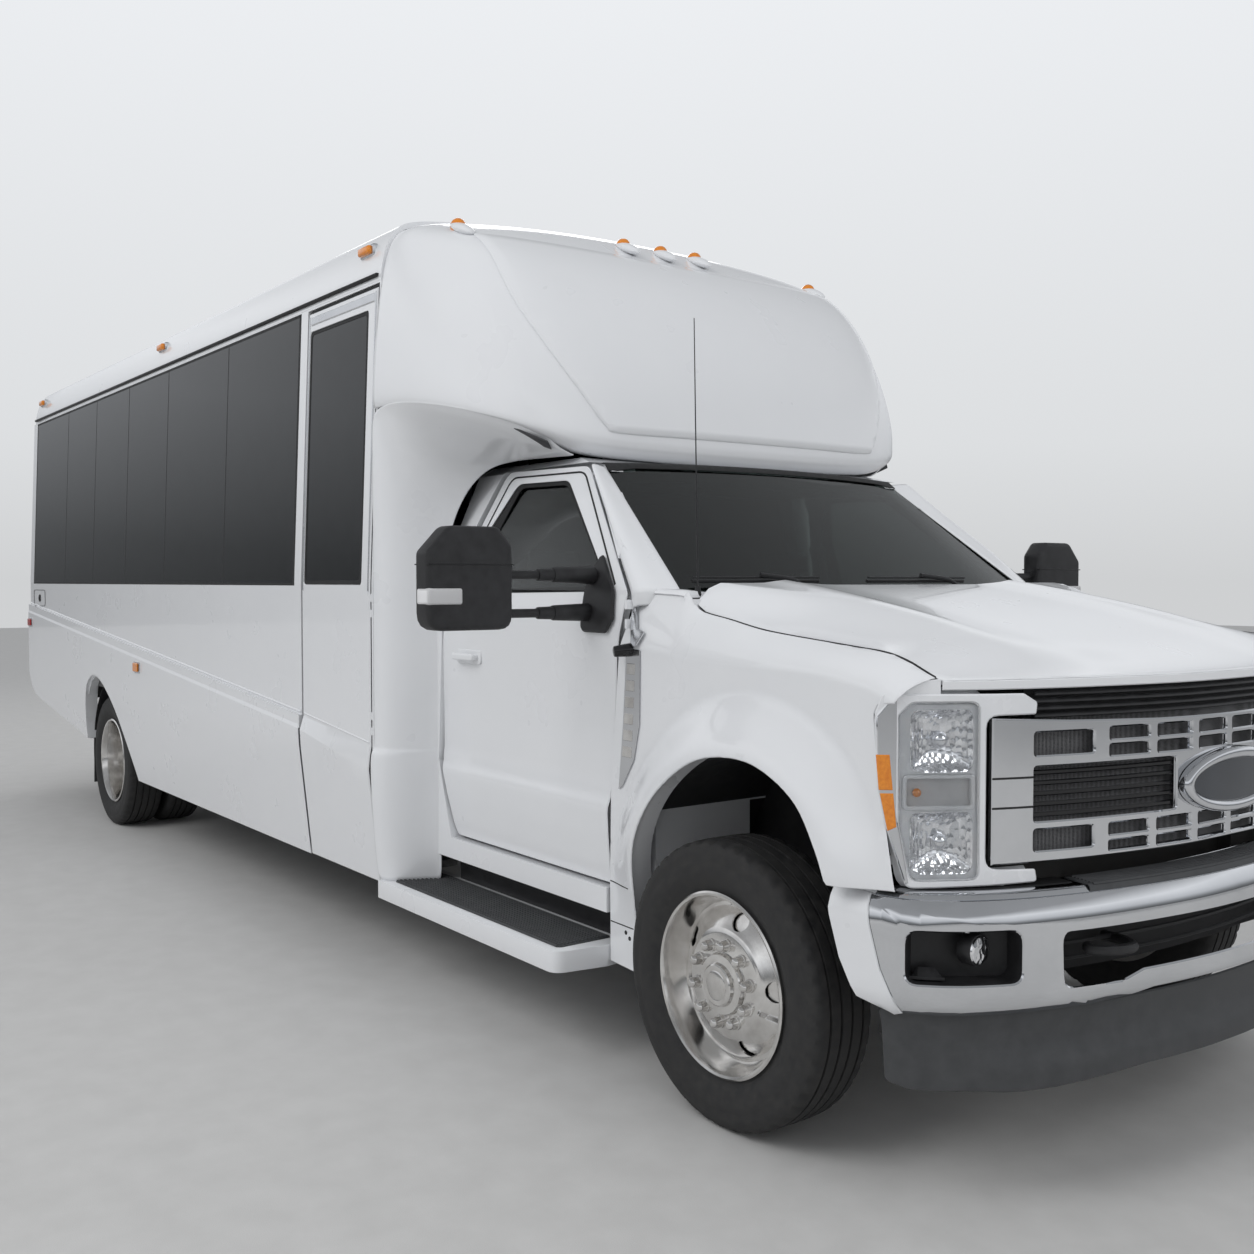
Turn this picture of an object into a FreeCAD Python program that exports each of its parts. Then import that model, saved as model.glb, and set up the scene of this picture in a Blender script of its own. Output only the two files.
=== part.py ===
import FreeCAD
import Part
import math
import os

import Sketcher

# Shuttle minibus: a truck cab and ladder frame that carry a coach body.
# X points ahead, Y to the vehicle's left and Z up; the ground is at Z 0 and the origin is
# midway between the two bumpers. Stations along X are given from the front axle.

SIZES = [
    # name, millimetres or degrees, what it is
    ("wheelbase", 5770, "front axle to rear axle"),
    ("front_reach", 970, "front axle to the front bumper's face"),
    ("rear_reach", 2030, "rear axle to the rear bumper's face"),
    ("panel_gap", 8, "gap round doors and hood"),
    ("seat_gap", 0.3, "clearance between pieces that rest on each other"),
    ("bearing_play", 0.05, "radial clearance of a shaft in its bore"),
    # wheels and tyres
    ("tyre_radius", 406, "ground to wheel centre"),
    ("tyre_width", 226, "over the sidewalls"),
    ("tyre_shoulder", 30, "drop of the sidewall at the tread's edge"),
    ("bead_radius", 247, "rim where the tyre sits"),
    ("flange_radius", 262, "outside of the rim flange"),
    ("flange_wall", 8, "thickness of the rim flange"),
    ("rim_width", 190, "over both flanges"),
    ("rim_wall", 14, "thickness of the rim"),
    ("front_wheel_y", 950, "middle of a front wheel"),
    ("twin_y", 915, "middle of a rear pair"),
    ("twin_half", 127, "middle of the pair to the middle of one tyre"),
    ("spindle_radius", 40, "front stub axle"),
    ("spindle_depth", 110, "how far the stub goes into the hub"),
    ("hub_radius", 100, "front hub"),
    ("dish_radius", 150, "root of the front wheel's dome"),
    ("dome_rise", 62, "front dome outside the wheel's middle"),
    ("hub_rise", 108, "front hub cap outside the wheel's middle"),
    ("rear_hub_radius", 125, "hub of the rear pair"),
    ("rear_hub_rise", 150, "rear hub cap outside the middle of the pair"),
    ("web_wall", 14, "thickness of a wheel's disc"),
    # steering and axles
    ("kingpin_y", 800, "steering pivot"),
    ("kingpin_radius", 20, "steering pin"),
    ("kingpin_half", 105, "half the height of the steering pin"),
    ("beam_half", 45, "half the depth of the front axle beam"),
    ("ear_wall", 48, "thickness of a knuckle's ear"),
    ("spring_y", 470, "middle of a leaf spring"),
    ("spring_width", 76, "leaf spring"),
    ("spring_depth", 60, "leaf stack"),
    ("spring_half", 640, "half the length of a leaf spring"),
    ("hanger_length", 90, "spring hanger along the frame"),
    ("axle_tube_radius", 65, "rear axle tube"),
    ("differential_radius", 190, "rear axle housing"),
    ("differential_width", 260, "rear axle housing"),
    ("shaft_radius", 50, "propeller shaft"),
    # ladder frame
    ("frame_low", 600, "underside of the rails"),
    ("frame_high", 820, "top of the rails"),
    ("frame_half", 432, "middle to the outside of a rail"),
    ("rail_wall", 76, "width of a rail"),
    ("cross_width", 110, "width of a cross member"),
    ("frame_front", 640, "station of the frame's front end"),
    ("frame_rear", -7560, "station of the frame's rear end"),
    # engine and gearbox, one plain block
    ("engine_front", 520, "station"),
    ("engine_rear", -400, "station"),
    ("engine_low", 560, "height"),
    ("engine_high", 1230, "height"),
    ("gearbox_rear", -1450, "station"),
    ("gearbox_half", 190, "half width"),
    ("gearbox_low", 480, "height"),
    ("gearbox_high", 800, "height"),
    # fuel tank
    ("tank_front", -2750, "station"),
    ("tank_length", 1250, "along the frame"),
    ("tank_width", 520, "outside the left rail"),
    ("tank_low", 400, "height"),
    ("tank_high", 760, "height"),
    ("tank_round", 60, "edge radius"),
    # coach body
    ("coach_half", 1195, "half width of the side wall"),
    ("coach_front", -1880, "station where the nose cap meets the walls"),
    ("coach_rear", -7720, "station of the rear face"),
    ("wall", 45, "thickness of the side walls"),
    ("skirt_low", 350, "lower edge ahead of the rear wheels"),
    ("skirt_tuck", 55, "how far the skirt leans in at its lower edge"),
    ("waist_z", 860, "where the skirt starts to lean in"),
    ("sill_z", 1530, "lower edge of the side windows"),
    ("header_z", 2690, "upper edge of the side windows"),
    ("window_lean", 45, "how far the windows lean in"),
    ("eave_z", 2870, "widest point of the roof's edge"),
    ("eave_inset", 80, "inside the side wall"),
    ("brow_z", 2940, "upper end of the roof's edge"),
    ("brow_inset", 150, "inside the side wall"),
    ("roof_z", 3020, "middle of the roof"),
    ("skin", 9, "thickness of window glass"),
    ("window_front", -2670, "station of the first side window"),
    ("window_rear", -7600, "station of the last side window's rear edge"),
    ("pillar_half", 30, "half width of a pillar behind the glass"),
    ("divider_half", 3, "half the gap between two panes"),
    ("rail_depth", 15, "how proud the moulding stands"),
    ("moulding_front_low", 903, "height of the moulding behind the passenger door"),
    ("moulding_front_high", 962, "the same, upper edge"),
    ("moulding_rear_low", 1305, "height of the moulding at the rear"),
    ("moulding_rear_high", 1368, "the same, upper edge"),
    ("arch_rear", -6230, "station of the rear arch's rear foot"),
    ("arch_front", -5150, "station of the rear arch's front foot"),
    ("arch_high", 955, "top of the rear arch"),
    ("tail_low", 690, "skirt height at the rear corner"),
    ("tail_foot", 500, "skirt height behind the rear wheel"),
    ("deck_low", 860, "underside of the deck"),
    ("deck_wall", 50, "thickness of the deck"),
    ("sill_half", 45, "half width of a deck bearer"),
    ("drip_depth", 10, "how proud the drip rail stands"),
    # passenger door and its steps
    ("entry_front", -1900, "station of the door's front edge"),
    ("entry_rear", -2572, "station of the door's rear edge"),
    ("entry_swing_gap", 14, "gap behind the door's leaning rear edge"),
    ("entry_low", 345, "lower edge of the door"),
    ("entry_glass_front", -1985, "station"),
    ("entry_glass_rear", -2545, "station"),
    ("entry_glass_high", 2600, "height"),
    ("step_depth", 560, "how far the steps reach in"),
    ("step_wall", 30, "thickness of a tread"),
    # cab
    ("cab_half", 1000, "half width of the door skin"),
    ("cab_roof_half", 800, "half width at the top of the doors"),
    ("cab_rear", -1735, "station of the cab's rear edge"),
    ("cab_low", 480, "underside of the sills"),
    ("belt_z", 1510, "lower edge of the cab's windows"),
    ("cab_top_z", 1950, "top of the doors"),
    ("cab_roof_z", 1985, "cab roof"),
    ("cab_wall", 60, "thickness of the cab's sides and doors"),
    ("cab_floor_z", 640, "floor between sill and tunnel"),
    ("tunnel_z", 880, "top of the tunnel over the frame"),
    ("tunnel_half", 600, "half width of the tunnel"),
    ("firewall", -430, "station of the firewall"),
    ("cowl_front", -240, "station of the cowl's front edge"),
    ("cowl_drop", 24, "windows' lower edge down to the cowl's front edge"),
    ("screen_low", -400, "station of the windscreen's base"),
    ("screen_high", -985, "station of the windscreen's top"),
    ("screen_wall", 14, "thickness of the windscreen"),
    ("screen_base_inset", 100, "door skin to the windscreen's lower corner"),
    ("screen_top_inset", 75, "top of a door to the windscreen's upper corner"),
    ("cab_roof_round", 60, "top of a door in to the flat of the roof"),
    ("door_hinge", -500, "station of the cab doors' front edge"),
    ("door_low", 568, "lower edge of the cab doors"),
    ("door_rear", -1690, "station of the cab doors' rear edge"),
    ("door_swing_gap", 40, "gap behind the leaning window frame"),
    ("door_foot_set", 100, "foot of a door's front edge behind its hinge"),
    ("door_shin_set", 95, "door's front edge behind its hinge where it starts to lean"),
    ("door_shin", 180, "door's lower edge up to that point"),
    ("door_frame_front", 470, "hinge back to the front of the frame's top"),
    ("door_frame_rear", 175, "door's rear edge ahead to the rear of the frame's top"),
    ("door_belt_set", 20, "door's rear edge at the belt ahead of its rearmost place"),
    ("door_heel", 15, "door's rear edge behind that place lower down"),
    ("door_heel_high", 280, "door's lower edge up to its heel"),
    ("door_foot_rear", 80, "door's rear edge ahead to the rear of its foot"),
    ("pane_front", 100, "hinge back to the door window's front corner"),
    ("pane_top_front", 480, "hinge back to the front of the window's top"),
    ("pane_top_rear", 900, "hinge back to the rear of the window's top"),
    ("pane_shoulder", 1010, "hinge back to the corner behind that"),
    ("pane_rear", 1060, "hinge back to the window's rear edge"),
    ("pane_top", 55, "top of the door down to the window"),
    ("pane_shoulder_drop", 200, "top of the door down to the window's rear corner"),
    ("pane_drop", 15, "windows' lower edge down to the window's rear lower corner"),
    # hood, fenders and nose
    ("hood_rear", -225, "station of the hood's rear edge"),
    ("hood_front", 895, "station of the hood's lip"),
    ("hood_inset", 75, "door skin to the hood's side edge"),
    ("hood_drop", 28, "windows' lower edge down to the hood's rear corner"),
    ("hood_front_half", 200, "half width at the lip's foremost point"),
    ("hood_wall", 26, "thickness of the hood"),
    ("arch_flare", 85, "how far the front arches stand outside the doors"),
    ("fender_wall", 28, "thickness of a fender"),
    ("fender_low", 320, "lower end behind the wheel"),
    ("fender_tuck", 16, "how far its lower end leans in"),
    ("flare_high", 280, "shoulder down to the widest part of the flare"),
    ("flare_end", 110, "shoulder down to where the flare ends"),
    ("arch_radius", 510, "front arch opening"),
    ("arch_ahead", 40, "middle of the arch ahead of the axle"),
    ("arch_lift", 144, "middle of the arch above the axle"),
    ("grille_front", 905, "station of the grille's foremost point"),
    ("grille_depth", 60, "thickness of the grille"),
    ("grille_low", 840, "height"),
    ("grille_high", 1206, "height"),
    ("grille_half", 800, "half width"),
    ("louvre_set", 20, "louvres behind the grille's face"),
    ("slot_margin", 60, "end of a slot inside the grille's edge"),
    ("slot_round", 15, "corner of a slot"),
    ("lamp_low", 795, "lower edge of a headlamp"),
    ("lamp_high", 1262, "upper edge of a headlamp"),
    ("lamp_edge_high", 557, "station of a headlamp's outer edge at its top"),
    ("lamp_edge_low", 641, "the same at its foot"),
    ("lamp_depth_side", 95, "how far a headlamp reaches in from its outer edge"),
    ("lamp_arm", 108, "how far its upper and lower arms reach over the grille"),
    ("support_front", 680, "station of the radiator support's face"),
    ("support_wall", 60, "thickness of the radiator support"),
    ("support_rim", 160, "grille's edge in to the support's opening"),
    ("support_top", 20, "grille's top down to the support's top"),
    ("support_header", 90, "grille's top down to the support's opening"),
    ("support_leg", 200, "how far the support reaches back beside the rails"),
    ("standoff_inset", 20, "grille's edge in to a stand-off"),
    ("standoff", 40, "stand-off across and upright"),
    ("standoff_low", 80, "grille's lower edge up to the lower stand-off"),
    ("standoff_high", 125, "grille's top down to the upper stand-off"),
    ("bumper_low", 485, "height"),
    ("bumper_high", 790, "height"),
    ("bumper_half", 1060, "half width"),
    ("bumper_wall", 70, "thickness"),
    ("bumper_rear", 440, "station where the bumper's wrap ends"),
    ("fog_inner", 790, "fog lamp opening, inner edge"),
    ("fog_length", 210, "fog lamp opening across"),
    ("fog_low", 578, "fog lamp opening, lower edge"),
    ("fog_height", 125, "fog lamp opening"),
    ("fog_round", 30, "corner of the opening"),
    ("fog_reach", 370, "how far the fog lamp opening goes back"),
    ("intake_half", 680, "half width of the bumper's middle opening"),
    ("intake_low", 562, "middle opening, lower edge"),
    ("intake_high", 692, "middle opening, upper edge"),
    ("intake_reach", 220, "how far the middle opening goes back"),
    ("valance_low", 300, "height"),
    ("valance_set", 30, "valance behind the bumper's face"),
    ("valance_inset", 60, "valance inside the bumper's ends"),
    # running boards
    ("board_front", -590, "station"),
    ("board_low", 305, "height"),
    ("board_wall", 75, "thickness"),
    ("board_lap", 15, "how far a board tucks in under the doors"),
    ("board_arm", 90, "how far its bracket reaches in"),
    # hinges
    ("barrel_length", 30, "one of a hinge's three barrels"),
    ("leaf_reach", 10, "how far a hinge leaf laps its panel"),
    ("cab_hinge_set", 6, "cab door hinge ahead of the door's front edge"),
    ("cab_hinge_radius", 5, "cab door hinge barrel"),
    ("cab_hinge_drop", 117, "windows' lower edge down to the cab door hinge"),
    ("entry_hinge_low", 940, "lower passenger door hinge"),
    ("entry_hinge_high", 1400, "upper passenger door hinge"),
    ("rear_hinge_low", 1080, "lower rear door hinge"),
    ("rear_hinge_high", 2260, "upper rear door hinge"),
    ("hood_hinge_inset", 210, "hood's side edge in to the hood hinge"),
    ("hood_hinge_drop", 22, "windows' lower edge down to the hood hinge"),
    ("hood_hinge_radius", 6, "hood hinge barrel"),
    # nose cap over the cab
    ("cap_wall", 45, "thickness of the cap"),
    ("cap_low", 1990, "height of the lower lip"),
    ("cap_front", -985, "station of the cap's foremost edge"),
    # mirrors
    ("mirror_out", 310, "door skin to the inner edge of a mirror head"),
    ("mirror_width", 300, "mirror head across"),
    ("mirror_low", 1390, "height"),
    ("mirror_height", 320, "mirror head"),
    ("mirror_depth", 90, "mirror head along the vehicle"),
    ("mirror_front", -650, "station"),
    ("mirror_arm_low", 45, "mirror head's lower edge up to the lower arm"),
    ("mirror_arm_high", 25, "windows' lower edge down to the upper arm"),
    ("arm_radius", 14, "mirror arm"),
    # rear door, lamps and bumper
    ("rear_door_half", 480, "half width of the rear door"),
    ("rear_door_low", 930, "lower edge"),
    ("rear_door_high", 2500, "upper edge"),
    ("rear_wall", 50, "thickness of the rear wall"),
    ("rear_glass_low", 1560, "height"),
    ("rear_glass_half", 360, "half width"),
    ("rear_bumper_low", 640, "height"),
    ("rear_bumper_high", 850, "height"),
    ("rear_bumper_half", 1000, "half width"),
    ("receiver_half", 32, "half the outside of the hitch receiver"),
    ("receiver_bore_half", 25.6, "half the socket of the hitch receiver"),
    ("receiver_length", 300, "hitch receiver"),
    ("hitch_pin_radius", 8.2, "cross hole of the hitch receiver"),
    ("hitch_pin_set", 66, "mouth of the receiver to the cross hole"),
    ("lamp_radius", 55, "round tail lamp"),
    ("lamp_inset", 230, "side wall to the middle of a tail lamp"),
    ("lamp_depth", 20, "how proud a lamp stands"),
    ("marker_length", 90, "roof marker"),
    ("marker_half", 22, "half width of a roof marker"),
    ("marker_rise", 24, "height of a roof marker"),
    # seats and dashboard
    ("seat_width", 440, "one seat"),
    ("seat_depth", 430, "cushion"),
    ("seat_pitch", 760, "row to row"),
    ("seat_height", 430, "cushion top above the floor"),
    ("seat_back", 690, "backrest above the cushion"),
    ("cab_seat_back", 480, "the same in the cab"),
    ("cab_seat_rear", -1500, "station of a front seat's backrest"),
    ("cab_seat_y", 620, "middle of a front seat"),
    ("cab_seat_height", 290, "front cushion above the tunnel"),
    ("cushion_wall", 110, "thickness of cushions"),
    ("seat_tip", 15, "cushion's front edge above its rear"),
    ("seat_lean", 60, "how far a backrest's top leans back"),
    ("dash_depth", 330, "dashboard's top along the vehicle"),
    ("dash_low", 60, "tunnel up to the dashboard's foot"),
    ("dash_high", 60, "windows' lower edge down to the dashboard's top"),
    ("dash_face", 250, "windows' lower edge down to the dashboard's rearmost edge"),
    ("seat_rows", 5, "rows behind the door"),
]

# Stations of the joints between side panes, of the deck's bearers and of the roof markers
PANE_JOINTS = (-3560, -4500, -5250, -5970, -6690)
BEARERS = (-2900, -3900, -4800, -6600, -7400)
MARKERS = (-2040, -4670, -7510)
TAIL_LAMPS = (1050, 1190, 1330)

# Rear wheel arch: ahead of its middle, below its top
REAR_ARCH = ((-220, 60), (-60, 0), (80, 20), (260, 150))

# Hood: share of its length from the rear, inset of the edge as a share of how much the hood
# narrows, edge below the rear corner, middle above the edge
HOOD = (
    (0.0, 0.0, 0, 46),
    (0.124, 0.0, 46, 76),
    (0.275, 0.0, 83, 81),
    (0.546, 0.004, 108, 48),
    (0.70, 0.009, 130, 36),
    (0.772, 0.014, 178, 62),
    (0.826, 0.055, 178, 50),
    (0.869, 0.172, 178, 40),
    (0.906, 0.324, 178, 30),
    (0.9455, 0.524, 178, 20),
    (0.979, 0.779, 178, 10),
    (1.0, 1.0, 178, 4),
)

# Fender ahead of the cowl: share of the hood's length, share of the flare, shoulder below
# the windows' lower edge
FENDER = (
    (0.0, 0.6, 165),
    (0.124, 0.95, 167),
    (0.275, 1.0, 171),
    (0.546, 0.95, 180),
    (0.70, 0.6, 212),
    (0.79, 0.5, 246),
)

# Nose cap: share of its height, inset of its sides, side's front end ahead of the coach,
# front behind the foremost edge, inset of the front's corners
CAP = (
    (0.0, 20, 320, 25, 435),
    (0.136, 25, 320, 0, 420),
    (0.301, 33, 280, 95, 345),
    (0.592, 41, 220, 265, 235),
    (0.806, 70, 160, 425, 210),
    (0.913, 150, 120, 555, 255),
    (0.985, 350, 80, 675, 435),
)

# Plan of a cheek between coach and cab: ahead of the coach, inset from the side wall
CHEEK = ((0, 4), (40, 14), (80, 60), (115, 130))

# Plan of the nose that grille and headlamps follow: outside the middle, behind its face
NOSE = ((0, 0), (350, 29), (550, 71), (700, 115), (810, 157), (900, 205), (970, 250), (1034, 305))

# Grille slots: low and high above the grille's lower edge, inner end outside the middle
GRILLE_SLOTS = ((34, 88, 20), (116, 246, 230), (270, 332, 20))

# Plan of the front bumper: share of its half width, behind its face
BUMPER = (
    (0.33, 25),
    (0.519, 60),
    (0.66, 100),
    (0.764, 140),
    (0.849, 185),
    (0.915, 235),
    (0.972, 305),
    (0.995, 390),
)

document = FreeCAD.newDocument("minibus")
sheet = document.addObject("Spreadsheet::Sheet", "Sizes")
for row, (alias, value, meaning) in enumerate(SIZES, start=1):
    sheet.set("A%d" % row, alias)
    sheet.set("B%d" % row, str(value))
    sheet.set("C%d" % row, meaning)
    sheet.setAlias("B%d" % row, alias)
document.recompute()


class Size:
    """A size that keeps the sheet formula it comes from next to its value."""

    def __init__(self, value, formula):
        self.value = float(value)
        self.formula = formula

    def join(self, other, sign, value):
        return Size(value, "(%s %s %s)" % (self.formula, sign, size(other).formula))

    def __add__(self, other):
        return self.join(other, "+", self.value + float(other))

    def __sub__(self, other):
        return self.join(other, "-", self.value - float(other))

    def __mul__(self, other):
        return self.join(other, "*", self.value * float(other))

    def __truediv__(self, other):
        return self.join(other, "/", self.value / float(other))

    def __radd__(self, other):
        return size(other) + self

    def __rsub__(self, other):
        return size(other) - self

    def __rmul__(self, other):
        return size(other) * self

    def __neg__(self):
        return size(0) - self

    def __float__(self):
        return self.value


def size(number):
    """A plain number as a Size; a Size as it is."""
    if isinstance(number, Size):
        return number
    return Size(number, "(%r)" % float(number))


class Sheet:
    """The sheet's cells as attributes."""


S = Sheet()
for alias, value, meaning in SIZES:
    setattr(S, alias, Size(sheet.get(alias), "Sizes." + alias))

FRONT_AXLE = (S.wheelbase + S.rear_reach - S.front_reach) / 2
REAR_AXLE = FRONT_AXLE - S.wheelbase
SIDES = (("right", -1), ("left", 1))
REACH = S.wheelbase * 2
SCREEN_TOP_HALF = S.cab_roof_half - S.screen_top_inset
SCREEN_BASE_HALF = S.cab_half - S.screen_base_inset
HOOD_HALF = S.cab_half - S.hood_inset
COWL_HALF = HOOD_HALF + S.panel_gap - S.seat_gap
parts = []


def ahead(station):
    """X of a station given from the front axle."""
    return FRONT_AXLE + station


def keep(item, label):
    """Name a finished sub-part."""
    item.Label = label
    parts.append(item)
    return item


def new_body(name):
    return document.addObject("PartDesign::Body", name)


class Rules:
    """Constraints of one sketch, each with the formula it is bound to, if any."""

    def __init__(self):
        self.items = []

    def tie(self, kind, *ends):
        self.items.append((Sketcher.Constraint(kind, *ends), None))

    def radius(self, edge, target):
        self.items.append((Sketcher.Constraint("Radius", edge, target.value), target))

    def hold(self, edge, place, across, up):
        """Hold a point by its distances from the sketch's origin."""
        for kind, target in (("DistanceX", across), ("DistanceY", up)):
            if target.value >= 0:
                ends, reading = (-1, 1, edge, place), target
            else:
                ends, reading = (edge, place, -1, 1), -target
            self.items.append((Sketcher.Constraint(kind, *ends, reading.value), reading))

    def apply(self, sketch):
        first = sketch.ConstraintCount
        sketch.addConstraint([rule for rule, reading in self.items])
        for number, (rule, reading) in enumerate(self.items, start=first):
            if reading is not None:
                sketch.setExpression("Constraints[%d]" % number, reading.formula)


def corner_arc(before, corner, after, radius):
    """The arc that rounds a corner, and whether it runs the same way as the outline."""
    back = (before - corner).normalize()
    on = (after - corner).normalize()
    half = back.getAngle(on) / 2
    reach = radius / math.tan(half)
    middle = corner + (back + on).normalize() * (radius / math.sin(half))
    start, end = corner + back * reach, corner + on * reach
    turn = (corner - before).cross(after - corner).z
    first, last = (start, end) if turn > 0 else (end, start)
    circle = Part.Circle(middle, FreeCAD.Vector(0, 0, 1), radius)
    arc = Part.ArcOfCircle(circle, circle.parameter(first), circle.parameter(last))
    return arc, start, end, turn > 0


def draw_loop(sketch, outline):
    """A closed outline of points (across, up) or (across, up, corner radius)."""
    corners = [tuple(size(number) for number in point) for point in outline]
    spots = [FreeCAD.Vector(point[0].value, point[1].value, 0) for point in corners]
    count = len(corners)
    starts, ends, arcs = list(spots), list(spots), [None] * count
    for i, point in enumerate(corners):
        if len(point) == 3:
            arc, end, start, same = corner_arc(spots[i - 1], spots[i], spots[(i + 1) % count],
                                               point[2].value)
            starts[i], ends[i] = start, end
            arcs[i] = (sketch.addGeometry(arc, False), same)
    lines = [
        sketch.addGeometry(Part.LineSegment(starts[i], ends[(i + 1) % count]), False)
        for i in range(count)
    ]
    rules = Rules()
    for i, point in enumerate(corners):
        line, before = lines[i], lines[i - 1]
        if arcs[i] is None:
            rules.tie("Coincident", before, 2, line, 1)
            rules.hold(line, 1, point[0], point[1])
            continue
        arc, same = arcs[i]
        near, far = (1, 2) if same else (2, 1)
        rules.tie("Tangent", before, 2, arc, near)
        rules.tie("Tangent", line, 1, arc, far)
        rules.radius(arc, point[2])
        mark = sketch.addGeometry(Part.Point(spots[i]), True)
        rules.tie("PointOnObject", mark, 1, before)
        rules.tie("PointOnObject", mark, 1, line)
        rules.hold(mark, 1, point[0], point[1])
    rules.apply(sketch)


def draw(body, plane, at, loops):
    """A sketch on one of the body's own planes, moved along that plane's axis to `at`."""
    sketch = body.newObject("Sketcher::SketchObject", body.Name + "_sketch")
    own = [item for item in body.Origin.OriginFeatures if item.Role == plane + "_Plane"]
    sketch.AttachmentSupport = [(own[0], "")]
    sketch.MapMode = "FlatFace"
    offset = -size(at) if plane == "XZ" else size(at)
    sketch.setExpression("AttachmentOffset.Base.z", offset.formula)
    for outline in loops:
        draw_loop(sketch, outline)
    return sketch


def pad(body, plane, low, high, *loops):
    """Fill the outlines between two places along the plane's axis."""
    start = high if plane == "XZ" else low
    feature = body.newObject("PartDesign::Pad", body.Name + "_pad")
    feature.Profile = draw(body, plane, start, loops)
    feature.setExpression("Length", (size(high) - low).formula)
    return feature


def pocket(body, plane, *loops, low=None, high=None):
    """Cut the outlines out, right through or between two places."""
    feature = body.newObject("PartDesign::Pocket", body.Name + "_pocket")
    if low is None:
        feature.Profile = draw(body, plane, 0, loops)
        feature.Type = "ThroughAll"
        feature.SideType = "Symmetric"
    else:
        start = low if plane == "XZ" else high
        feature.Profile = draw(body, plane, start, loops)
        feature.setExpression("Length", (size(high) - low).formula)
    return feature


def trim(body, plane, outline):
    """Cut away all that lies outside an outline."""
    frame = [(-REACH, -REACH), (REACH, -REACH), (REACH, REACH), (-REACH, REACH)]
    return pocket(body, plane, frame, outline)


def rectangle(across_low, across_high, up_low, up_high, *radius):
    return [
        (across_low, up_low, *radius),
        (across_high, up_low, *radius),
        (across_high, up_high, *radius),
        (across_low, up_high, *radius),
    ]


def block(body, x, y, z):
    """A rectangular block from low and high ends along each axis."""
    return pad(body, "XY", z[0], z[1], rectangle(x[0], x[1], y[0], y[1]))


def mirrored(outline, side):
    """An outline across the vehicle, on one side of it."""
    return [(side * size(point[0]), *point[1:]) for point in outline]


def outward(side, inner, outer):
    """Low and high Y of a stretch given from the middle outwards."""
    return (side * size(inner), side * size(outer)) if side > 0 else (
        side * size(outer), side * size(inner))


def spin(body, outline):
    """Turn an outline of (along Y, radius) round the body's Y axis."""
    sketch = draw(body, "YZ", 0, [outline])
    feature = body.newObject("PartDesign::Revolution", body.Name + "_turn")
    feature.Profile = sketch
    feature.ReferenceAxis = (sketch, ["H_Axis"])
    feature.Angle = 360
    return feature


def seat_on(body, x, y, z):
    """Place a body's own origin."""
    body.setExpression("Placement.Base.x", size(x).formula)
    body.setExpression("Placement.Base.y", size(y).formula)
    body.setExpression("Placement.Base.z", size(z).formula)


def loft(body, plane, sections, cut=False):
    """Straight-sided skin through sections, each (place, outline)."""
    kind = "PartDesign::SubtractiveLoft" if cut else "PartDesign::AdditiveLoft"
    sketches = [draw(body, plane, at, [outline]) for at, outline in sections]
    feature = body.newObject(kind, body.Name + "_loft")
    feature.Profile = sketches[0]
    feature.Sections = sketches[1:]
    feature.Ruled = True
    return feature


def make_frame():
    """Ladder frame: two rails and its cross members."""
    body = new_body("frame_rails")
    inner = S.frame_half - S.rail_wall
    front, rear = ahead(S.frame_front), ahead(S.frame_rear)
    bays = (
        # front and rear station of each opening
        (S.frame_front - S.cross_width, S.gearbox_rear),
        (S.gearbox_rear - S.cross_width, S.gearbox_rear * 2),
        (S.gearbox_rear * 2 - S.cross_width, S.arch_front + S.spring_half),
        (S.arch_front + S.spring_half - S.cross_width, S.arch_front),
        (S.arch_front - S.cross_width, S.arch_rear - S.cross_width),
        (S.arch_rear - S.cross_width * 2, S.frame_rear + S.cross_width),
    )
    openings = [rectangle(ahead(back), ahead(fore), -inner, inner) for fore, back in bays]
    outside = rectangle(rear, front, -S.frame_half, S.frame_half)
    pad(body, "XY", S.frame_low, S.frame_high, outside, *openings)
    keep(body, "frame_rails")


def make_engine():
    """Engine and gearbox as one plain block between the rails."""
    body = new_body("engine_block")
    half = S.frame_half - S.rail_wall - S.seat_gap
    block(body, (ahead(S.engine_rear), ahead(S.engine_front)), (-half, half),
          (S.engine_low, S.engine_high))
    block(body, (ahead(S.gearbox_rear + S.seat_gap), ahead(S.engine_rear)),
          (-S.gearbox_half, S.gearbox_half), (S.gearbox_low, S.gearbox_high))
    keep(body, "engine_block")


def make_springs(body, axle_x, seat_z):
    """Leaf springs and hangers that reach the frame's underside."""
    for side in (-1, 1):
        y = outward(side, S.spring_y - S.spring_width / 2, S.spring_y + S.spring_width / 2)
        y_hanger = outward(side, S.frame_half - S.rail_wall, S.spring_y + S.spring_width / 2)
        block(body, (axle_x - S.spring_half, axle_x + S.spring_half), y,
              (seat_z, seat_z + S.spring_depth))
        for end in (axle_x - S.spring_half, axle_x + S.spring_half - S.hanger_length):
            block(body, (end, end + S.hanger_length), y_hanger,
                  (seat_z, S.frame_low - S.seat_gap))


def make_front_axle():
    """Beam axle with its steering pins and leaf springs."""
    body = new_body("front_axle")
    low, high = S.tyre_radius - S.beam_half, S.tyre_radius + S.beam_half
    block(body, (FRONT_AXLE - S.beam_half, FRONT_AXLE + S.beam_half),
          (-S.kingpin_y, S.kingpin_y), (low, high))
    for name, side in SIDES:
        for radius, bottom, top in (
            (S.beam_half, low, high),
            (S.kingpin_radius, S.tyre_radius - S.kingpin_half, S.tyre_radius + S.kingpin_half),
        ):
            disc(body, "XY", bottom, top, FRONT_AXLE, side * S.kingpin_y, radius)
    make_springs(body, FRONT_AXLE, high)
    keep(body, "front_axle")


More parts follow.
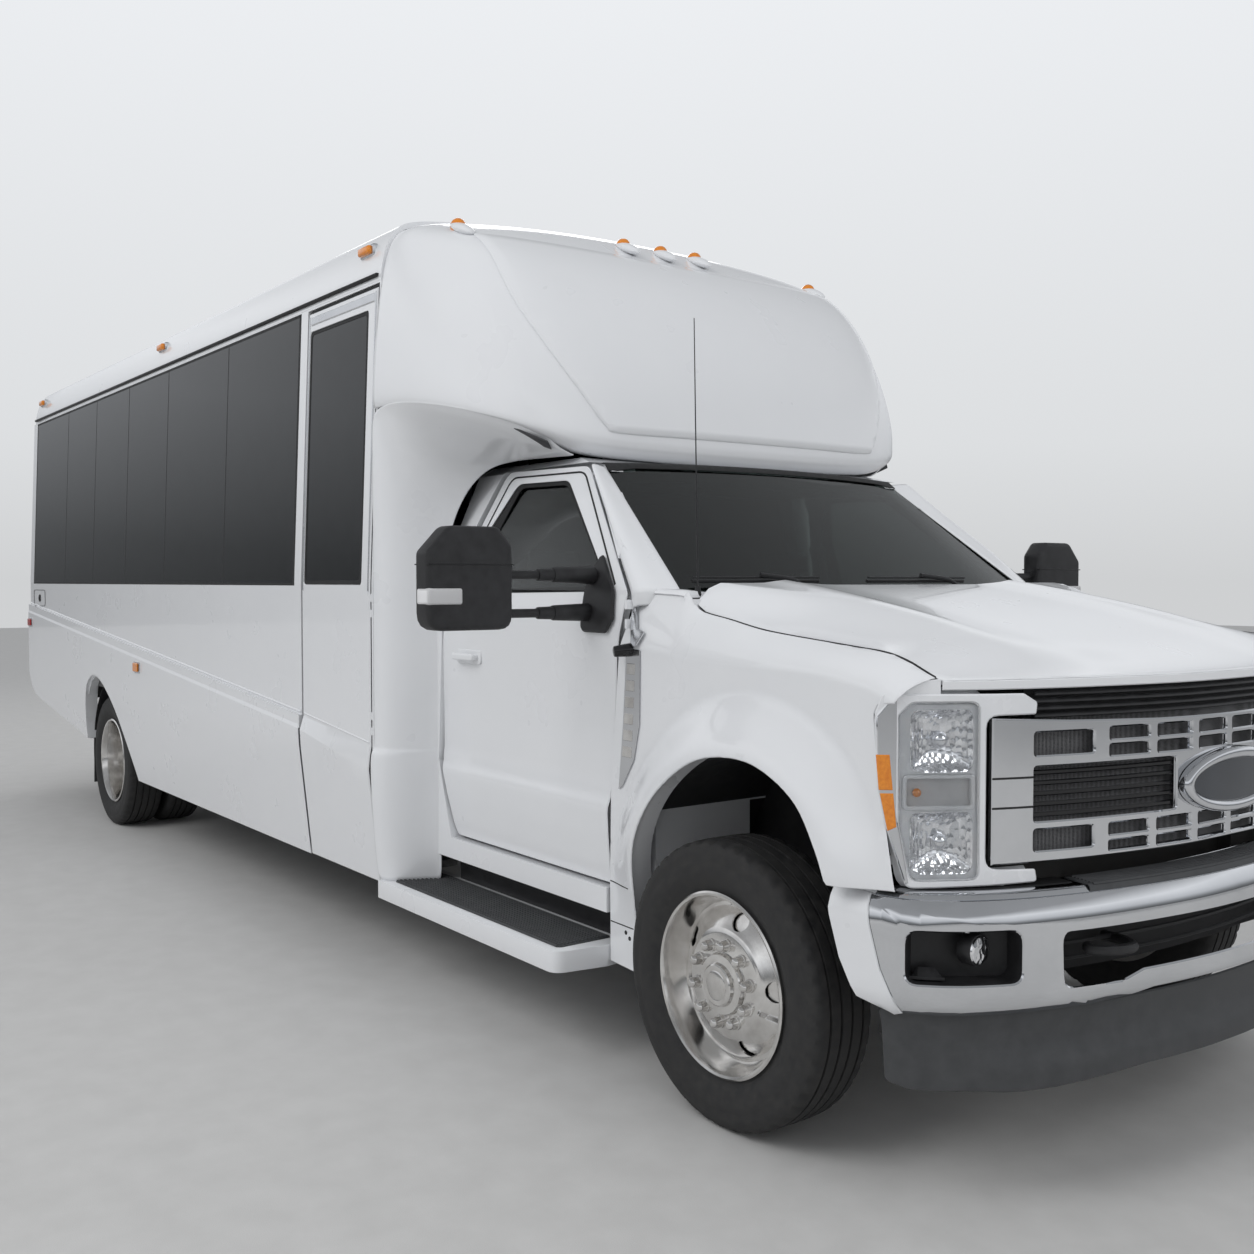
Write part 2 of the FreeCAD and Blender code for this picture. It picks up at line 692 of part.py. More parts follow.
def draw_circle(sketch, across, up, radius):
    across, up = size(across), size(up)
    centre = FreeCAD.Vector(across.value, up.value, 0)
    edge = sketch.addGeometry(Part.Circle(centre, FreeCAD.Vector(0, 0, 1), radius.value), False)
    rules = Rules()
    rules.hold(edge, 3, across, up)
    rules.radius(edge, radius)
    rules.apply(sketch)


def disc(body, plane, low, high, across, up, radius):
    """A round pad."""
    feature = pad(body, plane, low, high)
    draw_circle(feature.Profile[0], across, up, radius)
    return feature


def bore(body, plane, across, up, radius, low=None, high=None):
    """A round hole."""
    feature = pocket(body, plane, low=low, high=high)
    draw_circle(feature.Profile[0], across, up, radius)
    return feature


def make_rear_axle():
    """Rear axle housing with its tube ends, springs and pinion nose."""
    body = new_body("rear_axle")
    end = S.twin_y + S.spindle_depth / 2
    disc(body, "XZ", -end, end, REAR_AXLE, S.tyre_radius, S.axle_tube_radius)
    disc(body, "XZ", -S.differential_width / 2, S.differential_width / 2, REAR_AXLE,
         S.tyre_radius, S.differential_radius)
    nose = REAR_AXLE + S.differential_radius * 1.5
    disc(body, "YZ", REAR_AXLE, nose, 0, S.tyre_radius, S.shaft_radius * 1.6)
    make_springs(body, REAR_AXLE, S.tyre_radius + S.axle_tube_radius * 0.8)
    keep(body, "rear_axle")


def make_driveshaft():
    """Propeller shaft from the gearbox's lower corner down to the axle's nose."""
    body = new_body("driveshaft")
    front = ahead(S.gearbox_rear)
    rear = REAR_AXLE + S.differential_radius * 1.5 + S.seat_gap
    middle = (front + rear) / 2
    disc(body, "YZ", rear, front, 0, S.tyre_radius + S.shaft_radius * 1.5, S.shaft_radius)
    hanger = S.shaft_radius * 1.8
    block(body, (middle - S.shaft_radius, middle + S.shaft_radius), (-hanger, hanger),
          (S.tyre_radius + S.shaft_radius, S.frame_low))
    keep(body, "driveshaft")


def make_tank():
    """Fuel tank outside the left rail, with rounded long edges."""
    body = new_body("fuel_tank")
    y = (S.frame_half + S.seat_gap, S.frame_half + S.tank_width)
    outline = rectangle(y[0], y[1], S.tank_low, S.tank_high, S.tank_round)
    pad(body, "YZ", ahead(S.tank_front - S.tank_length), ahead(S.tank_front), outline)
    keep(body, "fuel_tank")


def make_tyre(body, offset):
    """One tyre, its middle plane at an offset along the wheel's axis."""
    half = S.tyre_width / 2
    seat = S.rim_width / 2 - S.flange_wall
    outline = [
        (offset - seat, S.bead_radius),
        (offset - seat, S.flange_radius + S.flange_wall),
        (offset - half, S.tyre_radius - S.tyre_shoulder * 2.5),
        (offset - half + S.tyre_shoulder / 2, S.tyre_radius - S.tyre_shoulder / 2),
        (offset - half + S.tyre_shoulder, S.tyre_radius),
        (offset + half - S.tyre_shoulder, S.tyre_radius),
        (offset + half - S.tyre_shoulder / 2, S.tyre_radius - S.tyre_shoulder / 2),
        (offset + half, S.tyre_radius - S.tyre_shoulder * 2.5),
        (offset + seat, S.flange_radius + S.flange_wall),
        (offset + seat, S.bead_radius),
    ]
    return spin(body, outline)


def rim_edge(middle, sign):
    """Rim outline points from the bead seat out over the flange and back to the rim's inside."""
    flange = middle + sign * S.rim_width / 2
    inside = flange - sign * S.flange_wall
    return [
        (inside, S.bead_radius - S.seat_gap),
        (inside, S.flange_radius),
        (flange, S.flange_radius),
        (flange - sign * S.flange_wall / 2, S.bead_radius - S.rim_wall),
    ]


def make_front_wheels():
    """Domed front wheels with a blind hub bore that runs on the stub axle, and their tyres."""
    for name, side in SIDES:
        wheel = new_body("front_wheel_" + name)
        bore_radius = S.spindle_radius + S.bearing_play
        hub_back = -S.spindle_depth / 2
        well = S.bead_radius - S.rim_wall
        outline = [
            (hub_back, bore_radius),
            (hub_back, S.hub_radius),
            (S.dome_rise - S.web_wall * 2, S.hub_radius),
            (S.dome_rise - S.web_wall, S.dish_radius),
            (0, well),
            *reversed(rim_edge(size(0), -1)),
            *rim_edge(size(0), 1),
            (S.web_wall, well - S.rim_wall),
            (S.dome_rise, S.dish_radius),
            (S.dome_rise, S.hub_radius),
            (S.hub_rise, S.hub_radius * 0.85),
            (S.hub_rise, 0),
            (S.spindle_depth / 2, 0),
            (S.spindle_depth / 2, bore_radius),
        ]
        spin(wheel, [(side * size(along), radius) for along, radius in outline])
        seat_on(wheel, FRONT_AXLE, side * S.front_wheel_y, S.tyre_radius)
        keep(wheel, "front_wheel_" + name)
        tyre = new_body("front_tyre_" + name)
        make_tyre(tyre, size(0))
        seat_on(tyre, FRONT_AXLE, side * S.front_wheel_y, S.tyre_radius)
        keep(tyre, "front_tyre_" + name)


def make_rear_wheels():
    """Twin rear wheels joined at the hub, and their two tyres."""
    for name, side in SIDES:
        wheel = new_body("rear_wheels_" + name)
        bore_radius = S.axle_tube_radius + S.bearing_play
        hub_back = -S.spindle_depth / 2
        well = S.bead_radius - S.rim_wall
        outline = [
            (hub_back, bore_radius),
            (hub_back, S.rear_hub_radius),
            (-S.web_wall / 2, S.rear_hub_radius),
            (-S.web_wall / 2, well),
            *reversed(rim_edge(-S.twin_half, -1)),
            rim_edge(-S.twin_half, 1)[0],
            rim_edge(-S.twin_half, 1)[1],
            (-S.twin_half + S.rim_width / 2, S.flange_radius),
            (-S.twin_half + S.rim_width / 2, S.bead_radius - S.seat_gap),
            (S.twin_half - S.rim_width / 2, S.bead_radius - S.seat_gap),
            (S.twin_half - S.rim_width / 2, S.flange_radius),
            rim_edge(S.twin_half, -1)[1],
            rim_edge(S.twin_half, -1)[0],
            *rim_edge(S.twin_half, 1),
            (S.web_wall / 2, well),
            (S.web_wall / 2, S.rear_hub_radius),
            (S.rear_hub_rise, S.rear_hub_radius * 0.8),
            (S.rear_hub_rise, 0),
            (S.spindle_depth / 2 + S.seat_gap, 0),
            (S.spindle_depth / 2 + S.seat_gap, bore_radius),
        ]
        spin(wheel, [(side * size(along), radius) for along, radius in outline])
        seat_on(wheel, REAR_AXLE, side * S.twin_y, S.tyre_radius)
        keep(wheel, "rear_wheels_" + name)
        tyres = new_body("rear_tyres_" + name)
        tyres.AllowCompound = True
        make_tyre(tyres, S.twin_half)
        make_tyre(tyres, -S.twin_half)
        seat_on(tyres, REAR_AXLE, side * S.twin_y, S.tyre_radius)
        keep(tyres, "rear_tyres_" + name)


def make_knuckles():
    """Steering knuckles: two ears on the pin, a web and the stub axle."""
    for name, side in SIDES:
        body = new_body("knuckle_" + name)
        inner = S.kingpin_y - S.beam_half
        web = S.kingpin_y + S.beam_half + S.panel_gap
        outer = S.front_wheel_y - S.spindle_depth / 2 - S.panel_gap
        ear_z = S.beam_half + S.seat_gap
        span = ear_z + S.ear_wall
        block(body, (FRONT_AXLE - S.beam_half, FRONT_AXLE + S.beam_half),
              outward(side, inner, outer), (S.tyre_radius - span, S.tyre_radius + span))
        pocket(body, "YZ", mirrored(rectangle(inner - S.panel_gap, web, S.tyre_radius - ear_z,
                                              S.tyre_radius + ear_z), side))
        bore(body, "XY", FRONT_AXLE, side * S.kingpin_y, S.kingpin_radius + S.bearing_play)
        tip = S.front_wheel_y + S.spindle_depth / 2 - S.seat_gap
        disc(body, "XZ", *outward(side, outer, tip), FRONT_AXLE, S.tyre_radius,
             S.spindle_radius)
        keep(body, "knuckle_" + name)


def wall_section(outer_shift, inner_shift, low, high):
    """Section across a coach side wall, as shifts inwards from its outer face."""
    lean = S.window_lean / (S.header_z - S.sill_z)
    tuck = S.skirt_tuck / (S.waist_z - S.skirt_low)

    def at(height, shift):
        if height.value < S.waist_z.value:
            return S.coach_half - shift - tuck * (S.waist_z - height), height
        if height.value > S.sill_z.value:
            return S.coach_half - shift - lean * (height - S.sill_z), height
        return S.coach_half - shift, height

    knees = [z for z in (S.waist_z, S.sill_z) if low.value < z.value < high.value]
    heights = [low, *knees, high]
    return [at(z, outer_shift) for z in heights] + [at(z, inner_shift) for z in reversed(heights)]


def skirt_outline():
    """Side view of a coach wall's edge, with the rear arch left open below."""
    front, rear = ahead(S.coach_front), ahead(S.coach_rear)
    top = S.header_z + S.panel_gap * 2
    arch_middle = (S.arch_front + S.arch_rear) / 2 - S.cross_width
    return [
        (front, S.skirt_low),
        (front, top),
        (rear, top),
        (rear, S.tail_low + 90),
        (rear + 90, S.tail_low),
        (ahead(S.arch_rear), S.tail_foot),
        (ahead(S.arch_rear) + 10, S.arch_high - 240),
        *((ahead(arch_middle) + along, S.arch_high - drop) for along, drop in REAR_ARCH),
        (ahead(S.arch_front) - 170, S.arch_high - 370),
        (ahead(S.arch_front), S.skirt_low + 70),
        (ahead(S.arch_front) + 60, S.skirt_low),
    ]


def window_stations():
    """Panes between the dividers: (rear, front) stations."""
    edges = [S.window_front, *(size(place) for place in PANE_JOINTS), S.window_rear]
    return list(zip(edges[1:], edges[:-1]))


def make_side_walls():
    """Coach side walls: leaning skirt, window openings, arch and the rising moulding."""
    for name, side in SIDES:
        body = new_body("side_wall_" + name)
        front, rear = ahead(S.coach_front), ahead(S.coach_rear)
        top = S.header_z + S.panel_gap * 2
        pad(body, "YZ", rear, front, mirrored(wall_section(0, S.wall, S.skirt_low, top), side))
        trim(body, "XZ", skirt_outline())
        for back, fore in window_stations():
            low, high = ahead(back) + S.pillar_half, ahead(fore) - S.pillar_half
            pocket(body, "XZ", rectangle(low, high, S.sill_z + S.pillar_half,
                                         S.header_z - S.pillar_half))
        band = wall_section(-S.wall, S.skin + S.seat_gap, S.sill_z, S.header_z)
        pocket(body, "YZ", mirrored(band, side), low=ahead(S.window_rear),
               high=ahead(S.window_front))
        start = S.entry_rear - S.entry_swing_gap if side < 0 else S.coach_front
        rise = (S.moulding_rear_low - S.moulding_front_low) / (S.entry_rear - S.coach_rear)
        lift = rise * (S.entry_rear - start)
        moulding = [
            (ahead(start), S.moulding_front_low + lift),
            (ahead(start), S.moulding_front_high + lift),
            (rear, S.moulding_rear_high),
            (rear, S.moulding_rear_low),
        ]
        pad(body, "XZ", *outward(side, S.coach_half - S.wall / 2, S.coach_half + S.rail_depth),
            moulding)
        if side < 0:
            pocket(body, "XZ", rectangle(ahead(S.entry_rear) - S.entry_swing_gap,
                                         ahead(S.entry_front) + S.panel_gap,
                                         S.entry_low - S.wall, S.header_z + S.panel_gap),
                   low=-S.coach_half - S.wall, high=size(0))
        keep(body, "side_wall_" + name)


def make_side_windows():
    """Flush panes of the coach's sides."""
    body = new_body("side_windows")
    body.AllowCompound = True
    for name, side in SIDES:
        section = wall_section(0, S.skin, S.sill_z, S.header_z)
        for back, fore in window_stations():
            pad(body, "YZ", ahead(back) + S.divider_half, ahead(fore) - S.divider_half,
                mirrored(section, side))
    keep(body, "side_windows")


def roof_section(shift):
    """Half of the roof's outer line, from the wall's top to the middle."""
    return [
        (S.coach_half - S.window_lean - shift, S.header_z + S.panel_gap * 2 + S.seat_gap),
        (S.coach_half - S.eave_inset - shift, S.eave_z - shift / 4),
        (S.coach_half - S.brow_inset - shift, S.brow_z - shift / 2),
        (S.coach_half / 2, (S.roof_z + S.brow_z) / 2 + 20 - shift),
    ]


def make_roof():
    """Crowned roof shell between the walls."""
    body = new_body("roof_panel")
    outer = roof_section(size(0)) + [(size(0), S.roof_z)]
    inner = roof_section(S.wall) + [(size(0), S.roof_z - S.wall)]
    half_outer = mirrored(outer, 1)
    loop = [*mirrored(outer[:-1], -1), *reversed(half_outer), *mirrored(inner[:-1], 1),
            *reversed(mirrored(inner, -1))]
    pad(body, "YZ", ahead(S.coach_rear), ahead(S.coach_front), loop)
    keep(body, "roof_panel")


def make_rear_wall():
    """Rear wall with the door opening, under the roof's edge."""
    body = new_body("rear_wall")
    inside = S.coach_half - S.wall - S.seat_gap
    lean = S.window_lean / (S.header_z - S.sill_z)
    top = S.header_z + S.panel_gap * 2
    tuck = S.skirt_tuck / (S.waist_z - S.skirt_low) * (S.waist_z - S.tail_low - 95)
    roof = roof_section(S.wall + S.seat_gap * 2)[1:]
    right = [(inside - tuck, S.tail_low + 95), (inside, S.waist_z), (inside, S.sill_z),
             (inside - lean * (top - S.sill_z), top), *roof]
    crown = (size(0), S.roof_z - S.wall - S.seat_gap * 2)
    outline = mirrored(right, -1) + [crown] + list(reversed(mirrored(right, 1)))
    opening = rectangle(-S.rear_door_half, S.rear_door_half, S.rear_door_low, S.rear_door_high)
    pad(body, "YZ", ahead(S.coach_rear), ahead(S.coach_rear) + S.rear_wall, outline, opening)
    keep(body, "rear_wall")


def make_rear_door():
    """Side-hinged rear door with its window opening, and the pane."""
    body = new_body("rear_door")
    gap = S.panel_gap
    rear = ahead(S.coach_rear)
    outline = rectangle(-S.rear_door_half + gap, S.rear_door_half - gap, S.rear_door_low + gap,
                        S.rear_door_high - gap)
    glass = rectangle(-S.rear_glass_half, S.rear_glass_half, S.rear_glass_low,
                      S.rear_door_high - S.rear_wall * 3)
    pad(body, "YZ", rear, rear + S.rear_wall, outline, glass)
    keep(body, "rear_door")
    pane = new_body("rear_door_glass")
    edge = S.seat_gap
    pad(pane, "YZ", rear, rear + S.skin,
        rectangle(-S.rear_glass_half + edge, S.rear_glass_half - edge, S.rear_glass_low + edge,
                  S.rear_door_high - S.rear_wall * 3 - edge))
    keep(pane, "rear_door_glass")


def make_deck():
    """Coach floor on its bearers, with the entry well cut out."""
    body = new_body("floor_deck")
    half = S.coach_half - S.wall - S.seat_gap
    rear = ahead(S.coach_rear) + S.rear_wall + S.seat_gap
    front = ahead(S.coach_front)
    well = [
        (front, -half),
        (front, half),
        (rear, half),
        (rear, -half),
        (ahead(S.entry_rear) - S.wall, -half),
        (ahead(S.entry_rear) - S.wall, -half + S.step_depth),
        (ahead(S.entry_front) - S.panel_gap, -half + S.step_depth),
        (ahead(S.entry_front) - S.panel_gap, -half),
    ]
    pad(body, "XY", S.deck_low, S.deck_low + S.deck_wall, well)
    for station in BEARERS:
        block(body, (ahead(station) - S.sill_half, ahead(station) + S.sill_half),
              (-half + S.wall, half - S.wall), (S.frame_high + S.seat_gap, S.deck_low))
    keep(body, "floor_deck")


def make_steps():
    """Entry steps inside the passenger door."""
    body = new_body("entry_steps")
    wall = S.step_wall
    outer = S.coach_half - S.wall - S.skirt_tuck - S.seat_gap
    inner = S.coach_half - S.wall - S.step_depth - S.seat_gap
    low = S.entry_low + wall
    high = S.deck_low + S.deck_wall
    rise = (high - low) / 3
    run = (outer - inner) / 2
    outline = [
        (-outer, low),
        (-outer, low + wall),
        (-outer + run, low + wall),
        (-outer + run, low + rise + wall),
        (-inner - wall, low + rise + wall),
        (-inner - wall, high),
        (-inner, high),
        (-inner, low + rise),
        (-outer + run + wall, low + rise),
        (-outer + run + wall, low),
    ]
    pad(body, "YZ", ahead(S.entry_rear) - S.wall + S.seat_gap,
        ahead(S.entry_front) - S.panel_gap - S.seat_gap, outline)
    keep(body, "entry_steps")


def make_entry_door():
    """Passenger door as thick as the wall, with its tall pane."""
    body = new_body("passenger_door")
    gap = S.panel_gap
    section = wall_section(0, S.wall, S.entry_low, S.header_z)
    pad(body, "YZ", ahead(S.entry_rear), ahead(S.entry_front), mirrored(section, -1))
    opening = (ahead(S.entry_glass_rear), ahead(S.entry_glass_front), S.sill_z,
               S.entry_glass_high)
    pocket(body, "XZ", rectangle(*opening))
    keep(body, "passenger_door")
    pane = new_body("passenger_door_glass")
    edge = S.seat_gap
    band = wall_section(0, S.skin, S.sill_z + edge, S.entry_glass_high - edge)
    pad(pane, "YZ", opening[0] + edge, opening[1] - edge, mirrored(band, -1))
    keep(pane, "passenger_door_glass")


def cab_lean(height):
    """Half width of the cab's outer skin above the belt."""
    slope = (S.cab_half - S.cab_roof_half) / (S.cab_top_z - S.belt_z)
    return S.cab_half - slope * (height - S.belt_z)


def make_cab():
    """Cab shell: sills, tunnel, firewall, cowl, pillars and roof, open to the coach."""
    body = new_body("cab_shell")
    rear = ahead(S.cab_rear)
    side_view = [
        (rear, S.cab_low),
        (ahead(S.door_hinge) - 60, S.cab_low),
        (ahead(S.firewall), S.cab_floor_z),
        (ahead(S.firewall), S.belt_z - 200),
        (ahead(S.cowl_front), S.belt_z - S.cowl_drop - S.cab_wall),
        (ahead(S.cowl_front), S.belt_z - S.cowl_drop),
        (ahead(S.screen_low), S.belt_z - 10),
        (ahead(S.screen_high), S.cab_roof_z - 30),
        (ahead(S.screen_high) - 130, S.cab_roof_z),
        (rear, S.cab_roof_z),
    ]
    pad(body, "XZ", -S.cab_half, S.cab_half, side_view)
    top = S.cab_roof_z
    half = [(S.cab_half, S.cab_low), (S.cab_half, S.belt_z), (cab_lean(S.cab_top_z), S.cab_top_z),
            (cab_lean(S.cab_top_z) - S.cab_roof_round, top)]
    trim(body, "YZ", mirrored(half, -1) + list(reversed(mirrored(half, 1))))
    hinge = ahead(S.door_hinge)
    foot = hinge - S.door_foot_set
    plan = [(rear, S.cab_half), (foot, S.cab_half), (foot, COWL_HALF),
            (ahead(S.cowl_front), COWL_HALF)]
    trim(body, "XY", plan + [(x, -y) for x, y in reversed(plan)])
    wall = S.cab_wall
    room = [
        (S.tunnel_half + wall, S.cab_floor_z),
        (SCREEN_BASE_HALF, S.cab_floor_z),
        (SCREEN_BASE_HALF, S.belt_z),
        (SCREEN_TOP_HALF, S.cab_roof_z - wall),
    ]
    inside = [(-S.tunnel_half, S.tunnel_z)] + mirrored(room, -1)
    inside += list(reversed(mirrored(room, 1))) + [(S.tunnel_half, S.tunnel_z)]
    pocket(body, "YZ", inside, low=rear - wall, high=ahead(S.firewall) - wall)
    under = [(-S.tunnel_half + wall, S.cab_low - wall), (-S.tunnel_half + wall, S.tunnel_z - wall),
             (S.tunnel_half - wall, S.tunnel_z - wall), (S.tunnel_half - wall, S.cab_low - wall)]
    pocket(body, "YZ", under)
    screen = [(SCREEN_BASE_HALF, S.belt_z), (SCREEN_TOP_HALF, S.cab_roof_z - wall)]
    pocket(body, "YZ", mirrored(screen, -1) + list(reversed(mirrored(screen, 1))),
           low=ahead(S.firewall) - wall * 2, high=ahead(S.cowl_front))
    opening = door_outline(S.panel_gap, S.door_swing_gap)
    for side in (-1, 1):
        low, high = outward(side, SCREEN_BASE_HALF, S.cab_half + wall)
        pocket(body, "XZ", opening, low=low, high=high)
        low, high = outward(side, SCREEN_TOP_HALF, S.cab_half + wall)
        pocket(body, "XZ", opening[2:6], low=low, high=high)
    keep(body, "cab_shell")


def door_outline(gap, swing_gap):
    """Side view of a cab door, grown by a gap, and by more behind its leaning frame."""
    hinge = ahead(S.door_hinge)
    rear = ahead(S.door_rear)
    top = S.cab_top_z
    return [
        (hinge - S.door_foot_set + gap, S.door_low - gap),
        (hinge - S.door_shin_set + gap, S.door_low + S.door_shin),
        (hinge + gap, S.belt_z),
        (hinge - S.door_frame_front + gap, top + gap),
        (rear + S.door_frame_rear - swing_gap, top + gap),
        (rear + S.door_belt_set - gap, S.belt_z - S.door_belt_set * 2),
        (rear - S.door_heel - gap, S.door_low + S.door_heel_high),
        (rear + S.door_foot_rear - gap, S.door_low - gap),
    ]


def make_cab_doors():
    """Cab doors as thick as the cab's side, their panes and mirrors."""
    for name, side in SIDES:
        body = new_body("cab_door_" + name)
        wall = S.cab_wall
        section = [
            (S.cab_half, S.door_low),
            (S.cab_half, S.belt_z),
            (cab_lean(S.cab_top_z), S.cab_top_z),
            (cab_lean(S.cab_top_z) - wall, S.cab_top_z),
            (S.cab_half - wall, S.belt_z),
            (S.cab_half - wall, S.door_low),
        ]
        pad(body, "YZ", ahead(S.door_rear) - wall, ahead(S.door_hinge), mirrored(section, side))
        trim(body, "XZ", door_outline(size(0), size(0)))
        hinge = ahead(S.door_hinge)
        window = [
            (hinge - S.pane_front, S.belt_z),
            (hinge - S.pane_top_front, S.cab_top_z - S.pane_top),
            (hinge - S.pane_top_rear, S.cab_top_z - S.pane_top + S.pane_drop),
            (hinge - S.pane_shoulder, S.cab_top_z - S.pane_shoulder_drop),
            (hinge - S.pane_rear, S.belt_z - S.pane_drop),
        ]
        pocket(body, "XZ", window)
        keep(body, "cab_door_" + name)
        pane = new_body("cab_door_glass_" + name)
        edge = wall / 3
        band = [(S.cab_half - edge, S.belt_z - 60), (S.cab_half - edge, S.belt_z),
                (cab_lean(S.cab_top_z) - edge, S.cab_top_z),
                (cab_lean(S.cab_top_z) - edge - S.skin, S.cab_top_z),
                (S.cab_half - edge - S.skin, S.belt_z),
                (S.cab_half - edge - S.skin, S.belt_z - 60)]
        pad(pane, "YZ", ahead(S.door_rear), hinge, mirrored(band, side))
        trim(pane, "XZ", window)
        keep(pane, "cab_door_glass_" + name)
        make_mirror(name, side)


def make_mirror(name, side):
    """Tall mirror head on two arms from the door's front corner."""
    body = new_body("mirror_" + name)
    front = ahead(S.mirror_front)
    head_z = (S.mirror_low, S.mirror_low + S.mirror_height)
    inner = S.cab_half + S.mirror_out
    y = outward(side, inner, inner + S.mirror_width)
    block(body, (front - S.mirror_depth, front), y, head_z)
    skin = outward(side, S.cab_half + S.seat_gap, S.cab_half + S.cab_wall / 2)
    middle = front - S.mirror_depth / 2
    block(body, (front - S.mirror_depth, front), skin,
          (S.mirror_low, S.belt_z))
    for height in (S.mirror_low + S.mirror_arm_low, S.belt_z - S.mirror_arm_high):
        disc(body, "XZ", *outward(side, S.cab_half + S.cab_wall / 4, inner + S.arm_radius),
             middle, height, S.arm_radius)
    keep(body, "mirror_" + name)


def make_windscreen():
    """Windscreen pane on the cab's slope."""
    body = new_body("windshield")
    low, high = S.belt_z - 10, S.cab_roof_z - 30
    x_low, x_high = ahead(S.screen_low), ahead(S.screen_high)
    outline = [(x_low, low), (x_high, high), (x_high - S.screen_wall, high),
               (x_low - S.screen_wall, low)]
    pad(body, "XZ", -SCREEN_BASE_HALF, SCREEN_BASE_HALF, outline)
    slope = (SCREEN_BASE_HALF - SCREEN_TOP_HALF) / (S.cab_roof_z - S.cab_wall - S.belt_z)
    wide = SCREEN_BASE_HALF - S.seat_gap
    narrow = wide - slope * (S.cab_roof_z - S.cab_wall - S.belt_z)
    top = S.cab_roof_z - S.cab_wall - S.seat_gap
    sill = S.belt_z + S.seat_gap
    trim(body, "YZ", [(-wide, sill), (-narrow, top), (narrow, top), (wide, sill)])
    keep(body, "windshield")


def hood_station(share):
    """X of a place given as a share of the hood's length."""
    return ahead(S.hood_rear + (S.hood_front - S.hood_rear) * share)


def hood_edge_z(drop):
    return S.belt_z - S.hood_drop - drop


def hood_section(half, edge_z, crown):
    """Shell across the hood: a rise from each edge to a ridge, and a flatter middle."""
    outer = [(half, edge_z), (half * 0.8, edge_z + crown * 0.45),
             (half * 0.65, edge_z + crown * 0.96), (half * 0.45, edge_z + crown * 0.84)]
    inner = [(across, up - S.hood_wall) for across, up in outer]
    return (mirrored(outer, -1) + list(reversed(mirrored(outer, 1))) + mirrored(inner, 1)
            + list(reversed(mirrored(inner, -1))))


def make_hood():
    """Hood shell, hinged at its rear edge."""
    body = new_body("hood")
    narrowing = HOOD_HALF - S.hood_front_half
    loft(body, "YZ", [
        (hood_station(share), hood_section(HOOD_HALF - narrowing * inset, hood_edge_z(drop),
                                           size(crown)))
        for share, inset, drop, crown in HOOD
    ])
    keep(body, "hood")


def fender_section(half, shoulder_z, shelf_z):
    """Across a fender: flared side, rounded shoulder and the rise to the hood's edge."""
    wall = S.fender_wall
    shelf = HOOD_HALF + S.panel_gap
    tuck = S.fender_tuck
    return [
        (half - tuck, S.fender_low),
        (half, S.lamp_low),
        (half, shoulder_z - S.flare_high),
        (S.cab_half + tuck / 2, shoulder_z - S.flare_end),
        (S.cab_half - tuck / 4, shoulder_z),
        (shelf, shelf_z),
        (shelf, shelf_z - wall),
        (S.cab_half - tuck / 4 - wall, shoulder_z - wall),
        (S.cab_half + tuck / 2 - wall, shoulder_z - S.flare_end),
        (half - wall, shoulder_z - S.flare_high),
        (half - wall, S.lamp_low),
        (half - tuck - wall, S.fender_low),
    ]


def make_fenders():
    """Front fenders, flush with the doors behind and wider over the open arch."""
    hinge = ahead(S.door_hinge)
    gap = S.panel_gap * 2
    rear_shoulder = S.belt_z - S.cab_hinge_drop - S.panel_gap
    stations = [
        (hinge - S.door_foot_set - gap, S.cab_half, rear_shoulder, S.belt_z + gap),
        (hinge + S.cab_wall, S.cab_half, rear_shoulder - gap, S.belt_z + S.panel_gap / 2),
    ]
    drops = [drop for share, inset, drop, crown in HOOD]
    for (share, flare, drop), edge_drop in zip(FENDER, drops):
        stations.append((hood_station(share), S.cab_half + S.arch_flare * flare,
                         S.belt_z - drop, hood_edge_z(edge_drop)))
    hinge_room = S.cab_hinge_set + S.cab_hinge_radius + S.panel_gap
    rear = [(hinge - S.door_foot_set + gap, S.fender_low),
            (hinge - S.door_shin_set + gap, S.door_low + S.door_shin),
            (hinge, rear_shoulder),
            (hinge + hinge_room, rear_shoulder),
            (hinge + hinge_room, S.belt_z)]
    edge_low, edge_high = ahead(S.lamp_edge_low) - S.panel_gap, ahead(S.lamp_edge_high) - S.panel_gap
    arch_x, arch_z = FRONT_AXLE + S.arch_ahead, S.tyre_radius + S.arch_lift
    front = [(edge_high, S.belt_z), (edge_high, S.lamp_high + S.panel_gap), (edge_low, S.lamp_low),
             (arch_x, S.lamp_low), (arch_x, S.fender_low)]
    for name, side in SIDES:
        body = new_body("fender_" + name)
        loft(body, "YZ", [(x, mirrored(fender_section(*section), side))
                          for x, *section in stations])
        trim(body, "XZ", rear + front)
        bore(body, "XZ", arch_x, arch_z, S.arch_radius)
        pocket(body, "XZ", rectangle(arch_x - S.arch_radius + S.panel_gap, edge_low,
                                     S.fender_low - S.fender_wall, arch_z))
        keep(body, "fender_" + name)


def nose_x(across):
    """X of the nose's face at a distance outside the middle."""
    across = size(across)
    (y0, set0), (y1, set1) = [
        pair for pair in zip(NOSE, NOSE[1:]) if across.value >= pair[0][0]][-1]
    return ahead(S.grille_front) - set0 - (across - y0) * ((set1 - set0) / (y1 - y0))


def nose_line(inner, outer):
    """Points (X, Y) of the nose's face between two distances outside the middle."""
    between = [size(y) for y, setback in NOSE if inner.value < y < outer.value]
    return [(nose_x(y), y) for y in (inner, *between, outer)]


def nose_strip(half, front_set, depth):
    """Plan of a strip across the nose that follows its bow."""
    line = nose_line(size(0), half)
    line = [(x, -y) for x, y in reversed(line)] + line[1:]
    return ([(x - front_set, y) for x, y in line]
            + [(x - front_set - depth, y) for x, y in reversed(line)])


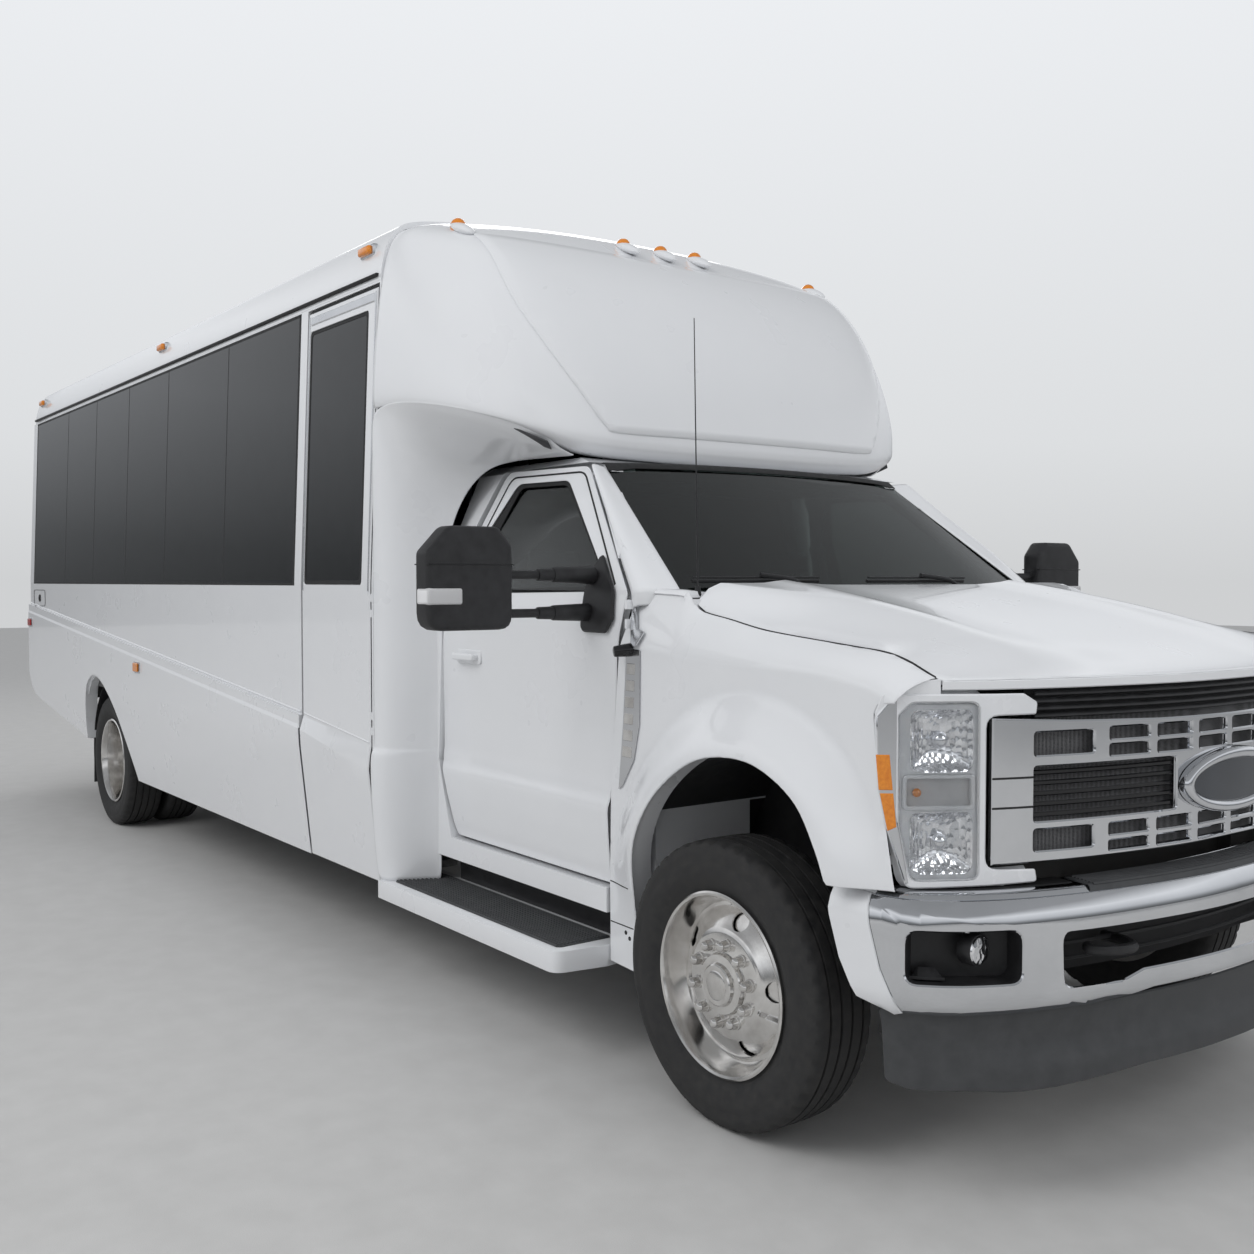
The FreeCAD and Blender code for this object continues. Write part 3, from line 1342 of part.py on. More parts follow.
def make_nose():
    """Radiator support, bowed grille and the headlamps that follow the same bow."""
    support = new_body("radiator_support")
    front = ahead(S.support_front)
    lamp_inner = S.grille_half + S.panel_gap
    half = lamp_inner - S.seat_gap
    pad(support, "YZ", front - S.support_wall, front,
        rectangle(-half, half, S.frame_low, S.grille_high - S.support_top),
        rectangle(-S.grille_half + S.support_rim, S.grille_half - S.support_rim, S.frame_high,
                  S.grille_high - S.support_header))
    pocket(support, "YZ", rectangle(-S.frame_half - S.seat_gap, S.frame_half + S.seat_gap,
                                    S.frame_low - S.panel_gap, S.frame_high + S.seat_gap))
    near, far = S.grille_half - S.standoff_inset - S.standoff, S.grille_half - S.standoff_inset
    back = S.grille_depth + S.seat_gap
    for side in (-1, 1):
        block(support, (ahead(S.frame_front) - S.support_leg, front),
              outward(side, S.frame_half + S.seat_gap, S.frame_half + S.support_wall),
              (S.frame_low, S.frame_high))
        plan = [(front, near), (nose_x(near) - back, near), (nose_x(far) - back, far), (front, far)]
        for low in (S.grille_low + S.standoff_low, S.grille_high - S.standoff_high):
            pad(support, "XY", low, low + S.standoff, [(x, side * y) for x, y in plan])
    keep(support, "radiator_support")
    grille = new_body("grille")
    pad(grille, "XY", S.grille_low, S.grille_high, nose_strip(S.grille_half, 0, S.grille_depth))
    slot_end = S.grille_half - S.slot_margin
    for row_low, row_high, slot_start in GRILLE_SLOTS:
        for side in (-1, 1):
            slot = rectangle(size(slot_start), slot_end, S.grille_low + row_low,
                             S.grille_low + row_high, S.slot_round)
            pocket(grille, "YZ", mirrored(slot, side))
    pad(grille, "XY", S.grille_high, S.lamp_high,
        nose_strip(S.grille_half - S.lamp_arm, S.louvre_set, S.grille_depth / 2))
    keep(grille, "grille")
    lamps = new_body("headlamps")
    lamps.AllowCompound = True
    low, high = S.lamp_low + S.panel_gap, S.lamp_high
    outer = S.cab_half + S.arch_flare / 2
    edge_high, edge_low = ahead(S.lamp_edge_high), ahead(S.lamp_edge_low)
    for side in (-1, 1):
        plan = [(front - S.support_wall, lamp_inner), *nose_line(lamp_inner, outer),
                (edge_high, outer), (edge_high, outer - S.lamp_depth_side)]
        pad(lamps, "XY", low, high, [(x, side * y) for x, y in plan])
        arm_start, arm_end = lamp_inner - S.lamp_arm, lamp_inner + S.panel_gap
        plan = [(front + S.seat_gap, arm_start), *nose_line(arm_start, arm_end),
                (front + S.seat_gap, arm_end)]
        for arm_low, arm_high in ((low, S.grille_low - S.panel_gap),
                                  (S.grille_high + S.panel_gap, high)):
            pad(lamps, "XY", arm_low, arm_high, [(x, side * y) for x, y in plan])
    trim(lamps, "XZ", [(edge_high, high), (edge_low, low), (ahead(S.front_reach), low),
                       (ahead(S.front_reach), high)])
    keep(lamps, "headlamps")


def bumper_plan(front, rear, half, wall):
    """Plan of a bumper that sweeps back round both corners."""
    rows = [(size(0), size(0)), *((half * share, size(setback)) for share, setback in BUMPER)]
    outer = [(front - setback, y) for y, setback in rows] + [(rear, half)]
    slim = (half.value - wall.value) / half.value
    inner = [(x - wall, y * slim) for x, y in outer[:-1]] + [(rear, half - wall)]
    outer = [(x, -y) for x, y in reversed(outer[1:])] + outer
    inner = [(x, -y) for x, y in reversed(inner[1:])] + inner
    return outer + list(reversed(inner))


def make_bumpers():
    """Front bumper and the valance under it, rear bumper and the hitch receiver."""
    bumper = new_body("front_bumper")
    front = ahead(S.front_reach)
    pad(bumper, "XY", S.bumper_low, S.bumper_high,
        bumper_plan(front, ahead(S.bumper_rear), S.bumper_half, S.bumper_wall))
    pocket(bumper, "YZ", rectangle(-S.intake_half, S.intake_half, S.intake_low, S.intake_high,
                                   S.fog_round),
           low=front - S.intake_reach, high=front + S.panel_gap)
    fog = rectangle(S.fog_inner, S.fog_inner + S.fog_length, S.fog_low,
                    S.fog_low + S.fog_height, S.fog_round)
    for side in (-1, 1):
        pocket(bumper, "YZ", mirrored(fog, side), low=front - S.fog_reach, high=front)
    for side in (-1, 1):
        block(bumper, (ahead(S.frame_front) + S.seat_gap, front - S.bumper_wall),
              outward(side, S.frame_half - S.rail_wall, S.frame_half),
              (S.frame_low, S.frame_high - S.rail_wall))
    keep(bumper, "front_bumper")
    valance = new_body("front_valance")
    pad(valance, "XY", S.valance_low, S.bumper_low - S.seat_gap,
        bumper_plan(front - S.valance_set, ahead(S.bumper_rear) + S.valance_inset,
                    S.bumper_half - S.valance_inset, S.bumper_wall))
    keep(valance, "front_valance")
    rear = new_body("rear_bumper")
    back = REAR_AXLE - S.rear_reach
    coach_back = ahead(S.coach_rear)
    block(rear, (back, coach_back - S.seat_gap), (-S.rear_bumper_half, S.rear_bumper_half),
          (S.rear_bumper_low, S.rear_bumper_high))
    for side in (-1, 1):
        block(rear, (coach_back - S.seat_gap, ahead(S.frame_rear) - S.seat_gap),
              outward(side, S.frame_half - S.rail_wall, S.frame_half),
              (S.rear_bumper_low, S.frame_high - S.rail_wall))
    rear.AllowCompound = True
    outer, inner = S.receiver_half, S.receiver_bore_half
    middle = S.frame_low - S.seat_gap - outer
    pad(rear, "YZ", back, back + S.receiver_length,
        rectangle(-outer, outer, middle - outer, middle + outer),
        rectangle(-inner, inner, middle - inner, middle + inner))
    half = S.frame_half
    block(rear, (ahead(S.frame_rear), ahead(S.frame_rear) + S.cross_width),
          (outer, half), (middle - outer, middle + outer))
    block(rear, (ahead(S.frame_rear), ahead(S.frame_rear) + S.cross_width),
          (-half, -outer), (middle - outer, middle + outer))
    bore(rear, "XZ", back + S.hitch_pin_set, middle, S.hitch_pin_radius)
    keep(rear, "rear_bumper")


def make_boards():
    """Running boards under the cab doors."""
    body = new_body("running_boards")
    body.AllowCompound = True
    board_inner = S.cab_half - S.board_lap
    for side in (-1, 1):
        block(body, (ahead(S.coach_front) + S.panel_gap, ahead(S.board_front)),
              outward(side, board_inner, S.coach_half),
              (S.board_low, S.board_low + S.board_wall))
        block(body, (ahead(S.cab_rear), ahead(S.board_front) - 100),
              outward(side, board_inner - S.board_arm, board_inner),
              (S.board_low, S.cab_low - S.seat_gap))
    keep(body, "running_boards")


def cap_plan(half, side_x, front_x, corner_half):
    """Plan outline of the nose cap at one height."""
    outer = [(ahead(S.coach_front) + S.seat_gap, half), (side_x, half - S.fender_tuck),
             ((side_x + front_x * 2) / 3, (half * 2 + corner_half * 3) / 5),
             (front_x, corner_half)]
    return outer + [(x, -y) for x, y in reversed(outer)]


def make_cap():
    """Nose cap over the cab: raked shell with a lip, and the bulkheads down its sides."""
    body = new_body("nose_cap")
    wall = S.cap_wall
    shell, room = [], []
    for share, inset, side_reach, setback, corner_inset in CAP:
        z = S.cap_low + (S.roof_z - S.cap_low) * share
        half, corner = S.coach_half - inset, S.coach_half - corner_inset
        side_x, front_x = ahead(S.coach_front) + side_reach, ahead(S.cap_front) - setback
        shell.append((z, cap_plan(half, side_x, front_x, corner)))
        hollow = cap_plan(half - wall, side_x, front_x - wall * 1.5, corner - wall)
        rear_cut = ahead(S.coach_front) - wall
        room.append((z - wall, [(rear_cut, half - wall), *hollow[1:-1], (rear_cut, wall - half)]))
    loft(body, "XY", shell)
    loft(body, "XY", room, cut=True)
    low = S.board_low + S.board_wall + S.seat_gap
    cab = ahead(S.cab_rear) - S.seat_gap
    for side in (-1, 1):
        outer = [(ahead(S.coach_front) + S.seat_gap + along, S.coach_half - inset)
                 for along, inset in CHEEK]
        plan = outer + [(cab, S.cab_half), (cab, S.cab_half - wall),
                        (outer[2][0], outer[3][1] - wall), (outer[0][0], S.coach_half - wall)]
        pad(body, "XY", low, S.cap_low + wall, [(x, side * y) for x, y in plan])
    keep(body, "nose_cap")


def make_interior():
    """Dashboard, front seats and the passenger seats."""
    dash = new_body("dashboard")
    face = ahead(S.firewall) - S.cab_wall - S.seat_gap
    low, high = S.tunnel_z + S.dash_low, S.belt_z - S.dash_high
    dash_view = [(face, low), (face, high), (face - S.dash_depth, high - S.panel_gap),
                 (face - S.dash_depth * 1.1, S.belt_z - S.dash_face),
                 (face - S.dash_depth * 0.6, low)]
    half = SCREEN_BASE_HALF - S.cab_wall
    pad(dash, "XZ", -half, half, dash_view)
    keep(dash, "dashboard")
    seats = new_body("seats")
    seats.AllowCompound = True
    for side in (-1, 1):
        add_seat(seats, ahead(S.cab_seat_rear), side * S.cab_seat_y, S.tunnel_z + S.seat_gap,
                 S.tunnel_z + S.cab_seat_height, S.cab_seat_back)
    floor = S.deck_low + S.deck_wall + S.seat_gap
    for row in range(int(S.seat_rows.value)):
        back = ahead(S.window_front) - S.seat_pitch * (row + 1)
        for side in (-1, 1):
            for place in (0.5, 1.5):
                y = side * (S.coach_half - S.wall * 2 - S.seat_width * place)
                add_seat(seats, back, y, floor, floor + S.seat_height, S.seat_back)
    keep(seats, "seats")


def add_seat(body, back, middle, floor, top, rise):
    """Pedestal, cushion and backrest; `back` is the X of the backrest's rear."""
    wall = S.cushion_wall
    outline = [
        (back, top - wall),
        (back - S.seat_lean, top + rise),
        (back + S.seat_lean / 2, top + rise),
        (back + wall, top),
        (back + S.seat_depth, top + S.seat_tip),
        (back + S.seat_depth, top - wall + S.seat_tip),
        (back + S.seat_depth - wall, top - wall),
        (back + S.seat_depth - wall, floor),
        (back + S.seat_lean, floor),
        (back + S.seat_lean, top - wall),
    ]
    half = S.seat_width / 2 - S.panel_gap
    pad(body, "XZ", middle - half, middle + half, outline)


def hinge(fixed, moving, plane, start, centre, radius, fixed_leaf, moving_leaf):
    """Three barrels end to end: the middle one moves with its panel, the outer two stay."""
    across, up = centre
    stops = [size(start) + S.barrel_length * count for count in range(4)]
    for name, leaf, low, high in (
        (fixed, fixed_leaf, stops[0], stops[1] - S.seat_gap),
        (moving, moving_leaf, stops[1], stops[2]),
        (fixed, fixed_leaf, stops[2] + S.seat_gap, stops[3]),
    ):
        body = document.getObject(name)
        disc(body, plane, low, high, across, up, radius)
        ends = leaf(across, up, radius)
        pad(body, plane, low, high, rectangle(*ends))


def make_hinges():
    """Hinges of the doors, in the gap beside each door, and of the hood."""
    half_gap = S.panel_gap / 2
    thin = half_gap - S.seat_gap
    x, y = ahead(S.entry_front) + half_gap, -S.coach_half
    for start in (S.entry_hinge_low, S.entry_hinge_high):
        hinge("side_wall_right", "passenger_door", "XY", start, (x, y), thin,
              lambda a, u, r: (a, a + half_gap + S.leaf_reach, u, u + r),
              lambda a, u, r: (a - half_gap - S.leaf_reach, a, u, u + r))
    x, y = ahead(S.coach_rear), S.rear_door_half - half_gap
    for start in (S.rear_hinge_low, S.rear_hinge_high):
        hinge("rear_wall", "rear_door", "XY", start, (x, y), thin,
              lambda a, u, r: (a, a + r, u, u + half_gap + S.leaf_reach),
              lambda a, u, r: (a, a + r, u - half_gap - S.leaf_reach, u))
    x = ahead(S.door_hinge) + S.cab_hinge_set
    lap = S.leaf_reach * 2 + S.cab_hinge_set
    for name, side in SIDES:
        leaf_y = outward(side, COWL_HALF - S.leaf_reach, S.cab_half)
        door_y = outward(side, S.cab_half - S.cab_hinge_radius, S.cab_half)
        hinge("cab_shell", "cab_door_" + name, "XY", S.belt_z - S.cab_hinge_drop, (x, side * S.cab_half),
              S.cab_hinge_radius,
              lambda a, u, r: (a - r, a + r, *leaf_y),
              lambda a, u, r: (a - lap, a, *door_y))
    x, z = (ahead(S.hood_rear) + ahead(S.cowl_front)) / 2, S.belt_z - S.hood_hinge_drop
    hinge_y = HOOD_HALF - S.hood_hinge_inset
    for side in (-1, 1):
        low, high = outward(side, hinge_y, hinge_y + S.barrel_length * 3)
        hinge("cab_shell", "hood", "XZ", low, (x, z), S.hood_hinge_radius,
              lambda a, u, r: (a - r - S.leaf_reach, a, u - r, u),
              lambda a, u, r: (a, a + r + S.leaf_reach, u - r, u))


def make_lamps():
    """Tail lamps and roof markers."""
    tails = new_body("tail_lamps")
    tails.AllowCompound = True
    back = ahead(S.coach_rear)
    for side in (-1, 1):
        for height in TAIL_LAMPS:
            disc(tails, "YZ", back - S.lamp_depth, back - S.seat_gap,
                 side * (S.coach_half - S.lamp_inset), size(height), S.lamp_radius)
    keep(tails, "tail_lamps")
    markers = new_body("marker_lamps")
    markers.AllowCompound = True
    y = S.coach_half - S.eave_inset + 10
    middle = S.eave_z - S.marker_half - S.seat_gap * 10
    for station in MARKERS:
        for side in (-1, 1):
            block(markers, (ahead(station) - S.marker_length / 2,
                            ahead(station) + S.marker_length / 2),
                  outward(side, y + S.seat_gap, y + S.marker_rise),
                  (middle - S.marker_half, middle + S.marker_half))
    keep(markers, "marker_lamps")


def check_and_write():
    """Stop on any failed object, then write one file for each sub-part."""
    document.recompute()
    for item in document.Objects:
        failed = [word for word in item.State if word in ("Invalid", "Error")]
        if failed:
            raise RuntimeError("%s is %s" % (item.Label, failed))
    os.makedirs("parts", exist_ok=True)
    for item in parts:
        shape = item.Shape
        if shape.isNull() or not shape.isValid() or not shape.Solids:
            raise RuntimeError("%s has no valid solid" % item.Label)
        box = shape.BoundBox
        print("%-22s %2d solids %9.2f litres  x %8.1f %8.1f  y %8.1f %8.1f  z %7.1f %7.1f" % (
            item.Label, len(shape.Solids), shape.Volume / 1e6, box.XMin, box.XMax, box.YMin,
            box.YMax, box.ZMin, box.ZMax))
        shape.exportStep(os.path.join("parts", item.Label + ".step"))


make_frame()
make_engine()
make_front_axle()
make_rear_axle()
make_driveshaft()
make_tank()
make_front_wheels()
make_rear_wheels()
make_knuckles()
make_side_walls()
make_side_windows()
make_roof()
make_rear_wall()
make_rear_door()
make_deck()
make_steps()
make_entry_door()
make_cab()
make_cab_doors()
make_windscreen()
make_hood()
make_fenders()
make_nose()
make_bumpers()
make_boards()
make_cap()
make_interior()
make_lamps()
make_hinges()
check_and_write()
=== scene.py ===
import math

import bmesh
import bpy
from mathutils import Matrix, Vector
from mathutils.bvhtree import BVHTree


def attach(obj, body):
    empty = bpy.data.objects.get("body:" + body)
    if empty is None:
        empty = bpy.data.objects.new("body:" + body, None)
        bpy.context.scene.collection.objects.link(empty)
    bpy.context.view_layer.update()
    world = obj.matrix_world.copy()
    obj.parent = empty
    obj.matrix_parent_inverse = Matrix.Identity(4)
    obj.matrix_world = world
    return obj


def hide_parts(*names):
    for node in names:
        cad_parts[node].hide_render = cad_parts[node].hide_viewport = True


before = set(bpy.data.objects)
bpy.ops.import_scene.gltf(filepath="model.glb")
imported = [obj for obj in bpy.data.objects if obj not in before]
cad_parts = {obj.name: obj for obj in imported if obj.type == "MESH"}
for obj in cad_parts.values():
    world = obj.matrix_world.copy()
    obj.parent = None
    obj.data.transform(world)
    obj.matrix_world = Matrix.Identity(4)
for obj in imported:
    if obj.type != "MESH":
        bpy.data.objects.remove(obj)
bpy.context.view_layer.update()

# Shuttle minibus: a truck cab with a coach body. Metres; X ahead, Y to its left, Z up.
# Stations are metres from the front axle, as in the drawing of the frame.
scene = bpy.context.scene
AXLE = 3.415
REAR_AXLE = -2.355
WHEEL_Z = 0.406
SIDES = (("right", -1), ("left", 1))
PAINT_WALL = 0.004
MERGE = 1e-5


def at(station):
    return AXLE + station


# ---- materials


def new_material(name, **values):
    """A material, its nodes and links, and its shader with the values given."""
    material = bpy.data.materials.new(name)
    material.use_nodes = True
    nodes = material.node_tree.nodes
    shader = nodes["Principled BSDF"]
    for label, value in values.items():
        shader.inputs[label.replace("_", " ")].default_value = value
    return material, nodes, material.node_tree.links, shader


def texture(nodes, links, kind, scale, **values):
    """A texture in Object coordinates; scale is one number or three."""
    place = nodes.new("ShaderNodeTexCoord")
    turn = nodes.new("ShaderNodeMapping")
    links.new(place.outputs["Object"], turn.inputs["Vector"])
    turn.inputs["Scale"].default_value = scale if isinstance(scale, tuple) else (scale,) * 3
    pattern = nodes.new("ShaderNodeTex" + kind)
    links.new(turn.outputs["Vector"], pattern.inputs["Vector"])
    for name, value in values.items():
        pattern.inputs[name].default_value = value
    return pattern


def ramp(nodes, links, source, target, *stops):
    """Colour one socket by another; the stops are (place, colour or grey level)."""
    band = nodes.new("ShaderNodeValToRGB")
    while len(band.color_ramp.elements) < len(stops):
        band.color_ramp.elements.new(0.5)
    for element, (place, colour) in zip(band.color_ramp.elements, stops):
        element.position = place
        element.color = (*(colour if isinstance(colour, tuple) else (colour,) * 3), 1.0)
    links.new(source, band.inputs["Fac"])
    links.new(band.outputs["Color"], target)


def bump(nodes, links, height, shader, strength, distance):
    node = nodes.new("ShaderNodeBump")
    node.inputs["Strength"].default_value = strength
    node.inputs["Distance"].default_value = distance
    links.new(height, node.inputs["Height"])
    links.new(node.outputs["Normal"], shader.inputs["Normal"])


def mottled(name, dark, light, scale, rough, grain=None, **values):
    """A finish whose colour and sheen wander a little, with an optional fine grain in relief."""
    material, nodes, links, shader = new_material(name, **values)
    clouds = texture(nodes, links, "Noise", scale, Detail=3.0, Roughness=0.55).outputs["Fac"]
    ramp(nodes, links, clouds, shader.inputs["Base Color"], (0.3, dark), (0.7, light))
    ramp(nodes, links, clouds, shader.inputs["Roughness"], (0.3, rough[0]), (0.7, rough[1]))
    if grain:
        size, strength, depth = grain
        fine = texture(nodes, links, "Noise", size, Detail=2.0, Roughness=0.6)
        bump(nodes, links, fine.outputs["Fac"], shader, strength, depth)
    return material


def polished(name, dark, light, rough, streak):
    """Bright metal with faint streaks."""
    material, nodes, links, shader = new_material(name, Metallic=1.0)
    drawn = texture(nodes, links, "Noise", streak, Detail=4.0, Roughness=0.6).outputs["Fac"]
    ramp(nodes, links, drawn, shader.inputs["Base Color"], (0.3, dark), (0.72, light))
    ramp(nodes, links, drawn, shader.inputs["Roughness"], (0.3, rough[1]), (0.7, rough[0]))
    return material


def glass(name, tint, rough=0.02, dust=0.04, through=1.0, level=0.5):
    """Tinted glass with a trace of dust."""
    material, nodes, links, shader = new_material(name, Transmission_Weight=through, IOR=1.5,
                                                  Specular_IOR_Level=level)
    film = texture(nodes, links, "Noise", 2.3, Detail=3.0, Roughness=0.6).outputs["Fac"]
    ramp(nodes, links, film, shader.inputs["Base Color"], (0.3, tint),
         (0.8, tuple(c * 1.12 + 0.004 for c in tint)))
    ramp(nodes, links, film, shader.inputs["Roughness"], (0.35, rough), (0.85, rough + dust))
    return material


def ribbed(name, tint, scale, axis, depth, **values):
    """A moulded finish with fine even ribs along one axis."""
    material, nodes, links, shader = new_material(name, **values)
    ribs = texture(nodes, links, "Wave", scale, Distortion=0.0)
    ribs.bands_direction = axis
    # painted shade: the colour is darker in the ribs' hollows, where the bump is lowest
    ramp(nodes, links, ribs.outputs["Fac"], shader.inputs["Base Color"],
         (0.1, tuple(c * 0.7 for c in tint)), (0.9, tint))
    bump(nodes, links, ribs.outputs["Fac"], shader, 0.6, depth)
    return material


def celled(name, scale, wander, by, dark, light, strength, depth, **values):
    """A pattern of cells in colour and relief; dark and light are the stops of its ramp."""
    material, nodes, links, shader = new_material(name, **values)
    cells = texture(nodes, links, "Voronoi", scale, Randomness=wander)
    ramp(nodes, links, cells.outputs[by], shader.inputs["Base Color"], dark, light)
    bump(nodes, links, cells.outputs["Distance"], shader, strength, depth)
    return material


FINISH = {
    # name: (material, slot of the record)
    "paint": (mottled("white_paint", (0.81, 0.82, 0.84), (0.82, 0.83, 0.847), 0.9, (0.27, 0.30),
                      Coat_Weight=0.8, Coat_Roughness=0.04, Specular_IOR_Level=0.45),
              "body_paint"),
    "coach_glass": (glass("coach_glass", (0.010, 0.011, 0.012), through=0.12, level=0.42),
                    "dark_glass"),
    "cab_glass": (glass("cab_glass", (0.30, 0.335, 0.325)), "windshield_glass"),
    # painted shade: the tint is far darker than real glass, for the dark cab behind it
    "windshield": (glass("windshield_glass", (0.105, 0.135, 0.125), level=0.12),
                   "windshield_glass"),
    "rubber": (mottled("tyre_rubber", (0.018, 0.018, 0.019), (0.040, 0.039, 0.038), 7.0,
                       (0.62, 0.86), grain=(260.0, 0.35, 0.0008)), "tyre_rubber"),
    "steel": (polished("polished_steel", (0.62, 0.60, 0.58), (0.86, 0.85, 0.83), (0.10, 0.20),
                       3.0), "polished_steel"),
    "chrome": (polished("bright_chrome", (0.66, 0.67, 0.69), (0.74, 0.75, 0.77), (0.04, 0.06),
                        0.7), "bright_chrome"),
    "satin": (polished("satin_silver", (0.72, 0.73, 0.75), (0.80, 0.81, 0.83), (0.22, 0.28),
                       1.1), "bright_chrome"),
    "black": (mottled("black_plastic", (0.012, 0.012, 0.013), (0.028, 0.028, 0.030), 5.0,
                      (0.42, 0.60), grain=(300.0, 0.25, 0.0006)), "black_plastic"),
    "seal": (mottled("rubber_seal", (0.010, 0.010, 0.010), (0.020, 0.020, 0.021), 9.0,
                     (0.50, 0.70)), "black_plastic"),
    "gloss_black": (mottled("gloss_black", (0.006, 0.006, 0.007), (0.012, 0.012, 0.013), 3.0,
                            (0.10, 0.18)), "black_plastic"),
    "dark_grey": (mottled("dark_grey_plastic", (0.045, 0.047, 0.050), (0.065, 0.067, 0.070), 4.0,
                          (0.50, 0.62), grain=(240.0, 0.2, 0.0006)), "black_plastic"),
    "tread": (ribbed("step_tread", (0.045, 0.046, 0.048), 26.0, "Y", 0.004, Roughness=0.6),
              "black_plastic"),
    # honeycomb behind the small grille slots
    # painted shade: the cells' middles, the openings, are near black for the dark space behind
    "grid": (celled("grille_mesh", 60.0, 0.15, "Distance", (0.25, 0.006),
                    (0.45, (0.16, 0.16, 0.165)), 0.8, 0.004, Roughness=0.45), "black_plastic"),
    "frame_black": (mottled("chassis_black", (0.014, 0.014, 0.014), (0.032, 0.030, 0.028), 6.0,
                            (0.55, 0.75), grain=(90.0, 0.3, 0.001)), "chassis_steel"),
    "cast": (mottled("cast_iron", (0.035, 0.034, 0.033), (0.075, 0.072, 0.068), 9.0,
                     (0.60, 0.85), grain=(120.0, 0.5, 0.0015)), "cast_parts"),
    # silvered, with pressed facets
    "reflector": (celled("lamp_reflector", (15.0, 15.0, 9.0), 0.6, "Color",
                         (0.1, (0.62, 0.63, 0.65)), (0.8, (0.93, 0.93, 0.95)), 0.4, 0.007,
                         Metallic=1.0, Roughness=0.12), "lamp_clear"),
    "bezel": (mottled("lamp_bezel", (0.80, 0.81, 0.83), (0.86, 0.87, 0.89), 3.0, (0.20, 0.30)),
              "lamp_clear"),
    "oval": (mottled("bare_oval", (0.020, 0.024, 0.032), (0.030, 0.036, 0.046), 2.0,
                     (0.12, 0.18), Coat_Weight=0.6), "black_plastic"),
    "lamp_white": (mottled("lamp_surround", (0.76, 0.77, 0.79), (0.82, 0.83, 0.85), 2.0,
                           (0.22, 0.30), Coat_Weight=0.6), "lamp_clear"),
    "lens": (glass("clear_lens", (0.93, 0.94, 0.95), 0.01, 0.02), "lamp_clear"),
    "turn_lens": (ribbed("turn_lens", (0.96, 0.96, 0.97), 90.0, "Y", 0.002, Roughness=0.12),
                  "lamp_clear"),
    "red": (mottled("red_lens", (0.42, 0.010, 0.008), (0.55, 0.016, 0.012), 20.0, (0.08, 0.16),
                    grain=(160.0, 0.4, 0.001), Coat_Weight=0.8), "lamp_red"),
    "amber": (mottled("amber_lens", (0.72, 0.20, 0.012), (0.86, 0.30, 0.02), 24.0, (0.10, 0.2),
                      grain=(180.0, 0.4, 0.001), Coat_Weight=0.8), "lamp_amber"),
    "cloth": (mottled("seat_cloth", (0.055, 0.060, 0.070), (0.10, 0.105, 0.12), 30.0, (0.8, 0.95),
                      grain=(700.0, 0.6, 0.001), Sheen_Weight=0.3), "seat_cloth"),
    "trim": (mottled("grey_trim", (0.055, 0.056, 0.060), (0.085, 0.086, 0.090), 6.0, (0.5, 0.65),
                     grain=(260.0, 0.3, 0.0008)), "trim_grey"),
    "deck": (mottled("deck_panel", (0.08, 0.08, 0.082), (0.15, 0.148, 0.145), 12.0, (0.55, 0.8),
                     grain=(150.0, 0.4, 0.001)), "deck_panel"),
}


# ---- making


def show(name, form, finish, body="chassis", sharp=35.0, stands_for=()):
    """Turn a bmesh, or a list of them, into a finished piece that rides on a body."""
    if isinstance(form, list):
        form = joined(form)
    mesh = bpy.data.meshes.new(name)
    form.to_mesh(mesh)
    form.free()
    mesh.shade_smooth()
    mesh.set_sharp_from_angle(angle=math.radians(sharp))
    piece = bpy.data.objects.new(name, mesh)
    scene.collection.objects.link(piece)
    material, slot = FINISH[finish]
    mesh.materials.append(material)
    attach(piece, body)
    if stands_for:
        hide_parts(*stands_for)
    return piece


def smoother(piece, levels):
    """Subdivision surface over a finished cage."""
    modifier = piece.modifiers.new("smooth", "SUBSURF")
    modifier.levels = modifier.render_levels = levels


def walled(piece, thickness):
    """A wall behind a finished skin."""
    modifier = piece.modifiers.new("wall", "SOLIDIFY")
    modifier.thickness, modifier.offset = thickness, -1


def line_of(form, points, closed=False):
    """A chain of vertices; gives its vertices and edges."""
    chain = [form.verts.new(point) for point in points]
    ends = chain[1:] + chain[:1] if closed else chain[1:]
    return chain, [form.edges.new(pair) for pair in zip(chain, ends)]


def pulled(rows, closed=False):
    """A skin pulled from the first row of points through all the others."""
    form = bmesh.new()
    chain, edges = line_of(form, rows[0], closed)
    for row in rows[1:]:
        made = bmesh.ops.extrude_edge_only(form, edges=edges)["geom"]
        fresh = {item for item in made if isinstance(item, bmesh.types.BMVert)}
        chain = [next(edge.other_vert(vert) for edge in vert.link_edges
                      if edge.other_vert(vert) in fresh) for vert in chain]
        edges = [item for item in made if isinstance(item, bmesh.types.BMEdge)
                 and item.verts[0] in fresh and item.verts[1] in fresh]
        for vert, point in zip(chain, row):
            vert.co = point
    return form


def facing(form, outward):
    """Turn every face so that, on the whole, they face a direction."""
    form.normal_update()
    total = sum((face.normal * face.calc_area() for face in form.faces), Vector())
    if total.dot(Vector(outward)) < 0:
        bmesh.ops.reverse_faces(form, faces=form.faces[:])
    return form


def thick(form, wall):
    """Give a sheet its thickness, inwards from the faces' outer side."""
    form.normal_update()
    bmesh.ops.solidify(form, geom=form.faces[:], thickness=wall)
    form.normal_update()
    return form


def sheet(rows, outward, wall=PAINT_WALL):
    """A skin through rows of points, with its thickness behind the side that faces outward."""
    return thick(facing(pulled(rows), outward), wall)


def merged(form):
    """The form with its doubled vertices made one."""
    bmesh.ops.remove_doubles(form, verts=form.verts[:], dist=MERGE)
    return form


def closed_out(form):
    """The form, which is closed, with its faces turned outwards."""
    bmesh.ops.recalc_face_normals(form, faces=form.faces[:])
    return form


def moved(form, shift):
    bmesh.ops.translate(form, vec=shift, verts=form.verts[:])
    return form


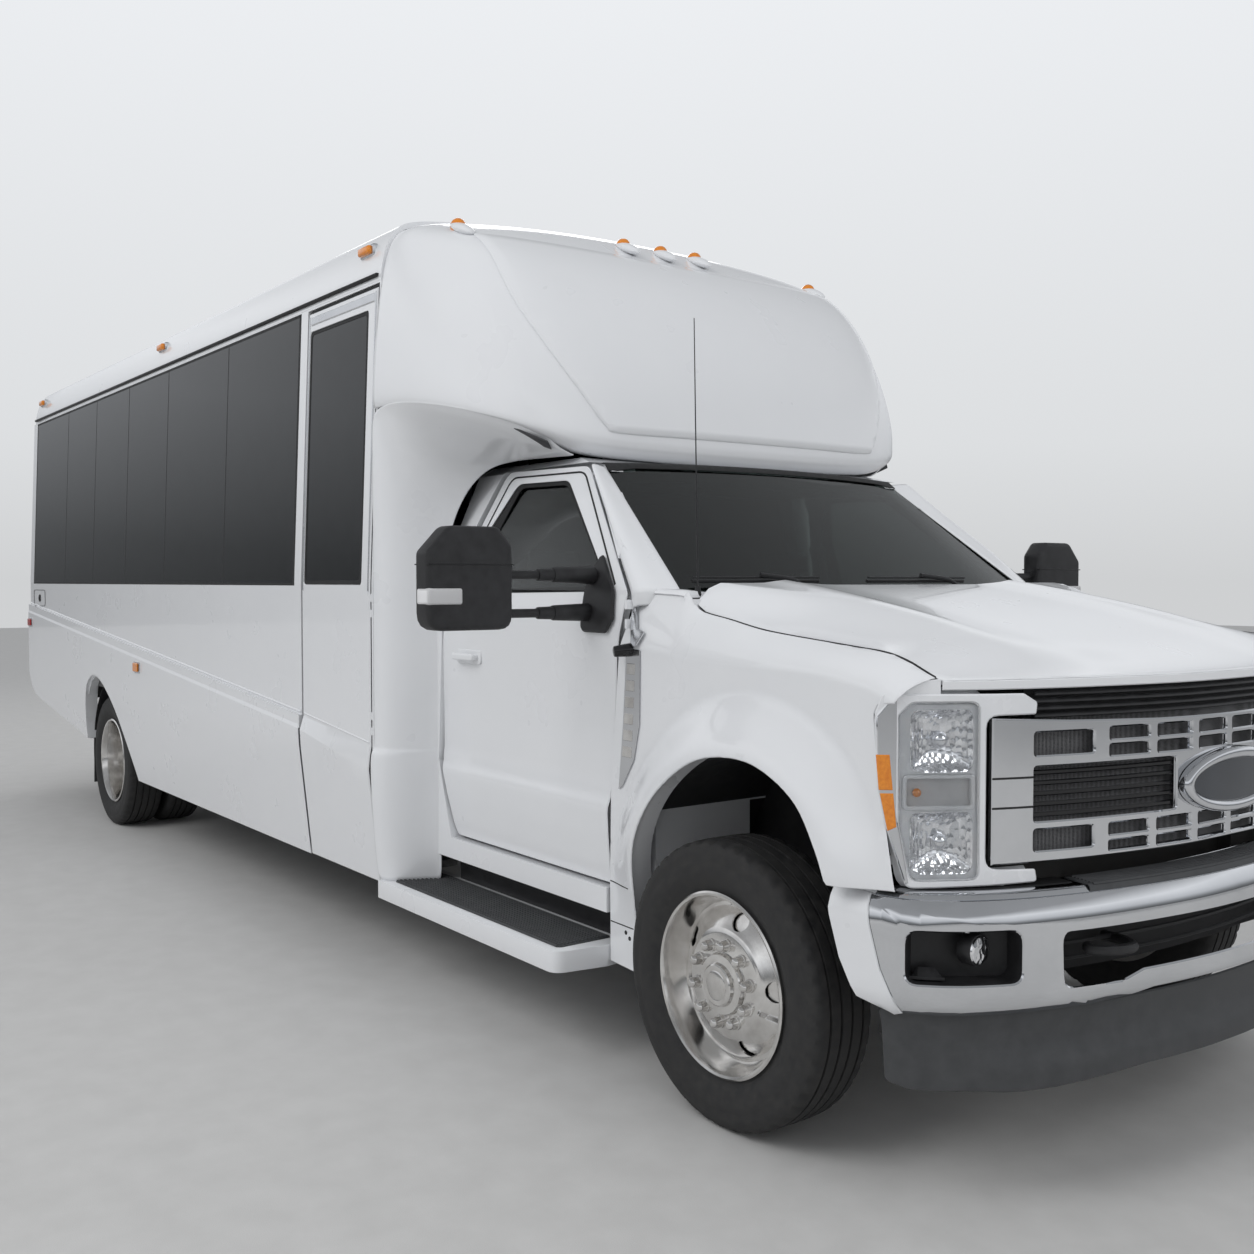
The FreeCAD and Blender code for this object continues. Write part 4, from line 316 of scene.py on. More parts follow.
def joined(forms):
    """Several forms as one."""
    whole = bmesh.new()
    for form in forms:
        spare = bpy.data.meshes.new("spare")
        form.to_mesh(spare)
        form.free()
        whole.from_mesh(spare)
        bpy.data.meshes.remove(spare)
    return whole


def rounded(outline, steps=5):
    """An outline whose corners (across, up, radius) are rounded."""
    result = []
    for i, corner in enumerate(outline):
        if len(corner) == 2:
            result.append(corner)
            continue
        point = Vector(corner[:2])
        back = Vector(outline[i - 1][:2]) - point
        on = Vector(outline[(i + 1) % len(outline)][:2]) - point
        half = back.angle(on) / 2
        reach = min(corner[2] / math.tan(half), back.length * 0.49, on.length * 0.49)
        start, end = point + back.normalized() * reach, point + on.normalized() * reach
        for step in range(steps + 1):
            t = step / steps
            result.append(tuple(start * (1 - t) ** 2 + point * 2 * t * (1 - t) + end * t * t))
    return result


def panel(x0, x1, z0, z1, radius=None, steps=5):
    """A rectangle, its corners rounded where there is a radius."""
    corners = [(x0, z0), (x1, z0), (x1, z1), (x0, z1)]
    if radius is None:
        return corners
    return rounded([(*corner, radius) for corner in corners], steps)


def both_halves(half):
    """A line from one side and its mirror image; a point on the middle line comes once."""
    return half + [(-across, *rest) for across, *rest in reversed(half) if across]


def spaced(start, end, count):
    """Even places from start to end, with a number of gaps."""
    return [start + (end - start) * k / count for k in range(count + 1)]


def round_curve(count):
    """Angles right round a circle."""
    return [math.tau * k / count for k in range(count)]


def curve_through(points, steps=6):
    """A smooth line through points of any dimension."""
    points = [Vector(point) for point in points]
    count = len(points)
    result = []
    for i in range(count - 1):
        p0, p1, p2, p3 = (points[min(max(k, 0), count - 1)] for k in range(i - 1, i + 3))
        for step in range(steps):
            t = step / steps
            result.append(0.5 * (p1 * 2 + (p2 - p0) * t + (p0 * 2 - p1 * 5 + p2 * 4 - p3) * t * t
                                 + (p1 * 3 - p0 - p2 * 3 + p3) * t ** 3))
    return [tuple(point) for point in result + points[-1:]]


def reading(table, x):
    """The value at x, straight between the rows of a table of (x, value)."""
    if x <= table[0][0]:
        return table[0][1]
    for (x0, v0), (x1, v1) in zip(table, table[1:]):
        if x <= x1:
            t = (x - x0) / (x1 - x0)
            return v0 + (v1 - v0) * t
    return table[-1][1]


def ease(low, high, x):
    """From 0 at low to 1 at high, without a corner."""
    t = min(max((x - low) / (high - low), 0.0), 1.0)
    return t * t * (3 - 2 * t)


def laid(outline, place, pitch, outward, holes=(), wall=PAINT_WALL, roll=0.003, folds=()):
    """A flat pattern, cut in small fields and laid on the form that `place` gives.

    Its border is rolled back a little, the sheet gets a wall behind it, and `folds` are
    straight lines of the pattern along which it bends."""
    form = bmesh.new()
    edges = []
    for loop in (outline, *holes):
        edges += line_of(form, [(u, v, 0) for u, v in loop], closed=True)[1]
    if holes:
        bmesh.ops.triangle_fill(form, edges=edges, use_beauty=True)
    else:
        bmesh.ops.contextual_create(form, geom=form.verts[:] + edges)
    facing(form, (0, 0, 1))

    def cut(spot, normal):
        bmesh.ops.bisect_plane(form, geom=form.verts[:] + form.edges[:] + form.faces[:],
                               dist=MERGE, plane_co=spot, plane_no=normal)

    if roll:
        bmesh.ops.inset_region(form, faces=form.faces[:], thickness=roll, use_even_offset=True,
                               use_boundary=True)
    for (u0, v0), (u1, v1) in folds:
        cut((u0, v0, 0), (v0 - v1, u1 - u0, 0))
    for axis in (0, 1):
        values = [vert.co[axis] for vert in form.verts]
        low, high = min(values), max(values)
        for place_on in spaced(low, high, int((high - low) / pitch[axis]) + 1)[1:-1]:
            spot, normal = [0, 0, 0], [0, 0, 0]
            spot[axis], normal[axis] = place_on, 1
            cut(spot, normal)
    merged(form)
    rim = {vert for vert in form.verts if vert.is_boundary}
    outward = Vector(outward)
    tiny = 1e-3
    for vert in form.verts:
        u, v = vert.co.x, vert.co.y
        point = Vector(place(u, v))
        if roll and vert in rim:
            along = Vector(place(u + tiny, v)) - Vector(place(u - tiny, v))
            across = Vector(place(u, v + tiny)) - Vector(place(u, v - tiny))
            normal = along.cross(across).normalized()
            if normal.dot(outward) < 0:
                normal.negate()
            point -= normal * roll
        vert.co = point
    facing(form, outward)
    return thick(form, wall)


def turned(profile, middle, steps=64):
    """A closed or open profile of (along Y, radius), spun round an axis along Y."""
    form = bmesh.new()
    chain, edges = line_of(form, [(0, along, radius) for along, radius in profile])
    bmesh.ops.spin(form, geom=chain + edges, cent=(0, 0, 0), axis=(0, 1, 0), dvec=(0, 0, 0),
                   angle=math.tau, steps=steps, use_merge=True)
    return moved(closed_out(merged(form)), middle)


def box_of(one, other, bevel=0.0, segments=3):
    """A block between two opposite corners, with rounded edges."""
    form = bmesh.new()
    low, high = (Vector([pick(pair) for pair in zip(one, other)]) for pick in (min, max))
    bmesh.ops.create_cube(form, size=1.0)
    bmesh.ops.scale(form, vec=high - low, verts=form.verts[:])
    moved(form, (low + high) / 2)
    return soften(form, bevel, segments) if bevel else form


def soften(form, width, segments=3, angle=30.0):
    """Round the edges that are sharper than an angle."""
    form.normal_update()
    edges = [edge for edge in form.edges
             if edge.is_manifold and edge.calc_face_angle(0) > math.radians(angle)]
    bmesh.ops.bevel(form, geom=edges, offset=width, affect="EDGES", segments=segments,
                    profile=0.5, material=-1, clamp_overlap=True)
    return form


def slab(outline, place, depth, bevel=0.0, segments=3):
    """A flat outline through `place`, as thick as the vector depth."""
    form = bmesh.new()
    chain, edges = line_of(form, [place(u, v) for u, v in outline], closed=True)
    face = bmesh.ops.contextual_create(form, geom=chain + edges)["faces"][0]
    out = bmesh.ops.extrude_face_region(form, geom=[face])["geom"]
    bmesh.ops.translate(form, vec=depth, verts=[v for v in out
                                                if isinstance(v, bmesh.types.BMVert)])
    closed_out(form)
    return soften(form, bevel, segments) if bevel else form


def rod(start, end, radius, tip=None, sides=20, bevel=0.0):
    """A round bar between two points."""
    start, end = Vector(start), Vector(end)
    run = end - start
    form = bmesh.new()
    bmesh.ops.create_cone(form, cap_ends=True, segments=sides, radius1=radius,
                          radius2=radius if tip is None else tip, depth=run.length)
    turn = run.to_track_quat("Z", "Y").to_matrix().to_4x4()
    bmesh.ops.transform(form, matrix=Matrix.Translation((start + end) / 2) @ turn,
                        verts=form.verts[:])
    return soften(form, bevel, 2, 50) if bevel else form


def ball(middle, radius, sides, rings, size=(1, 1, 1), tilt=0.0):
    """A ball, stretched by `size` and tipped by degrees about Y."""
    form = bmesh.new()
    bmesh.ops.create_uvsphere(form, u_segments=sides, v_segments=rings, radius=radius)
    bmesh.ops.scale(form, vec=size, verts=form.verts[:])
    bmesh.ops.rotate(form, matrix=Matrix.Rotation(math.radians(tilt), 3, "Y"), verts=form.verts[:])
    return moved(form, middle)


def capped(form):
    """Fill the open ends of a form and turn its faces outwards."""
    bmesh.ops.holes_fill(form, edges=[edge for edge in form.edges if edge.is_boundary])
    return closed_out(form)


def set_off(face, depth):
    """The same face as another, at an offset that it takes as its third value."""
    return lambda u, v: face(u, v, depth)


def proud_of(skin, side, proud):
    """A side's skin, moved outwards."""
    return lambda u, v: Vector(skin(side, u, v)) + Vector((0, side * proud, 0))


def pipe(points, radius, sides=10):
    """A round bar along a smooth line."""
    line = [Vector(point) for point in points]
    rows = []
    normal = None
    for i, point in enumerate(line):
        ahead = (line[min(i + 1, len(line) - 1)] - line[max(i - 1, 0)]).normalized()
        if normal is None:
            normal = ahead.orthogonal().normalized()
        normal = (normal - ahead * normal.dot(ahead)).normalized()
        other = ahead.cross(normal)
        rows.append([point + (normal * math.cos(a) + other * math.sin(a)) * radius
                     for a in round_curve(sides)])
    return capped(pulled(rows, closed=True))


# ---- camera, floor and light

camera = bpy.data.objects.new("camera", bpy.data.cameras.new("camera"))
scene.collection.objects.link(camera)
camera.data.lens = 37.16
camera.data.sensor_width = 36.0
camera.location = (6.152, -3.399, 1.541)
HEADING, DIP = math.radians(36.627), math.radians(2.037)
view_line = Vector((-math.cos(HEADING) * math.cos(DIP), math.sin(HEADING) * math.cos(DIP),
                    -math.sin(DIP)))
camera.rotation_euler = view_line.to_track_quat("-Z", "Y").to_euler()
scene.camera = camera
scene.view_settings.view_transform = "Standard"


def make_floor():
    form = bmesh.new()
    bmesh.ops.create_grid(form, x_segments=2, y_segments=2, size=40.0)
    mesh = bpy.data.meshes.new("floor")
    form.to_mesh(mesh)
    form.free()
    floor = bpy.data.objects.new("floor", mesh)
    scene.collection.objects.link(floor)
    mesh.materials.append(mottled("floor_paint", (0.56, 0.555, 0.545), (0.60, 0.595, 0.585), 1.5,
                                  (0.75, 0.9), grain=(60.0, 0.3, 0.002)))


def light_world():
    """Even light from all round, behind the vehicle a pale sky.

    Shiny parts mirror another sky, dark low down, with a bright ring, and darker overhead."""
    world = bpy.data.worlds.new("studio")
    scene.world = world
    world.use_nodes = True
    nodes, links = world.node_tree.nodes, world.node_tree.links
    lit = nodes["Background"]
    lit.inputs["Color"].default_value = (0.95, 0.97, 1.0, 1.0)
    lit.inputs["Strength"].default_value = 0.62
    place = nodes.new("ShaderNodeTexCoord")
    split = nodes.new("ShaderNodeSeparateXYZ")
    links.new(place.outputs["Generated"], split.inputs["Vector"])

    def sky(*stops):
        backdrop = nodes.new("ShaderNodeBackground")
        ramp(nodes, links, split.outputs["Z"], backdrop.inputs["Color"], *stops)
        return backdrop.outputs["Background"]

    def mix(*sources):
        mixer = nodes.new("ShaderNodeMixShader")
        for socket, source in zip(mixer.inputs, sources):
            links.new(source, socket)
        return mixer.outputs["Shader"]

    seen = sky((0.0, (0.62, 0.63, 0.64)), (0.10, (0.72, 0.735, 0.75)), (0.5, (0.88, 0.90, 0.93)))
    shone = sky((0.0, (0.13, 0.135, 0.14)), (0.05, (0.22, 0.23, 0.24)), (0.16, (0.60, 0.62, 0.65)),
                (0.34, (0.86, 0.88, 0.91)), (0.50, (0.36, 0.37, 0.385)), (1.0, (0.30, 0.31, 0.32)))
    path = nodes.new("ShaderNodeLightPath").outputs
    direct = nodes.new("ShaderNodeMath")
    direct.operation = "MAXIMUM"
    for socket, ray in zip(direct.inputs, ("Is Camera Ray", "Is Transmission Ray")):
        links.new(path[ray], socket)
    behind = mix(direct.outputs[0], lit.outputs["Background"], seen)
    links.new(mix(path["Is Glossy Ray"], behind, shone), nodes["World Output"].inputs["Surface"])


def add_lamp(name, place, target, width, watts, mirrored=True):
    lamp = bpy.data.lights.new(name, "AREA")
    lamp.shape, lamp.size, lamp.energy = "DISK", width, watts
    stand = bpy.data.objects.new(name, lamp)
    stand.location = place
    stand.visible_glossy = mirrored
    stand.rotation_euler = (Vector(target) - Vector(place)).to_track_quat("-Z", "Y").to_euler()
    scene.collection.objects.link(stand)


make_floor()
light_world()
add_lamp("key", (2.0, -9.5, 9.0), (1.0, 0.0, 1.2), 7.0, 420, False)
add_lamp("front", (11.0, 1.0, 6.0), (3.0, 0.0, 1.2), 5.0, 150, False)
add_lamp("rear", (-9.0, 6.0, 7.0), (-1.0, 0.0, 1.4), 6.0, 160)

# the finish of each node of the frame
NODE_FINISH = {
    "paint": "cab_shell side_wall_right side_wall_left rear_wall rear_door passenger_door hood "
             "fender_right fender_left cab_door_right cab_door_left nose_cap roof_panel",
    "frame_black": "frame_rails fuel_tank radiator_support rear_bumper",
    "cast": "engine_block front_axle rear_axle driveshaft knuckle_right knuckle_left",
    "windshield": "windshield", "cab_glass": "cab_door_glass_right cab_door_glass_left",
    "coach_glass": "side_windows rear_door_glass passenger_door_glass",
    "deck": "floor_deck entry_steps", "trim": "dashboard", "cloth": "seats", "red": "tail_lamps",
    "amber": "marker_lamps", "satin": "headlamps", "chrome": "grille front_bumper",
    "dark_grey": "front_valance", "black": "mirror_right mirror_left", "tread": "running_boards",
    "steel": "front_wheel_right front_wheel_left rear_wheels_right rear_wheels_left",
    "rubber": "front_tyre_right front_tyre_left rear_tyres_right rear_tyres_left",
}
for finish, names in NODE_FINISH.items():
    for name in names.split():
        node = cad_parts[name]
        node.data.materials.clear()
        node.data.materials.append(FINISH[finish][0])


# ---- coach body

COACH_HALF = 1.195
COACH_FRONT, COACH_REAR = -1.88, -7.72
WAIST, SILL, HEADER = 0.86, 1.53, 2.69
PROUD = 0.018
# the side leans in by so much over so much height, at its foot and at its head
FOOT_LEAN, FOOT_RUN = 0.055, 0.51
HEAD_LEAN, HEAD_RUN = 0.045, 1.16


def wall_y(z):
    """Half width of the coach's side at a height."""
    if z < WAIST:
        return COACH_HALF - FOOT_LEAN * (WAIST - z) / FOOT_RUN
    if z > SILL:
        return COACH_HALF - HEAD_LEAN * (z - SILL) / HEAD_RUN
    return COACH_HALF


def band(station, edge):
    """Height of the slanted band between the upper and the lower panel, 0 its foot, 1 its top."""
    foot = reading([(-7.72, 1.308), (-2.587, 0.905), (-1.88, 0.80)], station)
    top = reading([(-7.72, 1.366), (-2.587, 0.962), (-1.88, 0.892)], station)
    return foot + (top - foot) * edge


def lower_skin(side, station, z):
    """A point of the coach's side, whose lower panel stands proud of the upper one."""
    up = (z - band(station, 0)) / (band(station, 1) - band(station, 0))
    proud = PROUD * (1 - min(max(up, 0.0), 1.0))
    return (at(station), side * (wall_y(z) + 0.002 + proud), z)


def band_bead(side, front, rear, count):
    """The raised bead along the top of the slanted band."""
    return pipe([lower_skin(side, x, band(x, 1) + 0.014) for x in spaced(front, rear, count)],
                0.0045, 8)


BAND_FOLDS = [((a, band(a, edge)), (b, band(b, edge))) for a, b in ((-7.72, -2.587), (-2.58, -1.88))
              for edge in (0, 1)]


REAR_ARCH = [(-5.135, 0.352), (-5.20, 0.44), (-5.33, 0.60), (-5.47, 0.755), (-5.62, 0.865),
             (-5.80, 0.93), (-5.94, 0.935), (-6.06, 0.88), (-6.15, 0.76), (-6.20, 0.62),
             (-6.215, 0.505)]


def make_lower_panels():
    """The coach's lower side panels, a little proud, with the rear arch's returned lip."""
    arch = curve_through(REAR_ARCH, 5)
    for name, side in SIDES:
        front = -2.589 if side < 0 else COACH_FRONT - 0.003
        outline = [(front, band(front, 1)), (COACH_REAR + 0.002, band(COACH_REAR, 1)),
                   (-7.716, 0.86), (-7.68, 0.76), (-7.60, 0.70), (-7.45, 0.672)]
        outline += arch[::-1] + [(front, 0.352)]
        form = laid(outline, lambda u, v: lower_skin(side, u, v), (0.35, 0.06), (0, side, 0),
                    folds=BAND_FOLDS)
        show("lower_panel_" + name, [form, band_bead(side, front, COACH_REAR + 0.01, 24)], "paint",
             sharp=14)
        lip = [lower_skin(side, x, z) for x, z in arch]
        rows = [lip, [(x, y - side * 0.006, z) for x, y, z in lip],
                [(x, y - side * 0.075, z) for x, y, z in lip]]
        show("rear_arch_lip_" + name, sheet(rows, (0, 0, -1)), "paint")


def make_wheel_houses():
    """Black liners over the wheels."""
    for name, side in SIDES:
        for place, station, height, radius, inner, outer in (
                ("rear", -5.73, 0.42, 0.50, 0.66, 1.135), ("front", 0.0, 0.50, 0.54, 0.47, 0.97)):
            steps = [math.radians(a) for a in range(-10, 191, 8)]
            rows = [[(at(station + radius * math.cos(a)), side * y, height + radius * math.sin(a))
                     for a in steps] for y in (outer, inner)]
            if place == "front":
                rows.append([(at(station + 0.1 * math.cos(a)), side * inner,
                              height + 0.1 * math.sin(a)) for a in steps])
            show("%s_liner_%s" % (place, name), sheet(rows, (0, 0, -1)), "black")


# the strips beside the panes, front to rear: station and half width
POSTS = [(-2.67, 0.012), (-3.56, 0.005), (-4.50, 0.005), (-5.25, 0.005), (-5.97, 0.005),
         (-6.69, 0.005), (-7.60, 0.012)]


def make_window_seals():
    """Black seals round and between the panes, and the drip rail over them."""
    for name, side in SIDES:
        outlines = [panel(station - half, station + half, SILL - 0.008, HEADER + 0.006)
                    for station, half in POSTS]
        outlines += [panel(-7.612, -2.658, low, high) for low, high in
                     ((SILL - 0.010, SILL + 0.004), (HEADER - 0.004, HEADER + 0.012))]
        strips = [laid(outline, lambda u, v: (at(u), side * (wall_y(v) + 0.0005), v), (1, 1),
                       (0, side, 0), wall=0.006, roll=0.0015) for outline in outlines]
        rear_end, front_end = (-7.66, -1.905 if side < 0 else -2.62)
        y = wall_y(2.728)
        strips.append(box_of((at(rear_end), side * (y - 0.004), 2.722),
                                         (at(front_end), side * (y + 0.012), 2.736), 0.003, 2))
        show("window_seals_" + name, strips, "seal")


ROOF_LINE = [(1.150, 2.7065), (1.146, 2.76), (1.132, 2.82), (1.112, 2.87), (1.082, 2.912),
             (1.03, 2.942), (0.94, 2.962), (0.78, 2.980), (0.55, 2.998), (0.28, 3.013), (0, 3.018)]


def make_roof():
    """Crowned roof, rounded down to the side windows and over the rear end."""
    across = both_halves(curve_through(ROOF_LINE, 3))
    foot = ROOF_LINE[0][1]
    rows = [[(at(station), y * (1 - drop / 2), foot + (z - foot) * (1 - drop * 2))
             for y, z in across]
            for station, drop in ((COACH_FRONT - 0.002, 0), (-3.0, 0), (-5.0, 0), (-7.0, 0),
                                  (COACH_REAR + 0.06, 0), (COACH_REAR + 0.02, 0.010),
                                  (COACH_REAR, 0.030))]
    show("roof", sheet(rows, (0, 0, 1), 0.02), "paint", stands_for=("roof_panel",))


# columns of the nose cap from its rear edge round to the middle, each from the lower edge up
CAP_COLUMNS = [
    [(-1.882, 1.193, 2.214), (-1.882, 1.180, 2.45), (-1.882, 1.152, 2.70), (-1.882, 1.114, 2.868),
     (-1.882, 1.030, 2.942), (-1.882, 0.560, 2.998), (-1.882, 0.0, 3.018)],
    [(-1.72, 1.193, 2.214), (-1.73, 1.180, 2.45), (-1.76, 1.152, 2.70), (-1.80, 1.112, 2.866),
     (-1.82, 1.026, 2.940), (-1.84, 0.560, 2.996), (-1.85, 0.0, 3.016)],
    [(-1.50, 1.170, 2.192), (-1.56, 1.162, 2.42), (-1.65, 1.140, 2.66), (-1.74, 1.098, 2.835),
     (-1.78, 1.016, 2.926), (-1.81, 0.555, 2.990), (-1.82, 0.0, 3.010)],
    [(-1.30, 1.085, 2.150), (-1.37, 1.095, 2.36), (-1.50, 1.092, 2.60), (-1.63, 1.060, 2.80),
     (-1.715, 0.995, 2.912), (-1.765, 0.55, 2.978), (-1.78, 0.0, 2.998)],
    [(-1.115, 0.925, 2.098), (-1.19, 0.970, 2.30), (-1.33, 1.000, 2.55), (-1.51, 1.005, 2.77),
     (-1.655, 0.965, 2.895), (-1.72, 0.545, 2.964), (-1.735, 0.0, 2.982)],
    [(-1.045, 0.800, 2.066), (-1.095, 0.845, 2.26), (-1.215, 0.895, 2.50), (-1.395, 0.935, 2.74),
     (-1.590, 0.925, 2.878), (-1.680, 0.54, 2.950), (-1.70, 0.0, 2.966)],
    [(-1.015, 0.640, 2.052), (-1.062, 0.68, 2.25), (-1.175, 0.72, 2.49), (-1.355, 0.755, 2.73),
     (-1.560, 0.76, 2.874), (-1.655, 0.45, 2.940), (-1.672, 0.0, 2.956)],
    [(-0.998, 0.33, 2.046), (-1.040, 0.35, 2.245), (-1.150, 0.37, 2.485), (-1.330, 0.39, 2.726),
     (-1.540, 0.39, 2.872), (-1.640, 0.24, 2.936), (-1.66, 0.0, 2.952)],
    [(-0.992, 0.0, 2.044), (-1.034, 0.0, 2.243), (-1.143, 0.0, 2.483), (-1.322, 0.0, 2.724),
     (-1.535, 0.0, 2.871), (-1.632, 0.0, 2.933), (-1.655, 0.0, 2.948)],
]


def make_nose_cap():
    """Raked cap over the cab: sides, shoulders and front in one skin, with a rolled lip."""
    columns = []
    for i, column in enumerate(CAP_COLUMNS):
        x, y, z = column[0]
        if i < 4:
            under = [(x, y - 0.045, z + 0.006), (x, y - 0.014, z - 0.012)]
        else:
            share = min((i - 3) / 2, 1)
            under = [(x - 0.20, y * 0.93, z - 0.035 * share),
                     (x - 0.125, y * 0.95, z - 0.068 * share),
                     (x - 0.05, y * 0.985, z - 0.070 * share), (x - 0.008, y, z - 0.042 * share)]
        columns.append((under, column))
    deep = max(len(under) for under, _ in columns)
    lines = []
    for under, column in columns:
        while len(under) < deep:
            under = [under[0]] + under
            x, y, z = under[0]
            under[0] = (x, y - 0.02, z + 0.004)
        lines.append([Vector((at(x), y, z)) for x, y, z in under + column])
    whole = lines + [[Vector((p.x, -p.y, p.z)) for p in line] for line in reversed(lines[:-1])]
    form = merged(facing(pulled(whole), (1, 0, 0.6)))
    crease = form.edges.layers.float.new("crease_edge")
    shoulder = [Vector((at(x), side * y, z)) for side in (1, -1) for x, y, z in CAP_COLUMNS[4]]
    for edge in form.edges:
        if all(min((vert.co - spot).length for spot in shoulder) < 1e-4 for vert in edge.verts):
            edge[crease] = 0.45
    piece = show("nose_cap_skin", form, "paint", sharp=180, stands_for=("nose_cap",))
    smoother(piece, 3)
    bpy.context.view_layer.update()
    skin = BVHTree.FromObject(piece, bpy.context.evaluated_depsgraph_get())
    walled(piece, 0.006)
    return skin


def on_cap(skin, start, heading, proud=0.0):
    """Where a line meets the cap's skin, or its nearest point, a little proud of it."""
    spot, normal, *_ = skin.ray_cast(Vector(start), Vector(heading))
    if spot is None:
        spot, normal, *_ = skin.find_nearest(Vector(start))
    return spot + normal * proud


CAP_PANEL = [(-0.92, 2.850), (-0.923, 2.579), (-0.851, 2.363), (-0.745, 2.172), (-0.690, 2.095),
             (-0.640, 2.070), (-0.363, 2.068)]


def make_cap_details(skin):
    """The raised front panel and the row of five marker lamps over it."""
    outline = both_halves(curve_through(CAP_PANEL, 4))
    form = laid(outline, lambda u, v: on_cap(skin, (at(0.5), u, v), (-1, 0, 0), 0.009),
                (0.05, 0.035), (1, 0, 0.5), wall=0.006, roll=0.007)
    show("cap_front_panel", form, "paint", sharp=60)
    bases, domes = [], []
    for y, station in ((-0.93, -1.66), (-0.19, -1.60), (0.0, -1.595), (0.19, -1.60), (0.93, -1.66)):
        foot = on_cap(skin, (at(station), y, 3.5), (0, 0, -1), 0.004)
        for forms, size, shift in ((bases, (0.078, 0.036, 0.020), Vector((0.024, 0, -0.006))),
                                   (domes, (0.034, 0.030, 0.032), Vector((-0.008, 0, 0.008)))):
            forms.append(ball(foot + shift, 1.0, 24, 16, size, 24))
    show("cap_lamp_bases", bases, "paint")
    show("cap_lamps", domes, "amber")


def cove_row(z, proud=0.0):
    """A level row of the hollow behind the cab door, from the coach's corner in to the cab."""
    return [(-1.880, 1.193 + proud, z), (-1.845, 1.190 + proud, z), (-1.806, 1.165 + proud, z),
            (-1.775, 1.115 + proud * 0.9, z), (-1.752, 1.055 + proud * 0.7, z),
            (-1.728, 1.008 + proud * 0.4, z), (-1.712, 0.992 + proud * 0.2, z)]


# rows of that hollow from the foot up the bulkhead, and then forwards under the cap
COVE_ROWS = [
    *[cove_row(z, 0.017 - tuck) for z, tuck in ((0.372, 0.030), (0.55, 0.012), (0.78, 0.0))],
    *[cove_row(z, proud) for z, proud in ((0.868, 0.016), (0.886, 0.006))],
    *[cove_row(z) for z in (0.894, 0.96, 1.20, 1.50)],
    [(-1.880, 1.193, 1.78), (-1.845, 1.188, 1.78), (-1.805, 1.160, 1.77), (-1.77, 1.108, 1.76),
     (-1.742, 1.042, 1.75), (-1.715, 0.985, 1.74), (-1.700, 0.958, 1.74)],
    [(-1.880, 1.193, 2.02), (-1.842, 1.187, 2.01), (-1.796, 1.155, 1.985), (-1.752, 1.095, 1.955),
     (-1.715, 1.02, 1.925), (-1.675, 0.94, 1.90), (-1.655, 0.905, 1.895)],
    [(-1.880, 1.193, 2.14), (-1.835, 1.185, 2.125), (-1.775, 1.150, 2.085), (-1.71, 1.085, 2.04),
     (-1.65, 1.00, 2.00), (-1.59, 0.905, 1.975), (-1.56, 0.865, 1.972)],
    [(-1.870, 1.190, 2.20), (-1.80, 1.180, 2.178), (-1.71, 1.14, 2.125), (-1.62, 1.065, 2.07),
     (-1.55, 0.97, 2.02), (-1.49, 0.88, 1.99), (-1.46, 0.84, 1.986)],
    [(-1.720, 1.188, 2.216), (-1.67, 1.165, 2.180), (-1.59, 1.115, 2.128), (-1.51, 1.03, 2.07),
     (-1.44, 0.93, 2.02), (-1.40, 0.86, 1.994), (-1.38, 0.83, 1.99)],
    [(-1.50, 1.163, 2.194), (-1.46, 1.13, 2.155), (-1.41, 1.06, 2.10), (-1.36, 0.97, 2.05),
     (-1.32, 0.89, 2.01), (-1.30, 0.84, 1.994), (-1.29, 0.81, 1.99)],
    [(-1.30, 1.080, 2.150), (-1.28, 1.04, 2.11), (-1.25, 0.98, 2.07), (-1.22, 0.91, 2.03),
     (-1.20, 0.85, 2.005), (-1.19, 0.81, 1.994), (-1.18, 0.79, 1.99)],
    [(-1.13, 0.915, 2.095), (-1.13, 0.89, 2.066), (-1.13, 0.86, 2.04), (-1.125, 0.83, 2.015),
     (-1.12, 0.80, 2.0), (-1.115, 0.78, 1.992), (-1.11, 0.77, 1.99)],
]


def make_coves():
    """The hollow bulkheads beside the cab, running up into the underside of the cap."""
    for name, side in SIDES:
        rows = [[(at(x), side * y, z) for x, y, z in row] for row in COVE_ROWS]
        piece = show("cove_" + name, facing(pulled(rows), (1, side, 0)), "paint", sharp=180)
        smoother(piece, 3)
        walled(piece, PAINT_WALL)
        form = slab([(-1.215, 0.965), (-1.120, 0.880), (-1.150, 0.845), (-1.235, 0.905)],
                    lambda u, v: (at(u), side * v, 2.012 + (v - 0.84) * 0.62), (0, 0, -0.006),
                    0.002)
        show("cove_vent_" + name, form, "trim")


# ---- cab and hood

HOOD_CUT = curve_through([(-0.60, 1.524), (-0.50, 1.521), (-0.40, 1.517), (-0.290, 1.512),
                          (-0.262, 1.500), (-0.240, 1.470), (-0.200, 1.450), (-0.086, 1.431),
                          (0.083, 1.402), (0.386, 1.374), (0.507, 1.363), (0.580, 1.345),
                          (0.635, 1.322), (0.680, 1.306), (0.75, 1.304), (0.90, 1.303)], 5)
CREASE = curve_through([(-0.60, 1.385), (-0.424, 1.362), (-0.137, 1.343), (0.119, 1.338),
                        (0.383, 1.330), (0.554, 1.303), (0.64, 1.272)], 5)
# the bowed front edge that hood, grille and lamps share, outwards from the middle: (y, station)
NOSE_LINE = curve_through(
    [(0.0, 0.905), (0.17, 0.900), (0.35, 0.876), (0.55, 0.834), (0.70, 0.790), (0.811, 0.748),
     (0.90, 0.700), (0.97, 0.655), (1.034, 0.600), (1.06, 0.575)])


